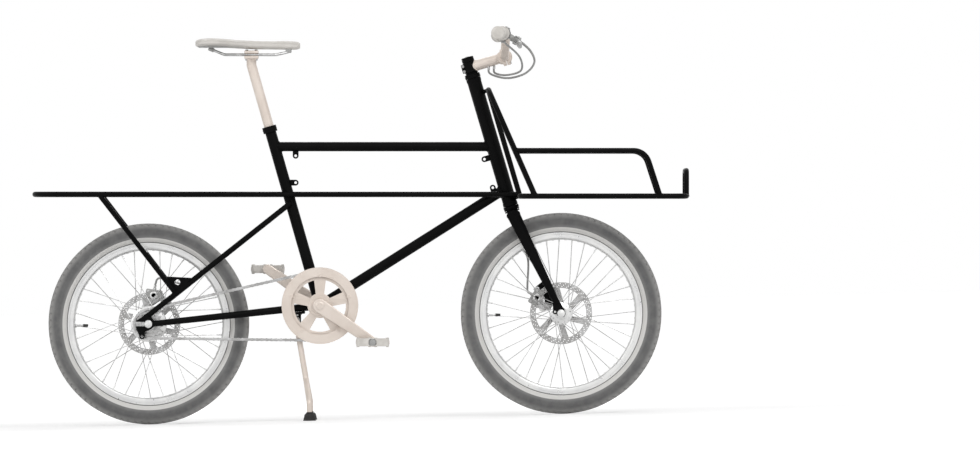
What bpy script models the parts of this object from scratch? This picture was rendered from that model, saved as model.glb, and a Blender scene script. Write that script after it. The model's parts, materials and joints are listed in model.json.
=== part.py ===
"""Compact cargo bike with a load deck over each wheel, standing on its centre stand.

The bike is drawn in its own plane first: the bottom bracket is the zero point, +X is forward,
+Z is up and the side rails are level. The whole drawing is then pitched a little, so that both
tyres touch the ground. +Y is the rider's left, and the chain is on the right.
"""

from math import acos, atan2, ceil, cos, pi, radians, sin, tan

import bmesh
import bpy
from mathutils import Matrix, Vector

# Clearances
GAP = 0.0003  # between two pieces that touch
RUNNING = 0.0005  # around a piece that turns or slides
BEARING_SIDE = 0.001  # along an axle, beside a piece that turns

# Facets
ROUND = 16  # sides of a frame tube
FINE = 36  # steps round a wheel
BEND_STEP = radians(22.5)  # turn between two points of a bent tube

# Wheels
TYRE_HEIGHT = 0.055  # over the bead seat
TYRE_WIDTH = 0.055
BEAD_SEAT_DIAMETER = 0.406
TYRE_TO_CROWN = 0.032  # from the tyre to the foot of the head tube
RIM_FLANGE_HEIGHT = 0.006
RIM_WIDTH = 0.032
RIM_DEPTH = 0.014
RIM_WALL = 0.003
SPOKE_COUNT = 36
SPOKE_DIAMETER = 0.002
FRONT_HUB_LENGTH = 0.100
REAR_HUB_LENGTH = 0.135
FRONT_FLANGE_RADIUS = 0.029
REAR_FLANGE_RADIUS = 0.046
FRONT_BARREL_RADIUS = 0.017
REAR_BARREL_RADIUS = 0.037
FLANGE_THICKNESS = 0.003
FRONT_FLANGE_LEFT = 0.021
FRONT_FLANGE_RIGHT = 0.031
REAR_FLANGE_OFFSET = 0.029
FRONT_AXLE_RADIUS = 0.0045
REAR_AXLE_RADIUS = 0.005
AXLE_OVERHANG = 0.019
AXLE_NUT_RADIUS = 0.0098
AXLE_NUT_HEIGHT = 0.008
LOCKNUT_RADIUS = 0.009
LOCKNUT_LENGTH = 0.005

# Disc brakes
ROTOR_RADIUS = 0.080
ROTOR_TRACK = 0.015
ROTOR_THICKNESS = 0.0018
ROTOR_HUB_RADIUS = 0.024
ROTOR_BORE = 0.017
ROTOR_ARMS = 6
FRONT_ROTOR_INSET = 0.0105
REAR_ROTOR_INSET = 0.0153
CALIPER_LENGTH = 0.043
ADAPTER_THICKNESS = 0.007
CALIPER_INSIDE = 0.013
CALIPER_BRIDGE = 0.009
CALIPER_REACH = 0.024
CALIPER_SLOT = 0.0036
MOUNT_BOLT_RADIUS = 0.003
MOUNT_BOLT_HEAD = 0.005
MOUNT_EAR_RADIUS = 0.0075

# Frame, measured from the bottom bracket
REAR_AXLE_BACK = 0.4402
REAR_AXLE_DROP = 0.0470
SEAT_TUBE_LEAN = radians(15.94)
SEAT_TUBE_LENGTH = 0.479
SEAT_TUBE_DIAMETER = 0.0286
HEAD_LEAN = radians(16.39)
HEAD_BOTTOM_AHEAD = 0.4932
HEAD_BOTTOM_HEIGHT = 0.2454
HEAD_LENGTH = 0.365
HEAD_TUBE_DIAMETER = 0.0364
HEAD_TUBE_WALL = 0.0020
HEADSET_CUP_HEIGHT = 0.012
HEADSET_CUP_DIAMETER = 0.040
TOP_TUBE_BELOW_SEAT_LUG = 0.0540
TOP_TUBE_DIAMETER = 0.0242
DOWN_TUBE_DIAMETER = 0.0262
DOWN_TUBE_HEAD_UP = 0.058
BB_SHELL_DIAMETER = 0.040
BB_SHELL_WIDTH = 0.068
BB_CUP_FLANGE = 0.004
CHAINSTAY_RADIUS = 0.010
CHAINSTAY_TIP_RADIUS = 0.0075
CHAINSTAY_BB_OFFSET = 0.024
SEATSTAY_RADIUS = 0.007
SEATSTAY_TOP_OFFSET = 0.013
SEATSTAY_TOP_HEIGHT = 0.2640
DROPOUT_THICKNESS = 0.006
DROPOUT_SLOT_LENGTH = 0.031

# Rails and rear rack
RAIL_HEIGHT = 0.2858
RAIL_RADIUS = 0.0070
RACK_TAIL_BACK = 0.7310
RACK_HALF_WIDTH = 0.120
RACK_CORNER_RADIUS = 0.055
RACK_FRONT_BACK = 0.235
RACK_BAR_RADIUS = 0.006
RACK_BAR_COUNT = 4
STRUT_RADIUS = 0.0065
STRUT_TOP_BACK = 0.5657
STRUT_ALONG_STAY = 0.0855
GUSSET_THICKNESS = 0.004
GUSSET_HOLE_RADIUS = 0.0075

# Front deck
DECK_HEIGHT = 0.2814
DECK_TUBE_RADIUS = 0.0067
DECK_BACK_AHEAD = 0.5135
DECK_NOSE_AHEAD = 0.9398
DECK_HALF_WIDTH = 0.200
DECK_CORNER_RADIUS = 0.032
DECK_SLAT_COUNT = 7
DECK_SLAT_RADIUS = 0.0055
LIP_HEIGHT = 0.0655
LIP_HALF_WIDTH = 0.150
LIP_CORNER_RADIUS = 0.030
BACKREST_TOP_HEIGHT = 0.5535
BACKREST_FOOT_AHEAD = 0.5526
BACKREST_CORNER_RADIUS = 0.060
BACKREST_TOP_AHEAD = 0.4328
BACKREST_STRUT_OFFSET = 0.062
BRACKET_RADIUS = 0.005
SIDE_RAIL_HEIGHT = 0.3978
SIDE_RAIL_FOOT_AHEAD = 0.8717
SIDE_RAIL_SLOPE = radians(18.0)
SIDE_RAIL_BEND = 0.041

# Sign tabs
SIGN_TAB_RADIUS = 0.0076
SIGN_TAB_HOLE = 0.0034
SIGN_TAB_REACH = 0.013
SIGN_TAB_THICKNESS = 0.004
SIGN_TOP_DROP = 0.0235
SIGN_LOW_HEIGHT = 0.316
CORNER_TAB_RISE = 0.0114  # above the head end of the down tube

# Fork
FORK_RAKE = 0.0463
CROWN_PLAY = 0.0006
BLADE_TOP_DEPTH = 0.034
BLADE_TIP_DEPTH = 0.0165
BLADE_FLATNESS = 0.68
BLADE_TOP_OFFSET = 0.047
BLADE_TIP_HEIGHT = 0.028
CROWN_HEIGHT = 0.024
CROWN_DEPTH = 0.036
STEERER_DIAMETER = 0.0286
STEERER_EXPOSED = 0.041

# Stem, bar and controls
STEM_REACH = 0.0930
STEM_RISE = 0.0175
STEM_COLLAR_RADIUS = 0.0190
STEM_COLLAR_HEIGHT = 0.030
STEM_ARM_RADIUS = 0.0135
STEM_CLAMP_RADIUS = 0.0195
STEM_CLAMP_WIDTH = 0.044
BAR_RADIUS = 0.0111
BAR_HALF_WIDTH = 0.310
BAR_RISE = 0.0589
BAR_KNEE_IN = 0.202  # from the end of the bar
BAR_SWEEP_BACK = 0.021
BAR_BEND_RADIUS = 0.040
GRIP_RADIUS = 0.0165
GRIP_FLANGE_RADIUS = 0.0185
GRIP_LENGTH = 0.118
SHIFTER_LENGTH = 0.034
SHIFTER_RADIUS = 0.0185
LEVER_MOUNT_IN = 0.172  # from the end of the bar
LEVER_MOUNT_WIDTH = 0.016
LEVER_DROP = radians(28)
LEVER_PIVOT_REACH = 0.034
LEVER_LENGTH = 0.115
LEVER_SPREAD = 0.020
LEVER_RADIUS = 0.0052
MASTER_RADIUS = 0.0085
MASTER_LENGTH = 0.052
HOSE_RADIUS = 0.0026
REAR_HOSE_STEPS = (0.120, 0.150, 0.180)  # up the seatstay

# Saddle and post
POST_DIAMETER = 0.0254
POST_INSERT = 0.160
POST_SLIDE_DOWN = 0.080
SADDLE_HEIGHT = 0.6866
SADDLE_BACK = 0.3205
SADDLE_NOSE_BACK = 0.0511
SADDLE_WIDTH = 0.152
SADDLE_DEPTH = 0.024
SADDLE_RAIL_RADIUS = 0.0035
SADDLE_RAIL_OFFSET = 0.022
SADDLE_RAIL_DROP = 0.018
SEAT_CLAMP_HEIGHT = 0.016
SEAT_CLAMP_WALL = 0.004

# Drive
CHAIN_PITCH = 0.0127
CHAINRING_TEETH = 44
SPROCKET_TEETH = 18
CHAIN_LINE = 0.050
CHAIN_WIDTH = 0.0084
CHAIN_HEIGHT = 0.0085
CHAIN_PLATE = 0.0016
TOOTH_THICKNESS = 0.0022
GUARD_RADIUS = 0.0985
GUARD_WIDTH = 0.0245
GUARD_BOLT_RADIUS = 0.004
GUARD_THICKNESS = 0.0022
CHAINRING_BOSS_RADIUS = 0.022
CRANK_LENGTH = 0.165
CRANK_ANGLE = radians(-34.5)
CRANK_INNER = 0.060
CRANK_THICKNESS = 0.013
CRANK_BIG_END = 0.018
CRANK_SMALL_END = 0.0125
SPINDLE_RADIUS = 0.012
SPIDER_WINDOWS = 5
PEDAL_LENGTH = 0.087
PEDAL_WIDTH = 0.092
PEDAL_HEIGHT = 0.0245
PEDAL_SPINDLE_RADIUS = 0.006
PEDAL_SLEEVE_WIDTH = 0.028
PEDAL_RIM = 0.008

# Centre stand
STAND_PIVOT_BACK = 0.062
STAND_PIVOT_DROP = 0.038
STAND_LEG_OFFSET = 0.0365
STAND_KNEE_SHARE = 0.72
STAND_ANKLE_HEIGHT = 0.030
STAND_SPREAD = 0.118
STAND_FOOT_AHEAD = 0.030
STAND_TUBE_RADIUS = 0.007
STAND_BEND_RADIUS = 0.016
STAND_FOOT_RADIUS = 0.017
STAND_FOOT_HEIGHT = 0.018
STAND_BRACKET_LENGTH = 0.044
STAND_BRACKET_THICKNESS = 0.006
STAND_LUG_WIDTH = 0.032
STAND_LUG_LENGTH = 0.026


# Setting up

def clear_scene():
    for obj in list(bpy.data.objects):
        bpy.data.objects.remove(obj, do_unlink=True)


def new_collection(name):
    collection = bpy.data.collections.new(name)
    bpy.context.scene.collection.children.link(collection)
    return collection


clear_scene()
BIKE = new_collection("cargo_bike")
CUTTERS = new_collection("cutters")
CUTTERS.hide_render = True


def material(name, colour, roughness, metallic=0.0):
    finish = bpy.data.materials.new(name)
    finish.use_nodes = True
    shader = finish.node_tree.nodes["Principled BSDF"]
    shader.inputs["Base Color"].default_value = (*colour, 1.0)
    shader.inputs["Roughness"].default_value = roughness
    shader.inputs["Metallic"].default_value = metallic
    return finish


def empty(name, parent=None, matrix=None):
    axis = bpy.data.objects.new(name, None)
    axis.empty_display_size = 0.05
    BIKE.objects.link(axis)
    axis.parent = parent
    if matrix is not None:
        axis.matrix_local = matrix
    return axis


# Solids. Each helper returns a mesh in the drawing's own coordinates

def mesh_from(bm, name="solid"):
    bmesh.ops.recalc_face_normals(bm, faces=bm.faces)
    if bm.calc_volume(signed=True) < 0:
        bmesh.ops.reverse_faces(bm, faces=bm.faces)
    mesh = bpy.data.meshes.new(name)
    bm.to_mesh(mesh)
    bm.free()
    return mesh


def evaluated_mesh(obj):
    """The mesh of an object with its curve bevel or modifiers applied, welded, and the object removed."""
    bpy.context.scene.collection.objects.link(obj)
    graph = bpy.context.evaluated_depsgraph_get()
    mesh = bpy.data.meshes.new_from_object(obj.evaluated_get(graph))
    bpy.data.objects.remove(obj, do_unlink=True)
    bm = bmesh.new()
    bm.from_mesh(mesh)
    bmesh.ops.remove_doubles(bm, verts=bm.verts, dist=1e-6)
    return mesh_from(bm)


def moved(mesh, matrix):
    mesh.transform(matrix)
    return mesh


def along(start, end, side=Vector((0, 1, 0))):
    """A frame at start whose Z runs to end and whose Y is as near to side as it can be, or as near
    to up where Z runs along side."""
    z = (end - start).normalized()
    if abs(z.dot(side)) > 0.95:
        side = Vector((0, 0, 1))
    x = side.cross(z).normalized()
    y = z.cross(x)
    turn = Matrix((x, y, z)).transposed().to_4x4()
    return Matrix.Translation(start) @ turn


def rod(start, end, radius, end_radius=None, sides=ROUND, flatness=1.0, side=Vector((0, 1, 0))):
    """A straight round bar, tapered or flattened across side where asked."""
    bm = bmesh.new()
    bmesh.ops.create_cone(
        bm,
        cap_ends=True,
        segments=sides,
        radius1=radius,
        radius2=radius if end_radius is None else end_radius,
        depth=(end - start).length,
    )
    lift = Matrix.Translation((0, 0, (end - start).length / 2))
    half_step = Matrix.Rotation(pi / sides, 4, "Z")
    flat = Matrix.Diagonal((1.0, flatness, 1.0, 1.0))
    bm.transform(along(start, end, side) @ lift @ flat @ half_step)
    return mesh_from(bm)


def box(centre, size, turn=Matrix.Identity(4)):
    bm = bmesh.new()
    bmesh.ops.create_cube(bm, size=1.0)
    bm.transform(Matrix.Translation(centre) @ turn @ Matrix.Diagonal((*size, 1.0)))
    return mesh_from(bm)


def rounded(corners, radius, closed=False):
    """The points of a line through corners, with an arc of the given radius at each bend."""
    count = len(corners)
    points = []
    for i, corner in enumerate(corners):
        if not closed and i in (0, count - 1):
            points.append(corner)
            continue
        before = (corners[i - 1] - corner).normalized()
        after = (corners[(i + 1) % count] - corner).normalized()
        opening = acos(max(-1.0, min(1.0, before.dot(after))))
        turn = pi - opening
        if turn < radians(2):
            points.append(corner)
            continue
        bend = radius[i] if isinstance(radius, (list, tuple)) else radius
        bisector = (before + after).normalized()
        centre = corner + bisector * (bend / sin(opening / 2))
        start = corner + before * (bend / tan(opening / 2)) - centre
        end = corner + after * (bend / tan(opening / 2)) - centre
        steps = max(2, ceil(turn / BEND_STEP))
        for k in range(steps + 1):
            t = k / steps
            mix = (start * sin((1 - t) * turn) + end * sin(t * turn)) / sin(turn)
            points.append(centre + mix)
    return points


def smooth_curve(points, steps=4):
    """Points on a smooth curve that passes through the given ones."""
    ends = [points[0] * 2 - points[1], *points, points[-1] * 2 - points[-2]]
    curve = []
    for i in range(1, len(ends) - 2):
        a, b, c, d = ends[i - 1 : i + 3]
        for k in range(steps):
            t = k / steps
            curve.append(
                ((b * 2) + (c - a) * t + (a * 2 - b * 5 + c * 4 - d) * t * t
                 + (b * 3 - a - c * 3 + d) * t ** 3) / 2
            )
    curve.append(points[-1])
    return curve


def bent_tube(points, radius, resolution=2, closed=False):
    """A round tube along points."""
    curve = bpy.data.curves.new("tube", "CURVE")
    curve.dimensions = "3D"
    curve.bevel_depth = radius
    curve.bevel_resolution = resolution
    curve.use_fill_caps = not closed
    spline = curve.splines.new("POLY")
    spline.points.add(len(points) - 1)
    for slot, point in zip(spline.points, points):
        slot.co = (*point, 1.0)
    spline.use_cyclic_u = closed
    return evaluated_mesh(bpy.data.objects.new("tube", curve))


def turned(profile, start, direction, steps=24, ring=False):
    """A shape turned about the line from start along direction. The profile holds pairs of radius
    and height, from the top down the outer side. A ring's profile closes on itself."""
    bm = bmesh.new()
    corners = [bm.verts.new((radius, 0.0, height)) for radius, height in profile]
    for a, b in zip(corners, corners[1:]):
        bm.edges.new((a, b))
    if ring:
        bm.edges.new((corners[-1], corners[0]))
    mesh = bpy.data.meshes.new("profile")
    bm.to_mesh(mesh)
    bm.free()
    obj = bpy.data.objects.new("turned", mesh)
    screw = obj.modifiers.new("screw", "SCREW")
    screw.axis = "Z"
    screw.steps = steps
    screw.render_steps = steps
    screw.use_merge_vertices = True
    screw.merge_threshold = 0.00001
    solid = evaluated_mesh(obj)
    return moved(solid, along(start, start + direction))


def plate(outlines, thickness, y):
    """A flat plate in the plane of the drawing, centred at y, from outlines of (x, z) pairs. Each
    outline inside another one is a hole."""
    curve = bpy.data.curves.new("plate", "CURVE")
    curve.dimensions = "2D"
    curve.fill_mode = "BOTH"
    curve.extrude = thickness / 2
    for outline in outlines:
        spline = curve.splines.new("POLY")
        spline.points.add(len(outline) - 1)
        for slot, (x, z) in zip(spline.points, outline):
            slot.co = (x, z, 0.0, 1.0)
        spline.use_cyclic_u = True
    solid = evaluated_mesh(bpy.data.objects.new("plate", curve))
    return moved(solid, Matrix.Translation((0, y, 0)) @ Matrix.Rotation(pi / 2, 4, "X"))


def arc(x, z, radius, start, end, steps):
    """Points of a circle from angle start to angle end, in degrees."""
    angles = [radians(start + (end - start) * k / steps) for k in range(steps + 1)]
    return [(x + radius * cos(angle), z + radius * sin(angle)) for angle in angles]


def circle(x, z, radius, steps=12):
    return arc(x, z, radius, 0, 360, steps)[:-1]


def joined(solids):
    """Solids that don't meet, in one mesh."""
    bm = bmesh.new()
    for solid in solids:
        bm.from_mesh(solid)
        bpy.data.meshes.remove(solid)
    mesh = bpy.data.meshes.new("joined")
    bm.to_mesh(mesh)
    bm.free()
    return mesh


def welded(solids):
    """One solid from several that overlap."""
    base = bpy.data.objects.new("weld", solids[0])
    others = []
    for solid in solids[1:]:
        other = bpy.data.objects.new("weld_on", solid)
        bpy.context.scene.collection.objects.link(other)
        join = base.modifiers.new("join", "BOOLEAN")
        join.operation = "UNION"
        join.object = other
        others.append(other)
    mesh = evaluated_mesh(base)
    for other in others:
        bpy.data.objects.remove(other, do_unlink=True)
    return mesh


def bore(radius, clearance=RUNNING, sides=ROUND):
    """The corner radius of a faceted hole whose flats clear a shaft of the given radius."""
    return (radius + clearance) / cos(pi / sides)


def node(name, mesh, finish, parent, cutters=(), drawn=True):
    """One named object, cut back from its neighbours by the cutters. Its mesh is in the drawing's
    coordinates, or in the parent's own where drawn is False."""
    mesh.name = name
    mesh.materials.append(finish)
    mesh.shade_smooth()
    mesh.set_sharp_from_angle(angle=radians(40))
    obj = bpy.data.objects.new(name, mesh)
    BIKE.objects.link(obj)
    obj.parent = parent
    if drawn and parent is not DRAWING:
        obj.matrix_parent_inverse = parent.matrix_local.inverted()
    for cutter in cutters:
        cut = obj.modifiers.new("fit_" + cutter.name, "BOOLEAN")
        cut.operation = "DIFFERENCE"
        cut.object = cutter
    return obj


def cutter(name, mesh, parent):
    """A shape that cuts its neighbours and is no part of the bike."""
    obj = bpy.data.objects.new("cut_" + name, mesh)
    CUTTERS.objects.link(obj)
    obj.parent = parent
    obj.hide_render = True
    obj.display_type = "WIRE"
    return obj


def rod_cutter(name, start, end, radius, parent, clearance=GAP):
    return cutter(name, rod(start, end, bore(radius, clearance, 24), sides=24), parent)


def at(x, z, y=0.0):
    return Vector((x, y, z))


def mirrored(point):
    return Vector((point.x, -point.y, point.z))


# Finishes
BLACK_PAINT = material("black_paint", (0.012, 0.012, 0.013), 0.38)
TYRE_RUBBER = material("tyre_rubber", (0.14, 0.14, 0.14), 0.85)
PALE_ALLOY = material("pale_alloy", (0.80, 0.74, 0.68), 0.42, 0.3)
SILVER = material("silver", (0.72, 0.72, 0.71), 0.35, 0.8)
STEEL = material("steel", (0.60, 0.60, 0.60), 0.3, 1.0)
PALE_RUBBER = material("pale_rubber", (0.62, 0.60, 0.57), 0.75)
GREY_PLASTIC = material("grey_plastic", (0.42, 0.42, 0.41), 0.55)
SADDLE_COVER = material("saddle_cover", (0.58, 0.56, 0.54), 0.65)
BLACK_RUBBER = material("black_rubber", (0.03, 0.03, 0.03), 0.7)

# Places that the pieces share
Y = Vector((0, 1, 0))
ZERO = Vector((0, 0, 0))
TYRE_RADIUS = BEAD_SEAT_DIAMETER / 2 + TYRE_HEIGHT
FORK_LENGTH = TYRE_RADIUS + TYRE_TO_CROWN
REAR_AXLE = at(-REAR_AXLE_BACK, -REAR_AXLE_DROP)
HEAD_UP = at(-sin(HEAD_LEAN), cos(HEAD_LEAN))
HEAD_FORWARD = at(cos(HEAD_LEAN), sin(HEAD_LEAN))
HEAD_BOTTOM = at(HEAD_BOTTOM_AHEAD, HEAD_BOTTOM_HEIGHT)
HEAD_TOP = HEAD_BOTTOM + HEAD_UP * HEAD_LENGTH
FRONT_AXLE = HEAD_BOTTOM - HEAD_UP * FORK_LENGTH + HEAD_FORWARD * FORK_RAKE
SEAT_UP = at(-sin(SEAT_TUBE_LEAN), cos(SEAT_TUBE_LEAN))
TOP_TUBE_HEIGHT = (SEAT_TUBE_LENGTH - TOP_TUBE_BELOW_SEAT_LUG) * SEAT_UP.z
SEAT_TOP = SEAT_UP * SEAT_TUBE_LENGTH
SEAT_RADIUS = SEAT_TUBE_DIAMETER / 2
HEAD_RADIUS = HEAD_TUBE_DIAMETER / 2
STEERER_RADIUS = STEERER_DIAMETER / 2
POST_RADIUS = POST_DIAMETER / 2
BB_RADIUS = BB_SHELL_DIAMETER / 2
REAR_DROPOUT_Y = REAR_HUB_LENGTH / 2 + GAP + DROPOUT_THICKNESS / 2
FRONT_DROPOUT_Y = FRONT_HUB_LENGTH / 2 + GAP + DROPOUT_THICKNESS / 2

# The drawing is pitched until both tyres stand on level ground
PITCH = atan2((FRONT_AXLE - REAR_AXLE).z, (FRONT_AXLE - REAR_AXLE).x)
PITCHED = Matrix.Rotation(PITCH, 4, "Y")
BB_HEIGHT = TYRE_RADIUS - (PITCHED @ REAR_AXLE).z


def seat_axis(height):
    """The point of the seat tube's axis at a height."""
    return SEAT_UP * (height / SEAT_UP.z)


def head_axis(height):
    """The point of the steering axis at a height."""
    return HEAD_BOTTOM + HEAD_UP * ((height - HEAD_BOTTOM.z) / HEAD_UP.z)


DRAWING = empty("drawing", None, Matrix.Translation((0, 0, BB_HEIGHT)) @ PITCHED)
STEERING = empty("steering_axis", DRAWING, Matrix.Translation(HEAD_BOTTOM))

# Neighbours that other pieces are cut back from
CUT_HEAD = rod_cutter("head_tube", HEAD_BOTTOM - HEAD_UP * 0.02, HEAD_TOP, HEAD_RADIUS, DRAWING)
CUT_SEAT = rod_cutter("seat_tube", ZERO, SEAT_TOP, SEAT_RADIUS, DRAWING)
CUT_BB = rod_cutter("bottom_bracket", -Y * BB_SHELL_WIDTH, Y * BB_SHELL_WIDTH, BB_RADIUS, DRAWING)


# Main frame tubes

def headset_cup(start, direction):
    """A cup in one end of the head tube, round the steerer."""
    inner = bore(STEERER_RADIUS, RUNNING)
    outer = HEADSET_CUP_DIAMETER / 2
    profile = [
        (outer - 0.001, HEADSET_CUP_HEIGHT),
        (outer, HEADSET_CUP_HEIGHT - 0.001),
        (outer, GAP),
        (inner, GAP),
        (inner, HEADSET_CUP_HEIGHT),
    ]
    return turned(profile, start, direction, ROUND, ring=True)


def bottom_bracket():
    """The shell with its two bearing cups screwed home."""
    half = BB_SHELL_WIDTH / 2
    end = half + BB_CUP_FLANGE
    cup = BB_RADIUS - 0.001
    inner = bore(SPINDLE_RADIUS, RUNNING, 24)
    profile = [(cup, end), (cup, half), (BB_RADIUS, half), (BB_RADIUS, -half), (cup, -half)]
    profile += [(cup, -end), (inner, -end), (inner, end)]
    return turned(profile, ZERO, Y, ring=True)


def tapered_bar(start, end, start_radius, end_radius, steps=8):
    """The outline of a flat bar with round ends, wider at the start."""
    run = end - start
    heading = atan2(run.z, run.x)
    lean = acos((start_radius - end_radius) / run.length)
    turn = heading * 180 / pi
    spread = lean * 180 / pi
    outline = arc(end.x, end.z, end_radius, turn - spread, turn + spread, steps)
    outline += arc(start.x, start.z, start_radius, turn + spread, turn + 360 - spread, steps)
    return outline


def sign_tab(root, eye):
    """A flat tab that a sign bolts to, welded on a tube of the main frame."""
    outline = tapered_bar(root, eye, SIGN_TAB_RADIUS, SIGN_TAB_RADIUS, 6)
    hole = circle(eye.x, eye.z, SIGN_TAB_HOLE, 10)
    return plate([outline, hole], SIGN_TAB_THICKNESS, 0)


LOW_EYE = seat_axis(SIGN_LOW_HEIGHT) + at(SEAT_RADIUS + SIGN_TAB_REACH, 0)
TOP_EYE = at(LOW_EYE.x, TOP_TUBE_HEIGHT - SIGN_TOP_DROP)
FRONT_EYE = head_axis(TOP_EYE.z) - HEAD_FORWARD * (HEAD_RADIUS + SIGN_TAB_REACH)
CORNER_EYE = HEAD_BOTTOM + HEAD_UP * (DOWN_TUBE_HEAD_UP + CORNER_TAB_RISE)
CORNER_EYE -= HEAD_FORWARD * (HEAD_RADIUS + SIGN_TAB_REACH)
SEAT_TAB = sign_tab(LOW_EYE - at(SIGN_TAB_REACH + 0.005, 0), LOW_EYE)
TOP_TAB = sign_tab(at(TOP_EYE.x, TOP_TUBE_HEIGHT - 0.004), TOP_EYE)
FRONT_TAB = sign_tab(FRONT_EYE + HEAD_FORWARD * (SIGN_TAB_REACH + 0.005), FRONT_EYE)
CORNER_TAB = sign_tab(CORNER_EYE - HEAD_UP * 0.014, CORNER_EYE)

CUP_TOP = HEAD_TOP - HEAD_UP * HEADSET_CUP_HEIGHT
CUP_FOOT = HEAD_BOTTOM + HEAD_UP * HEADSET_CUP_HEIGHT
POST_BORE_FOOT = SEAT_TOP - SEAT_UP * (POST_INSERT + POST_SLIDE_DOWN + 0.010)
CUT_HEAD_BORE = rod_cutter(
    "head_bore", HEAD_BOTTOM, HEAD_TOP, HEAD_RADIUS - HEAD_TUBE_WALL, DRAWING, 0
)
CUT_POST_BORE = rod_cutter(
    "post_bore", POST_BORE_FOOT, SEAT_TOP + SEAT_UP * 0.05, POST_RADIUS, DRAWING
)
head_tube = rod(CUP_FOOT, CUP_TOP, HEAD_RADIUS, sides=24)
seat_tube = rod(ZERO, SEAT_TOP, SEAT_RADIUS, sides=24)
node(
    "head_tube",
    welded([head_tube, FRONT_TAB]),
    BLACK_PAINT,
    DRAWING,
    [CUT_HEAD_BORE],
)
node("upper_headset_cup", headset_cup(CUP_TOP, HEAD_UP), BLACK_PAINT, DRAWING)
node("lower_headset_cup", headset_cup(CUP_FOOT, -HEAD_UP), BLACK_PAINT, DRAWING)
node("seat_tube", welded([seat_tube, SEAT_TAB]), BLACK_PAINT, DRAWING, [CUT_POST_BORE, CUT_BB])
node("bottom_bracket", bottom_bracket(), PALE_ALLOY, DRAWING)

TOP_TUBE = (seat_axis(TOP_TUBE_HEIGHT), head_axis(TOP_TUBE_HEIGHT), TOP_TUBE_DIAMETER / 2)
DOWN_TUBE = (ZERO, HEAD_BOTTOM + HEAD_UP * DOWN_TUBE_HEAD_UP, DOWN_TUBE_DIAMETER / 2)
top_tube = welded([rod(*TOP_TUBE), TOP_TAB])
node("top_tube", top_tube, BLACK_PAINT, DRAWING, [CUT_SEAT, CUT_HEAD])
down_tube = welded([rod(*DOWN_TUBE), CORNER_TAB])
node("down_tube", down_tube, BLACK_PAINT, DRAWING, [CUT_BB, CUT_SEAT, CUT_HEAD])


# Rear triangle

def on_rear_plate(along_stay, above_stay):
    """A point of the rear dropout by its place along and above the seatstay's end."""
    run = at(STAY_RUN.x, STAY_RUN.z)
    rise = at(-STAY_RUN.z, STAY_RUN.x)
    point = STAY_FOOT + run * along_stay + rise * above_stay
    return (point.x, point.z)


def from_rear_axle(points):
    return [(REAR_AXLE.x + x, REAR_AXLE.z + z) for x, z in points]


CHAINSTAY_FOOT = REAR_AXLE + at(0.0150, 0.0010)
STAY_FOOT = REAR_AXLE + at(0.0041, 0.0254)
STAY_TOP = seat_axis(SEATSTAY_TOP_HEIGHT)
STAY_RUN = (STAY_TOP - STAY_FOOT).normalized()
REAR_EYE = (-0.0160, -0.0319)
REAR_BRAKE_EYES = [on_rear_plate(-0.0018, 0.0244), on_rear_plate(0.0502, 0.0206)]


def rear_dropout(side):
    """The plate that holds the axle in a slot open to the rear, with an eyelet below. The left
    plate also carries the two eyes of the brake."""
    slot = REAR_AXLE_RADIUS + GAP + 0.0002
    tail = -DROPOUT_SLOT_LENGTH
    outline = from_rear_axle(
        [(tail, slot), (tail, 0.0090), (-0.0188, 0.0164)]
    )
    if side > 0:
        lower, upper = REAR_BRAKE_EYES
        outline += [on_rear_plate(-0.0109, 0.0074)]
        outline += arc(*lower, MOUNT_EAR_RADIUS, 215, 75, 7)
        outline += arc(*upper, MOUNT_EAR_RADIUS, 150, -10, 7)
        outline += [
            on_rear_plate(0.0560, SEATSTAY_RADIUS + GAP),
            on_rear_plate(0.0460, SEATSTAY_RADIUS + GAP),
            on_rear_plate(0.0420, 0.0115),
            on_rear_plate(0.0080, 0.0145),
            on_rear_plate(0.0040, SEATSTAY_RADIUS + GAP),
        ]
    outline += [
        on_rear_plate(-0.0013, SEATSTAY_RADIUS + GAP),
        on_rear_plate(-0.0013, -SEATSTAY_RADIUS),
    ]
    outline += from_rear_axle(
        [
            (0.0150 - GAP, 0.0090),
            (0.0260, 0.0050),
            (0.0260, -0.0030),
            (0.0150 - GAP, -0.0070),
            (0.0080, -0.0125),
            (0.0000, -0.0170),
            (-0.0085, -0.0185),
        ]
    )
    outline += from_rear_axle(arc(*REAR_EYE, 0.0072, 10, -190, 10))
    outline += from_rear_axle([(tail, -0.0080), (tail, -slot)])
    outline += from_rear_axle(arc(0, 0, slot, -90, 90, 8))
    holes = [from_rear_axle(circle(*REAR_EYE, 0.0036))]
    if side > 0:
        holes += [circle(*eye, MOUNT_BOLT_RADIUS + GAP) for eye in REAR_BRAKE_EYES]
    return plate([outline, *holes], DROPOUT_THICKNESS, side * REAR_DROPOUT_Y)


def chainstay(side):
    """From the bottom bracket into the front of the dropout."""
    start = at(0, 0, side * CHAINSTAY_BB_OFFSET)
    end = CHAINSTAY_FOOT + Y * side * REAR_DROPOUT_Y
    return rod(start, end, CHAINSTAY_RADIUS, CHAINSTAY_TIP_RADIUS)


def stay_end(side):
    return STAY_FOOT + Y * side * REAR_DROPOUT_Y


def stay_start(side):
    return STAY_TOP + Y * side * SEATSTAY_TOP_OFFSET


SIDES = (("left", 1), ("right", -1))
for word, side in SIDES:
    chainstay_part = welded([chainstay(side), rear_dropout(side)])
    seatstay = rod(stay_start(side), stay_end(side), SEATSTAY_RADIUS)
    node(word + "_chainstay", chainstay_part, BLACK_PAINT, DRAWING, [CUT_BB])
    node(word + "_seatstay", seatstay, BLACK_PAINT, DRAWING, [CUT_SEAT])


# Rails and rear rack

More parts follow.
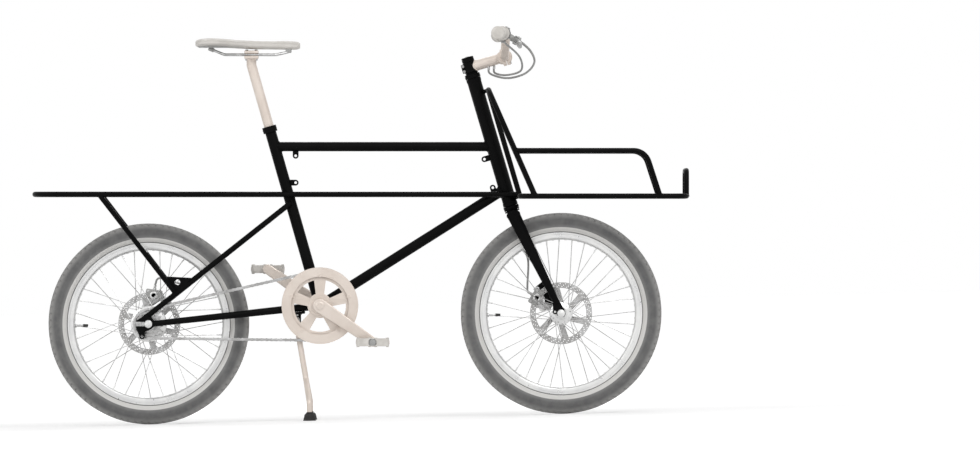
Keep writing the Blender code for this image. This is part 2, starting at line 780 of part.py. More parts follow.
RAIL_AT_SEAT = SEAT_RADIUS + RAIL_RADIUS + GAP
RAIL_AT_HEAD = HEAD_RADIUS + RAIL_RADIUS + GAP
RAIL_SPLIT_BACK = RACK_FRONT_BACK + 0.030
RACK_LAST_BAR_BACK = RACK_TAIL_BACK - RACK_CORNER_RADIUS - 0.047
RAIL_TUCK_BACK = -seat_axis(RAIL_HEIGHT).x + SEAT_RADIUS + 0.016


def side_rail(side):
    """From the rear rack in to pass the seat tube and the head tube, and on to the front deck."""
    corners = [
        at(-RAIL_SPLIT_BACK + GAP, RAIL_HEIGHT, side * RACK_HALF_WIDTH),
        at(-RACK_FRONT_BACK, RAIL_HEIGHT, side * RACK_HALF_WIDTH),
        at(-RAIL_TUCK_BACK, RAIL_HEIGHT, side * RAIL_AT_SEAT),
        at(head_axis(RAIL_HEIGHT).x - HEAD_RADIUS, RAIL_HEIGHT, side * RAIL_AT_HEAD),
        at(DECK_BACK_AHEAD, RAIL_HEIGHT, side * RAIL_AT_HEAD),
    ]
    return bent_tube(rounded(corners, 0.030), RAIL_RADIUS)


def rack_bow():
    corners = [
        at(-RAIL_SPLIT_BACK, RAIL_HEIGHT, RACK_HALF_WIDTH),
        at(-RACK_TAIL_BACK, RAIL_HEIGHT, RACK_HALF_WIDTH),
        at(-RACK_TAIL_BACK, RAIL_HEIGHT, -RACK_HALF_WIDTH),
        at(-RAIL_SPLIT_BACK, RAIL_HEIGHT, -RACK_HALF_WIDTH),
    ]
    return bent_tube(rounded(corners, RACK_CORNER_RADIUS), RAIL_RADIUS)


def rack_bars():
    reach = Y * (RACK_HALF_WIDTH - RAIL_RADIUS / 2)
    first = RAIL_SPLIT_BACK + RAIL_RADIUS
    step = (RACK_LAST_BAR_BACK - first) / (RACK_BAR_COUNT - 1)
    bars = []
    for i in range(RACK_BAR_COUNT):
        middle = at(-first - step * i, RAIL_HEIGHT)
        bars.append(rod(middle + reach, middle - reach, RACK_BAR_RADIUS, sides=12))
    return bars


def strut_foot(side):
    run = (stay_start(side) - stay_end(side)).normalized()
    return stay_end(side) + run * STRUT_ALONG_STAY


def strut_top(side):
    return at(-STRUT_TOP_BACK, RAIL_HEIGHT, side * RACK_HALF_WIDTH)


def gusset(side):
    """A three-cornered plate in the fork of strut and seatstay, with a round hole."""
    foot = strut_foot(side)
    corners = [(-0.0310, 0.0440), (0.0400, 0.0400), (0.0060, -0.0020), (-0.0060, -0.0020)]
    outline = [(foot.x + x, foot.z + z) for x, z in corners]
    hole = circle(foot.x + 0.0035, foot.z + 0.0290, GUSSET_HOLE_RADIUS)
    return plate([outline, hole], GUSSET_THICKNESS, foot.y + side * 0.001)


CUT_RAILS = [
    rod_cutter(
        "rail_" + word,
        at(-RACK_LAST_BAR_BACK, RAIL_HEIGHT, side * RACK_HALF_WIDTH),
        at(-RAIL_SPLIT_BACK, RAIL_HEIGHT, side * RACK_HALF_WIDTH),
        RAIL_RADIUS,
        DRAWING,
    )
    for word, side in SIDES
]
CUT_STAYS = [
    rod_cutter("stay_" + word, stay_end(side), stay_start(side), SEATSTAY_RADIUS, DRAWING)
    for word, side in SIDES
]
CUT_DECK_BACK = rod_cutter(
    "deck_back",
    at(DECK_BACK_AHEAD, DECK_HEIGHT, -DECK_HALF_WIDTH),
    at(DECK_BACK_AHEAD, DECK_HEIGHT, DECK_HALF_WIDTH),
    DECK_TUBE_RADIUS,
    DRAWING,
)
node("rear_rack", welded([rack_bow(), joined(rack_bars())]), BLACK_PAINT, DRAWING)
for word, side in SIDES:
    strut = welded([rod(strut_foot(side), strut_top(side), STRUT_RADIUS), gusset(side)])
    node(word + "_side_rail", side_rail(side), BLACK_PAINT, DRAWING, [CUT_DECK_BACK])
    node(word + "_rack_strut", strut, BLACK_PAINT, DRAWING, CUT_RAILS + CUT_STAYS)


# Front deck, backrest and side rails

BACK_BAR = at(DECK_BACK_AHEAD, DECK_HEIGHT)
NOSE_BAR = at(DECK_NOSE_AHEAD, DECK_HEIGHT)
BACKREST_FOOT = at(BACKREST_FOOT_AHEAD, DECK_HEIGHT)
BACKREST_TOP = at(BACKREST_TOP_AHEAD, BACKREST_TOP_HEIGHT)


def deck_frame():
    """The closed loop of tube round the deck."""
    corners = [
        BACK_BAR + Y * DECK_HALF_WIDTH,
        NOSE_BAR + Y * DECK_HALF_WIDTH,
        NOSE_BAR - Y * DECK_HALF_WIDTH,
        BACK_BAR - Y * DECK_HALF_WIDTH,
    ]
    return bent_tube(rounded(corners, DECK_CORNER_RADIUS, True), DECK_TUBE_RADIUS, closed=True)


def deck_slats():
    reach = Y * (DECK_HALF_WIDTH - DECK_TUBE_RADIUS / 2)
    step = (NOSE_BAR - BACK_BAR) / (DECK_SLAT_COUNT + 1)
    centres = [BACK_BAR + step * (i + 1) for i in range(DECK_SLAT_COUNT)]
    return [rod(c + reach, c - reach, DECK_SLAT_RADIUS, sides=12) for c in centres]


def deck_lip():
    top = at(DECK_NOSE_AHEAD, DECK_HEIGHT + LIP_HEIGHT)
    side = Y * LIP_HALF_WIDTH
    corners = [NOSE_BAR + side, top + side, top - side, NOSE_BAR - side]
    return bent_tube(rounded(corners, LIP_CORNER_RADIUS), DECK_TUBE_RADIUS)


def backrest_hoop():
    side = Y * DECK_HALF_WIDTH
    corners = [BACKREST_FOOT + side, BACKREST_TOP + side, BACKREST_TOP - side, BACKREST_FOOT - side]
    return bent_tube(rounded(corners, BACKREST_CORNER_RADIUS), DECK_TUBE_RADIUS)


def backrest_strut(side):
    """An upright behind the backrest, from the back bar of the deck."""
    shift = Y * side * BACKREST_STRUT_OFFSET
    return rod(BACK_BAR + shift, BACKREST_TOP + shift, DECK_TUBE_RADIUS)


def head_bracket(end):
    """A short bar that joins the deck or the backrest to the head tube."""
    start = end - HEAD_FORWARD * (end - HEAD_BOTTOM).dot(HEAD_FORWARD)
    return rod(start, end, BRACKET_RADIUS, sides=12)


def deck_side_rail(side):
    leg = BACKREST_TOP - BACKREST_FOOT
    start = BACKREST_FOOT + leg * ((SIDE_RAIL_HEIGHT - DECK_HEIGHT) / leg.z)
    drop = SIDE_RAIL_HEIGHT - DECK_HEIGHT
    foot = at(SIDE_RAIL_FOOT_AHEAD, DECK_HEIGHT)
    corner = foot + at(-drop * tan(SIDE_RAIL_SLOPE), drop)
    corners = [point + Y * side * DECK_HALF_WIDTH for point in (start, corner, foot)]
    return bent_tube(rounded(corners, SIDE_RAIL_BEND), DECK_TUBE_RADIUS)


def deck_cutter(name, start, end, side):
    shift = Y * side * DECK_HALF_WIDTH
    return rod_cutter(name, start + shift, end + shift, DECK_TUBE_RADIUS, DRAWING)


CUT_DECK_SIDES = [deck_cutter("deck_side", BACK_BAR, NOSE_BAR, side) for side in (1, -1)]
CUT_LEGS = [deck_cutter("backrest_leg", BACKREST_FOOT, BACKREST_TOP, side) for side in (1, -1)]

deck = welded([deck_frame(), joined(deck_slats()), deck_lip(), head_bracket(BACK_BAR)])
backrest = [backrest_hoop(), backrest_strut(1), backrest_strut(-1), head_bracket(BACKREST_TOP)]
node("front_deck", deck, BLACK_PAINT, DRAWING, [CUT_HEAD])
node(
    "backrest",
    welded(backrest),
    BLACK_PAINT,
    DRAWING,
    [CUT_DECK_BACK, CUT_HEAD, *CUT_DECK_SIDES],
)
for word, side in SIDES:
    rail = deck_side_rail(side)
    node(word + "_deck_rail", rail, BLACK_PAINT, DRAWING, CUT_DECK_SIDES + CUT_LEGS)


# Fork

CROWN = HEAD_BOTTOM - HEAD_UP * (CROWN_PLAY + CROWN_HEIGHT / 2)
CROWN_HALF_WIDTH = BLADE_TOP_OFFSET + BLADE_TOP_DEPTH / 2 * BLADE_FLATNESS + 0.001
BLADE_FOOT = FRONT_AXLE + at(-BLADE_TIP_HEIGHT * 0.43, BLADE_TIP_HEIGHT)
BLADE_RUN = at((CROWN - BLADE_FOOT).x, (CROWN - BLADE_FOOT).z).normalized()
BLADE_REAR = at(-BLADE_RUN.z, BLADE_RUN.x)


def on_fork_plate(along_blade, behind_blade):
    point = BLADE_FOOT + BLADE_RUN * along_blade + BLADE_REAR * behind_blade
    return (point.x, point.z)


def from_front_axle(points):
    return [(FRONT_AXLE.x + x, FRONT_AXLE.z + z) for x, z in points]


FRONT_BRAKE_EYES = [on_fork_plate(0.0014, 0.0404), on_fork_plate(0.0517, 0.0308)]
FENDER_EYE = (-0.0157, 0.0040)


def crown_bar(extra=0.0):
    half = Y * (CROWN_HALF_WIDTH + extra)
    depth = CROWN_DEPTH / 2 + extra
    flatness = (CROWN_HEIGHT / 2 + extra) / depth
    return rod(CROWN - half, CROWN + half, depth, flatness=flatness, side=HEAD_UP, sides=20)


def fork_blade(side):
    foot = BLADE_FOOT + Y * side * FRONT_DROPOUT_Y
    top = CROWN + Y * side * BLADE_TOP_OFFSET
    return rod(foot, top, BLADE_TIP_DEPTH / 2, BLADE_TOP_DEPTH / 2, flatness=BLADE_FLATNESS)


def fork_end(side):
    """The hook that the axle hangs in, open downwards, with an eyelet behind it. The left one
    reaches up behind the blade to the two eyes of the brake."""
    slot = FRONT_AXLE_RADIUS + GAP + 0.0002
    tip = BLADE_TIP_DEPTH / 2
    outline = [on_fork_plate(0.012, -tip * 0.6), on_fork_plate(-0.001, -tip)]
    outline += from_front_axle([(0.0075, 0.0120)])
    outline += from_front_axle(arc(0, 0, 0.0112, 35, -55, 5))
    outline += from_front_axle([(slot, -0.0100)])
    outline += from_front_axle(arc(0, 0, slot, 0, 180, 8))
    outline += from_front_axle([(-slot, -0.0070), (-0.0095, -0.0060)])
    outline += from_front_axle(arc(*FENDER_EYE, 0.0064, -60, -210, 7))
    if side > 0:
        lower, upper = FRONT_BRAKE_EYES
        outline += [on_fork_plate(-0.0030, tip + 0.0020), on_fork_plate(-0.0060, 0.0340)]
        outline += arc(*lower, MOUNT_EAR_RADIUS, -60, -220, 7)
        outline += [on_fork_plate(0.0130, 0.0260), on_fork_plate(0.0330, 0.0225)]
        outline += arc(*upper, MOUNT_EAR_RADIUS, -90, -240, 7)
        outline += [on_fork_plate(0.0640, tip + 0.0015), on_fork_plate(0.0600, tip * 0.5)]
    outline += [on_fork_plate(0.012, tip * 0.6)]
    holes = [from_front_axle(circle(*FENDER_EYE, 0.0030))]
    if side > 0:
        holes += [circle(*eye, MOUNT_BOLT_RADIUS + GAP) for eye in FRONT_BRAKE_EYES]
    return plate([outline, *holes], DROPOUT_THICKNESS, side * FRONT_DROPOUT_Y)


CUT_CROWN = cutter("crown", crown_bar(GAP + 0.0002), DRAWING)
STEERER_TOP = HEAD_TOP + HEAD_UP * STEERER_EXPOSED
steerer = rod(CROWN, STEERER_TOP, STEERER_RADIUS, sides=24)
node("fork_crown", welded([crown_bar(), steerer]), BLACK_PAINT, STEERING)
for word, side in SIDES:
    blade = welded([fork_blade(side), fork_end(side)])
    node(word + "_fork_blade", blade, BLACK_PAINT, STEERING, [CUT_CROWN])


# Stem, bar and controls

COLLAR = HEAD_TOP + HEAD_UP * STEM_RISE
BAR_CENTRE = COLLAR + HEAD_FORWARD * STEM_REACH
BAR_KNEE = BAR_CENTRE + at(0.0030, BAR_RISE, BAR_HALF_WIDTH - BAR_KNEE_IN)
BAR_END = at(BAR_KNEE.x - BAR_SWEEP_BACK, BAR_KNEE.z, BAR_HALF_WIDTH)
BAR_RUN = (BAR_END - BAR_KNEE).normalized()
LEVER_MOUNT_OUT = BAR_HALF_WIDTH - LEVER_MOUNT_IN
SHIFTER_OUT = BAR_HALF_WIDTH - GRIP_LENGTH - SHIFTER_LENGTH * 0.65
REACH = at(cos(LEVER_DROP), -sin(LEVER_DROP))
FORWARD = (REACH - BAR_RUN * REACH.dot(BAR_RUN)).normalized()
HINGE = BAR_RUN.cross(FORWARD).normalized()


def on_bar(out):
    """The point of the bar's left half at a distance from the middle."""
    return BAR_KNEE + BAR_RUN * ((out - BAR_KNEE.y) / BAR_RUN.y)


PIVOT = on_bar(LEVER_MOUNT_OUT) + BAR_RUN * 0.012 + FORWARD * LEVER_PIVOT_REACH


def flipped(mesh):
    """The same solid on the right."""
    mesh.transform(Matrix.Diagonal((1, -1, 1, 1)))
    mesh.flip_normals()
    return mesh


def sleeve(outer, inner, length, start, direction, steps=ROUND):
    """A plain ring from start along direction, round a shaft of the inner radius."""
    hole = bore(inner, GAP, steps)
    profile = [(outer, length), (outer, 0), (hole, 0), (hole, length)]
    return turned(profile, start, direction, steps, ring=True)


def stem():
    """A collar that reaches down to the headset, its cap, an arm, and a clamp for the bar."""
    foot = HEAD_TOP + HEAD_UP * GAP
    half = Y * STEM_CLAMP_WIDTH / 2
    return welded(
        [
            rod(foot, COLLAR + HEAD_UP * STEM_COLLAR_HEIGHT / 2, STEM_COLLAR_RADIUS, sides=24),
            rod(COLLAR, STEERER_TOP + HEAD_UP * 0.004, STEM_COLLAR_RADIUS * 0.9, sides=24),
            rod(COLLAR, BAR_CENTRE, STEM_ARM_RADIUS),
            rod(BAR_CENTRE - half, BAR_CENTRE + half, STEM_CLAMP_RADIUS, sides=24),
        ]
    )


def handlebar():
    middle = BAR_CENTRE + Y * 0.040
    corners = [BAR_END, BAR_KNEE, middle, mirrored(middle), mirrored(BAR_KNEE), mirrored(BAR_END)]
    return bent_tube(rounded(corners, BAR_BEND_RADIUS), BAR_RADIUS)


def grip():
    """A rubber sleeve with a flange at its inner end, closed over the end of the bar."""
    hole = bore(BAR_RADIUS, GAP)
    profile = [
        (0, 0.0040),
        (GRIP_RADIUS - 0.003, 0.0040),
        (GRIP_FLANGE_RADIUS, 0.0015),
        (GRIP_FLANGE_RADIUS, -0.0030),
        (GRIP_RADIUS, -0.0060),
        (GRIP_RADIUS - 0.0012, -GRIP_LENGTH / 2),
        (GRIP_RADIUS, -GRIP_LENGTH + 0.004),
        (GRIP_RADIUS, -GRIP_LENGTH),
        (hole, -GRIP_LENGTH),
        (hole, GAP),
        (0, GAP),
    ]
    return turned(profile, BAR_END, BAR_RUN, ROUND)


def lever_mount():
    """Bar clamp, neck, master cylinder, and two lugs that hold the lever's pin."""
    ring_start = on_bar(LEVER_MOUNT_OUT) - BAR_RUN * LEVER_MOUNT_WIDTH / 2
    ring_radius = BAR_RADIUS + 0.0040
    master_end = PIVOT - BAR_RUN * 0.0080
    master_start = master_end - BAR_RUN * MASTER_LENGTH
    neck_start = on_bar(LEVER_MOUNT_OUT) + FORWARD * (ring_radius - 0.001)
    neck_end = on_bar(LEVER_MOUNT_OUT) + FORWARD * (LEVER_PIVOT_REACH - MASTER_RADIUS + 0.004)
    turn = Matrix((FORWARD, BAR_RUN, -HINGE)).transposed().to_4x4()
    lugs = [
        box(PIVOT + HINGE * s * 0.0080 - BAR_RUN * 0.0018, (0.011, 0.0160, 0.0030), turn)
        for s in (1, -1)
    ]
    return welded(
        [
            sleeve(ring_radius, BAR_RADIUS, LEVER_MOUNT_WIDTH, ring_start, BAR_RUN),
            rod(neck_start, neck_end, 0.0060, sides=12),
            rod(master_start, master_end, MASTER_RADIUS),
            *lugs,
            rod(PIVOT - HINGE * 0.0075, PIVOT + HINGE * 0.0075, 0.0022, sides=12),
        ]
    )


def brake_lever():
    """The blade that the fingers pull, with its eye round the pin."""
    eye = sleeve(0.0065, 0.0024, 0.0110, PIVOT - HINGE * 0.0055, HINGE, 16)
    corners = [
        PIVOT + BAR_RUN * 0.0046 + FORWARD * 0.0022,
        PIVOT + BAR_RUN * 0.030 + FORWARD * LEVER_SPREAD * 0.8,
        PIVOT + BAR_RUN * (LEVER_LENGTH - 0.018) + FORWARD * LEVER_SPREAD,
        PIVOT + BAR_RUN * LEVER_LENGTH + FORWARD * (LEVER_SPREAD + 0.006),
    ]
    return welded([eye, bent_tube(rounded(corners, 0.020), LEVER_RADIUS)])


def shifter():
    """The twist grip of the gear hub, between the right grip and the brake lever."""
    start = on_bar(BAR_HALF_WIDTH) - BAR_RUN * (GRIP_LENGTH + 0.0006 + SHIFTER_LENGTH)
    return flipped(sleeve(SHIFTER_RADIUS, BAR_RADIUS + 0.0002, SHIFTER_LENGTH, start, BAR_RUN))


def hose(points):
    return bent_tube(smooth_curve(points, 2), HOSE_RADIUS, 1)


def bar_hoses():
    """Two brake hoses and the gear cable, in loose loops from the controls into the stem."""
    port = COLLAR + HEAD_FORWARD * 0.046 - HEAD_UP * (STEM_ARM_RADIUS + GAP)
    start = PIVOT - BAR_RUN * (0.0080 + MASTER_LENGTH + 0.0008)
    loop = [
        start,
        start - BAR_RUN * 0.018,
        BAR_CENTRE + at(0.066, 0.016, 0.052),
        BAR_CENTRE + at(0.076, -0.014, 0.034),
        BAR_CENTRE + at(0.052, -0.042, 0.018),
        BAR_CENTRE + at(0.006, -0.054, 0.009),
        port + at(0.004, -0.016, 0.007),
        port + at(0, 0, 0.006),
    ]
    twist = mirrored(on_bar(BAR_HALF_WIDTH) - BAR_RUN * (GRIP_LENGTH + SHIFTER_LENGTH * 0.5))
    outlet = twist - at(0, SHIFTER_RADIUS + HOSE_RADIUS + GAP)
    gear = [
        outlet + Y * 0.010,
        outlet + at(0.006, -0.004, 0.026),
        BAR_CENTRE + at(0.038, 0.000, -0.080),
        BAR_CENTRE + at(0.042, -0.034, -0.040),
        BAR_CENTRE + at(0.006, -0.046, -0.014),
        port + at(0.016, -0.014, 0),
        port + at(0.014, 0.001, 0),
    ]
    right = [mirrored(point) for point in loop]
    return [hose(loop), hose(right), hose(gear)]


BORE_TOP = STEERER_TOP + HEAD_UP * GAP
CUT_STEERER = rod_cutter("steerer", HEAD_BOTTOM, BORE_TOP, STEERER_RADIUS, DRAWING)
CUT_BAR = rod_cutter(
    "bar", BAR_CENTRE - Y * 0.038, BAR_CENTRE + Y * 0.038, BAR_RADIUS, DRAWING
)
node("stem", stem(), PALE_ALLOY, STEERING, [CUT_STEERER, CUT_BAR])
node("handlebar", handlebar(), PALE_ALLOY, STEERING)
node("left_grip", grip(), PALE_RUBBER, STEERING)
node("right_grip", flipped(grip()), PALE_RUBBER, STEERING)
node("left_lever_mount", lever_mount(), GREY_PLASTIC, STEERING)
node("right_lever_mount", flipped(lever_mount()), GREY_PLASTIC, STEERING)

LEFT_LEVER = empty("left_lever_axis", DRAWING, Matrix.Translation(PIVOT))
RIGHT_LEVER = empty("right_lever_axis", DRAWING, Matrix.Translation(mirrored(PIVOT)))
SHIFTER_AXIS = empty("shifter_axis", DRAWING, Matrix.Translation(mirrored(on_bar(SHIFTER_OUT))))
node("left_brake_lever", brake_lever(), GREY_PLASTIC, LEFT_LEVER)
node("right_brake_lever", flipped(brake_lever()), GREY_PLASTIC, RIGHT_LEVER)
node("twist_shifter", shifter(), BLACK_RUBBER, SHIFTER_AXIS)


# Axles, hubs and wheels. A wheel is built round the zero point with its axle along Y

def axle(hub_length, radius, centre):
    """The axle with its two locknuts, and a nut outside each dropout."""
    half = hub_length / 2
    end = half + AXLE_OVERHANG
    inner = half - LOCKNUT_LENGTH
    side = [(radius, -inner), (LOCKNUT_RADIUS, -inner), (LOCKNUT_RADIUS, -half), (radius, -half)]
    profile = [(0, end), (radius, end), (radius, half), (LOCKNUT_RADIUS, half)]
    profile += [(LOCKNUT_RADIUS, inner), (radius, inner), *side, (radius, -end), (0, -end)]
    nut = half + DROPOUT_THICKNESS + 2 * GAP + AXLE_NUT_HEIGHT / 2
    solids = [turned(profile, ZERO, Y, 12)]
    for side in (1, -1):
        solids.append(plate([circle(0, 0, AXLE_NUT_RADIUS, 6)], AXLE_NUT_HEIGHT, side * nut))
    return moved(welded(solids), Matrix.Translation(centre))


def hub(hub_length, axle_radius, barrel, flange, left, right, rotor_inset, driven):
    """A hub shell from its right end to its left, with the rotor's seat on the left and, on a
    driven hub, the sprocket's seat on the right."""
    hole = bore(axle_radius)
    end = hub_length / 2 - LOCKNUT_LENGTH - BEARING_SIDE * 0.7
    half = FLANGE_THICKNESS / 2
    rotor = hub_length / 2 - rotor_inset - ROTOR_THICKNESS / 2 - GAP
    neck = ROTOR_BORE * cos(pi / ROUND) - GAP
    profile = [
        (hole, end),
        (neck - 0.003, end),
        (neck, end - 0.003),
        (neck, rotor),
        (ROTOR_HUB_RADIUS, rotor),
        (ROTOR_HUB_RADIUS, rotor - 0.004),
        (barrel * 0.8, left + half + 0.004),
        (barrel, left + half),
        (flange, left + half),
        (flange, left - half),
        (barrel, left - half),
        (barrel, -right + half),
        (flange, -right + half),
        (flange, -right - half),
        (barrel * 0.8, -right - half),
    ]
    if driven:
        sprocket = CHAIN_LINE - TOOTH_THICKNESS / 2 - GAP
        profile += [(ROTOR_HUB_RADIUS - 0.002, -sprocket), (neck, -sprocket)]
    profile += [(neck, -end + 0.003), (neck - 0.003, -end), (hole, -end)]
    return turned(profile, ZERO, Y, ROUND, ring=True)


def spokes(flange, left, right):
    """Spokes laced in crossing pairs, alternately outside and inside each flange."""
    rim = RIM_INNER * cos(pi / FINE) - GAP - 0.0002
    root = flange - 0.0045
    step = 4 * pi / SPOKE_COUNT
    offset = FLANGE_THICKNESS / 2 + SPOKE_DIAMETER * 0.2
    solids = []
    for side, flange_y in ((1, left), (-1, right)):
        for k in range(SPOKE_COUNT // 2):
            outward = 1 if k % 2 == 0 else -1
            foot = step * k + (step if side < 0 else 0)
            head = foot + outward * SPOKE_LEAN
            y = flange_y + outward * offset
            start = at(root * cos(foot), root * sin(foot), side * y)
            end = at(rim * cos(head), rim * sin(head), side * (0.0035 + outward * 0.0012))
            solids.append(rod(start, end, SPOKE_DIAMETER / 2, sides=4))
    return joined(solids)


def tyre():
    """A round section with a neck between the rim's flanges."""
    section = TYRE_WIDTH / 2
    centre = TYRE_RADIUS - section
    neck = RIM_WIDTH / 2 - RIM_WALL - GAP
    profile = [(RIM_BED + GAP, neck), (RIM_TOP, neck), (RIM_TOP + 0.0010, RIM_WIDTH / 2 + 0.001)]
    for k in range(9):
        angle = radians(-30 + 30 * k)
        profile.append((centre + section * sin(angle), section * cos(angle)))
    profile += [(r, -y) for r, y in reversed(profile[:3])]
    return turned(profile, ZERO, Y, FINE, ring=True)


def rim():
    half = RIM_WIDTH / 2
    inside = half - RIM_WALL
    profile = [
        (RIM_TOP, half),
        (RIM_INNER + 0.005, half),
        (RIM_INNER, half * 0.55),
        (RIM_INNER, -half * 0.55),
        (RIM_INNER + 0.005, -half),
        (RIM_TOP, -half),
        (RIM_TOP, -inside),
        (RIM_BED, -inside),
        (RIM_BED, inside),
        (RIM_TOP, inside),
    ]
    return turned(profile, ZERO, Y, FINE, ring=True)


def window(inner, outer, middle, half_angle):
    """The outline of an opening between two arms, in degrees about the wheel's centre."""
    low = arc(0, 0, inner, middle - half_angle * 0.7, middle + half_angle * 0.7, 3)
    high = arc(0, 0, outer, middle + half_angle, middle - half_angle, 5)
    return low + high


def rotor(hub_length, inset):
    """A braking ring on six arms."""
    outlines = [circle(0, 0, ROTOR_RADIUS, FINE), circle(0, 0, ROTOR_BORE, ROUND)]
    inner = ROTOR_HUB_RADIUS + 0.006
    outer = ROTOR_RADIUS - ROTOR_TRACK
    pitch = 360 / ROTOR_ARMS
    outlines += [window(inner, outer, pitch * k, pitch * 0.36) for k in range(ROTOR_ARMS)]
    return plate(outlines, ROTOR_THICKNESS, hub_length / 2 - inset)


RIM_BED = BEAD_SEAT_DIAMETER / 2
RIM_TOP = RIM_BED + RIM_FLANGE_HEIGHT
RIM_INNER = RIM_BED - RIM_DEPTH
SPOKE_LEAN = radians(42)
UPRIGHT = Matrix.Rotation(-PITCH, 4, "Y")
FRONT_WHEEL = empty("front_wheel_axis", DRAWING, Matrix.Translation(FRONT_AXLE) @ UPRIGHT)
REAR_WHEEL = empty("rear_wheel_axis", DRAWING, Matrix.Translation(REAR_AXLE) @ UPRIGHT)

node("front_axle", axle(FRONT_HUB_LENGTH, FRONT_AXLE_RADIUS, FRONT_AXLE), SILVER, STEERING)
node("rear_axle", axle(REAR_HUB_LENGTH, REAR_AXLE_RADIUS, REAR_AXLE), SILVER, DRAWING)

FRONT_HUB = (
    FRONT_HUB_LENGTH,
    FRONT_AXLE_RADIUS,
    FRONT_BARREL_RADIUS,
    FRONT_FLANGE_RADIUS,
    FRONT_FLANGE_LEFT,
    FRONT_FLANGE_RIGHT,
    FRONT_ROTOR_INSET,
    False,
)
REAR_HUB = (
    REAR_HUB_LENGTH,
    REAR_AXLE_RADIUS,
    REAR_BARREL_RADIUS,
    REAR_FLANGE_RADIUS,
    REAR_FLANGE_OFFSET,
    REAR_FLANGE_OFFSET,
    REAR_ROTOR_INSET,
    True,
)
# Drive

def toothed(teeth):
    """The outline of a chainwheel about the zero point."""
    radius = pitch_radius(teeth)
    step = 360 / teeth
    outline = []
    for k in range(teeth):
        for share, height in ((0.0, 0.0028), (0.5, -0.0036)):
            angle = radians(step * (k + share))
            outline.append(((radius + height) * cos(angle), (radius + height) * sin(angle)))
    return outline


def pitch_radius(teeth):
    return CHAIN_PITCH / 2 / sin(pi / teeth)


def chain():
    """The chain's closed loop round both chainwheels, hollow where their teeth run."""
    large = pitch_radius(CHAINRING_TEETH)
    small = pitch_radius(SPROCKET_TEETH)
    run = REAR_AXLE
    heading = atan2(run.z, run.x)
    lean = acos((large - small) / run.length)
    path = []
    for centre, radius, start, end, steps in (
        (ZERO, large, heading + lean, heading + 2 * pi - lean, 18),
        (REAR_AXLE, small, heading - lean, heading + lean, 12),
    ):
        step = (end - start) / steps
        for k in range(steps + 1):
            angle = start + step * k
            stretch = 1 / cos(step / 2) if 0 < k < steps else 1 + (1 / cos(step / 2) - 1) / 2
            path.append((centre, radius * stretch, angle))
    half = CHAIN_WIDTH / 2
    inner = half - CHAIN_PLATE
    low = -CHAIN_HEIGHT / 2
    profile = [(-half, low), (-half, 0.0052), (half, 0.0052), (half, low)]
    profile += [(inner, low), (inner, 0.0034), (-inner, 0.0034), (-inner, low)]
    bm = bmesh.new()
    rings = []
    for centre, radius, angle in path:
        out = at(cos(angle), sin(angle))
        rings.append(
            [bm.verts.new(centre + out * (radius + n) + Y * (y - CHAIN_LINE)) for y, n in profile]
        )
    for a, b in zip(rings, rings[1:] + rings[:1]):
        for i in range(len(profile)):
            j = (i + 1) % len(profile)
            bm.faces.new((a[i], a[j], b[j], b[i]))
    return mesh_from(bm)


def chainring_parts():
    """The toothed ring on its spider, the boss that joins it to the right crank, and the guard
    ring with its five bolts."""
    pitch = 360 / SPIDER_WINDOWS
    windows = [window(0.030, 0.068, 90 + pitch * (k + 0.5), 24) for k in range(SPIDER_WINDOWS)]
    ring = plate([toothed(CHAINRING_TEETH), *windows], TOOTH_THICKNESS, -CHAIN_LINE)
    boss = rod(-Y * CHAIN_LINE, -Y * (CRANK_INNER - GAP), CHAINRING_BOSS_RADIUS, sides=24)
    guard_y = CHAIN_LINE + CHAIN_WIDTH / 2 + 0.0012 + GUARD_THICKNESS / 2
    guard_outlines = [circle(0, 0, GUARD_RADIUS, 36), circle(0, 0, GUARD_RADIUS - GUARD_WIDTH, 24)]
    guard = plate(guard_outlines, GUARD_THICKNESS, -guard_y)
    bolts = []
    for k in range(SPIDER_WINDOWS):
        angle = radians(90 + pitch * k)
        centre = at(0.0785 * cos(angle), 0.0785 * sin(angle))
        bolts.append(
            rod(centre - Y * CHAIN_LINE, centre - Y * guard_y, GUARD_BOLT_RADIUS, sides=10)
        )
    return [ring, boss, joined(bolts), guard]


def crank_end(side):
    """The pedal's axis on the left or right crank."""
    return at(cos(CRANK_ANGLE), sin(CRANK_ANGLE)) * (-side * CRANK_LENGTH)


def crank_arm(side):
    outline = tapered_bar(ZERO, crank_end(side), CRANK_BIG_END, CRANK_SMALL_END)
    return plate([outline], CRANK_THICKNESS, side * (CRANK_INNER + CRANK_THICKNESS / 2))


PEDAL_INNER = CRANK_INNER + CRANK_THICKNESS + 0.0045


def crank_spindle():
    half = Y * (CRANK_INNER + CRANK_THICKNESS / 2)
    return rod(-half, half, SPINDLE_RADIUS)


def pedal_spindle(side):
    start = crank_end(side) + Y * side * (CRANK_INNER + CRANK_THICKNESS / 2)
    end = crank_end(side) + Y * side * (PEDAL_INNER + PEDAL_WIDTH - 0.004)
    return rod(start, end, PEDAL_SPINDLE_RADIUS)


def pedal(side):
    """A platform with a sleeve along the middle and two openings."""
    centre = crank_end(side) + Y * side * (PEDAL_INNER + PEDAL_WIDTH / 2)
    return box(centre, (PEDAL_LENGTH, PEDAL_WIDTH, PEDAL_HEIGHT))


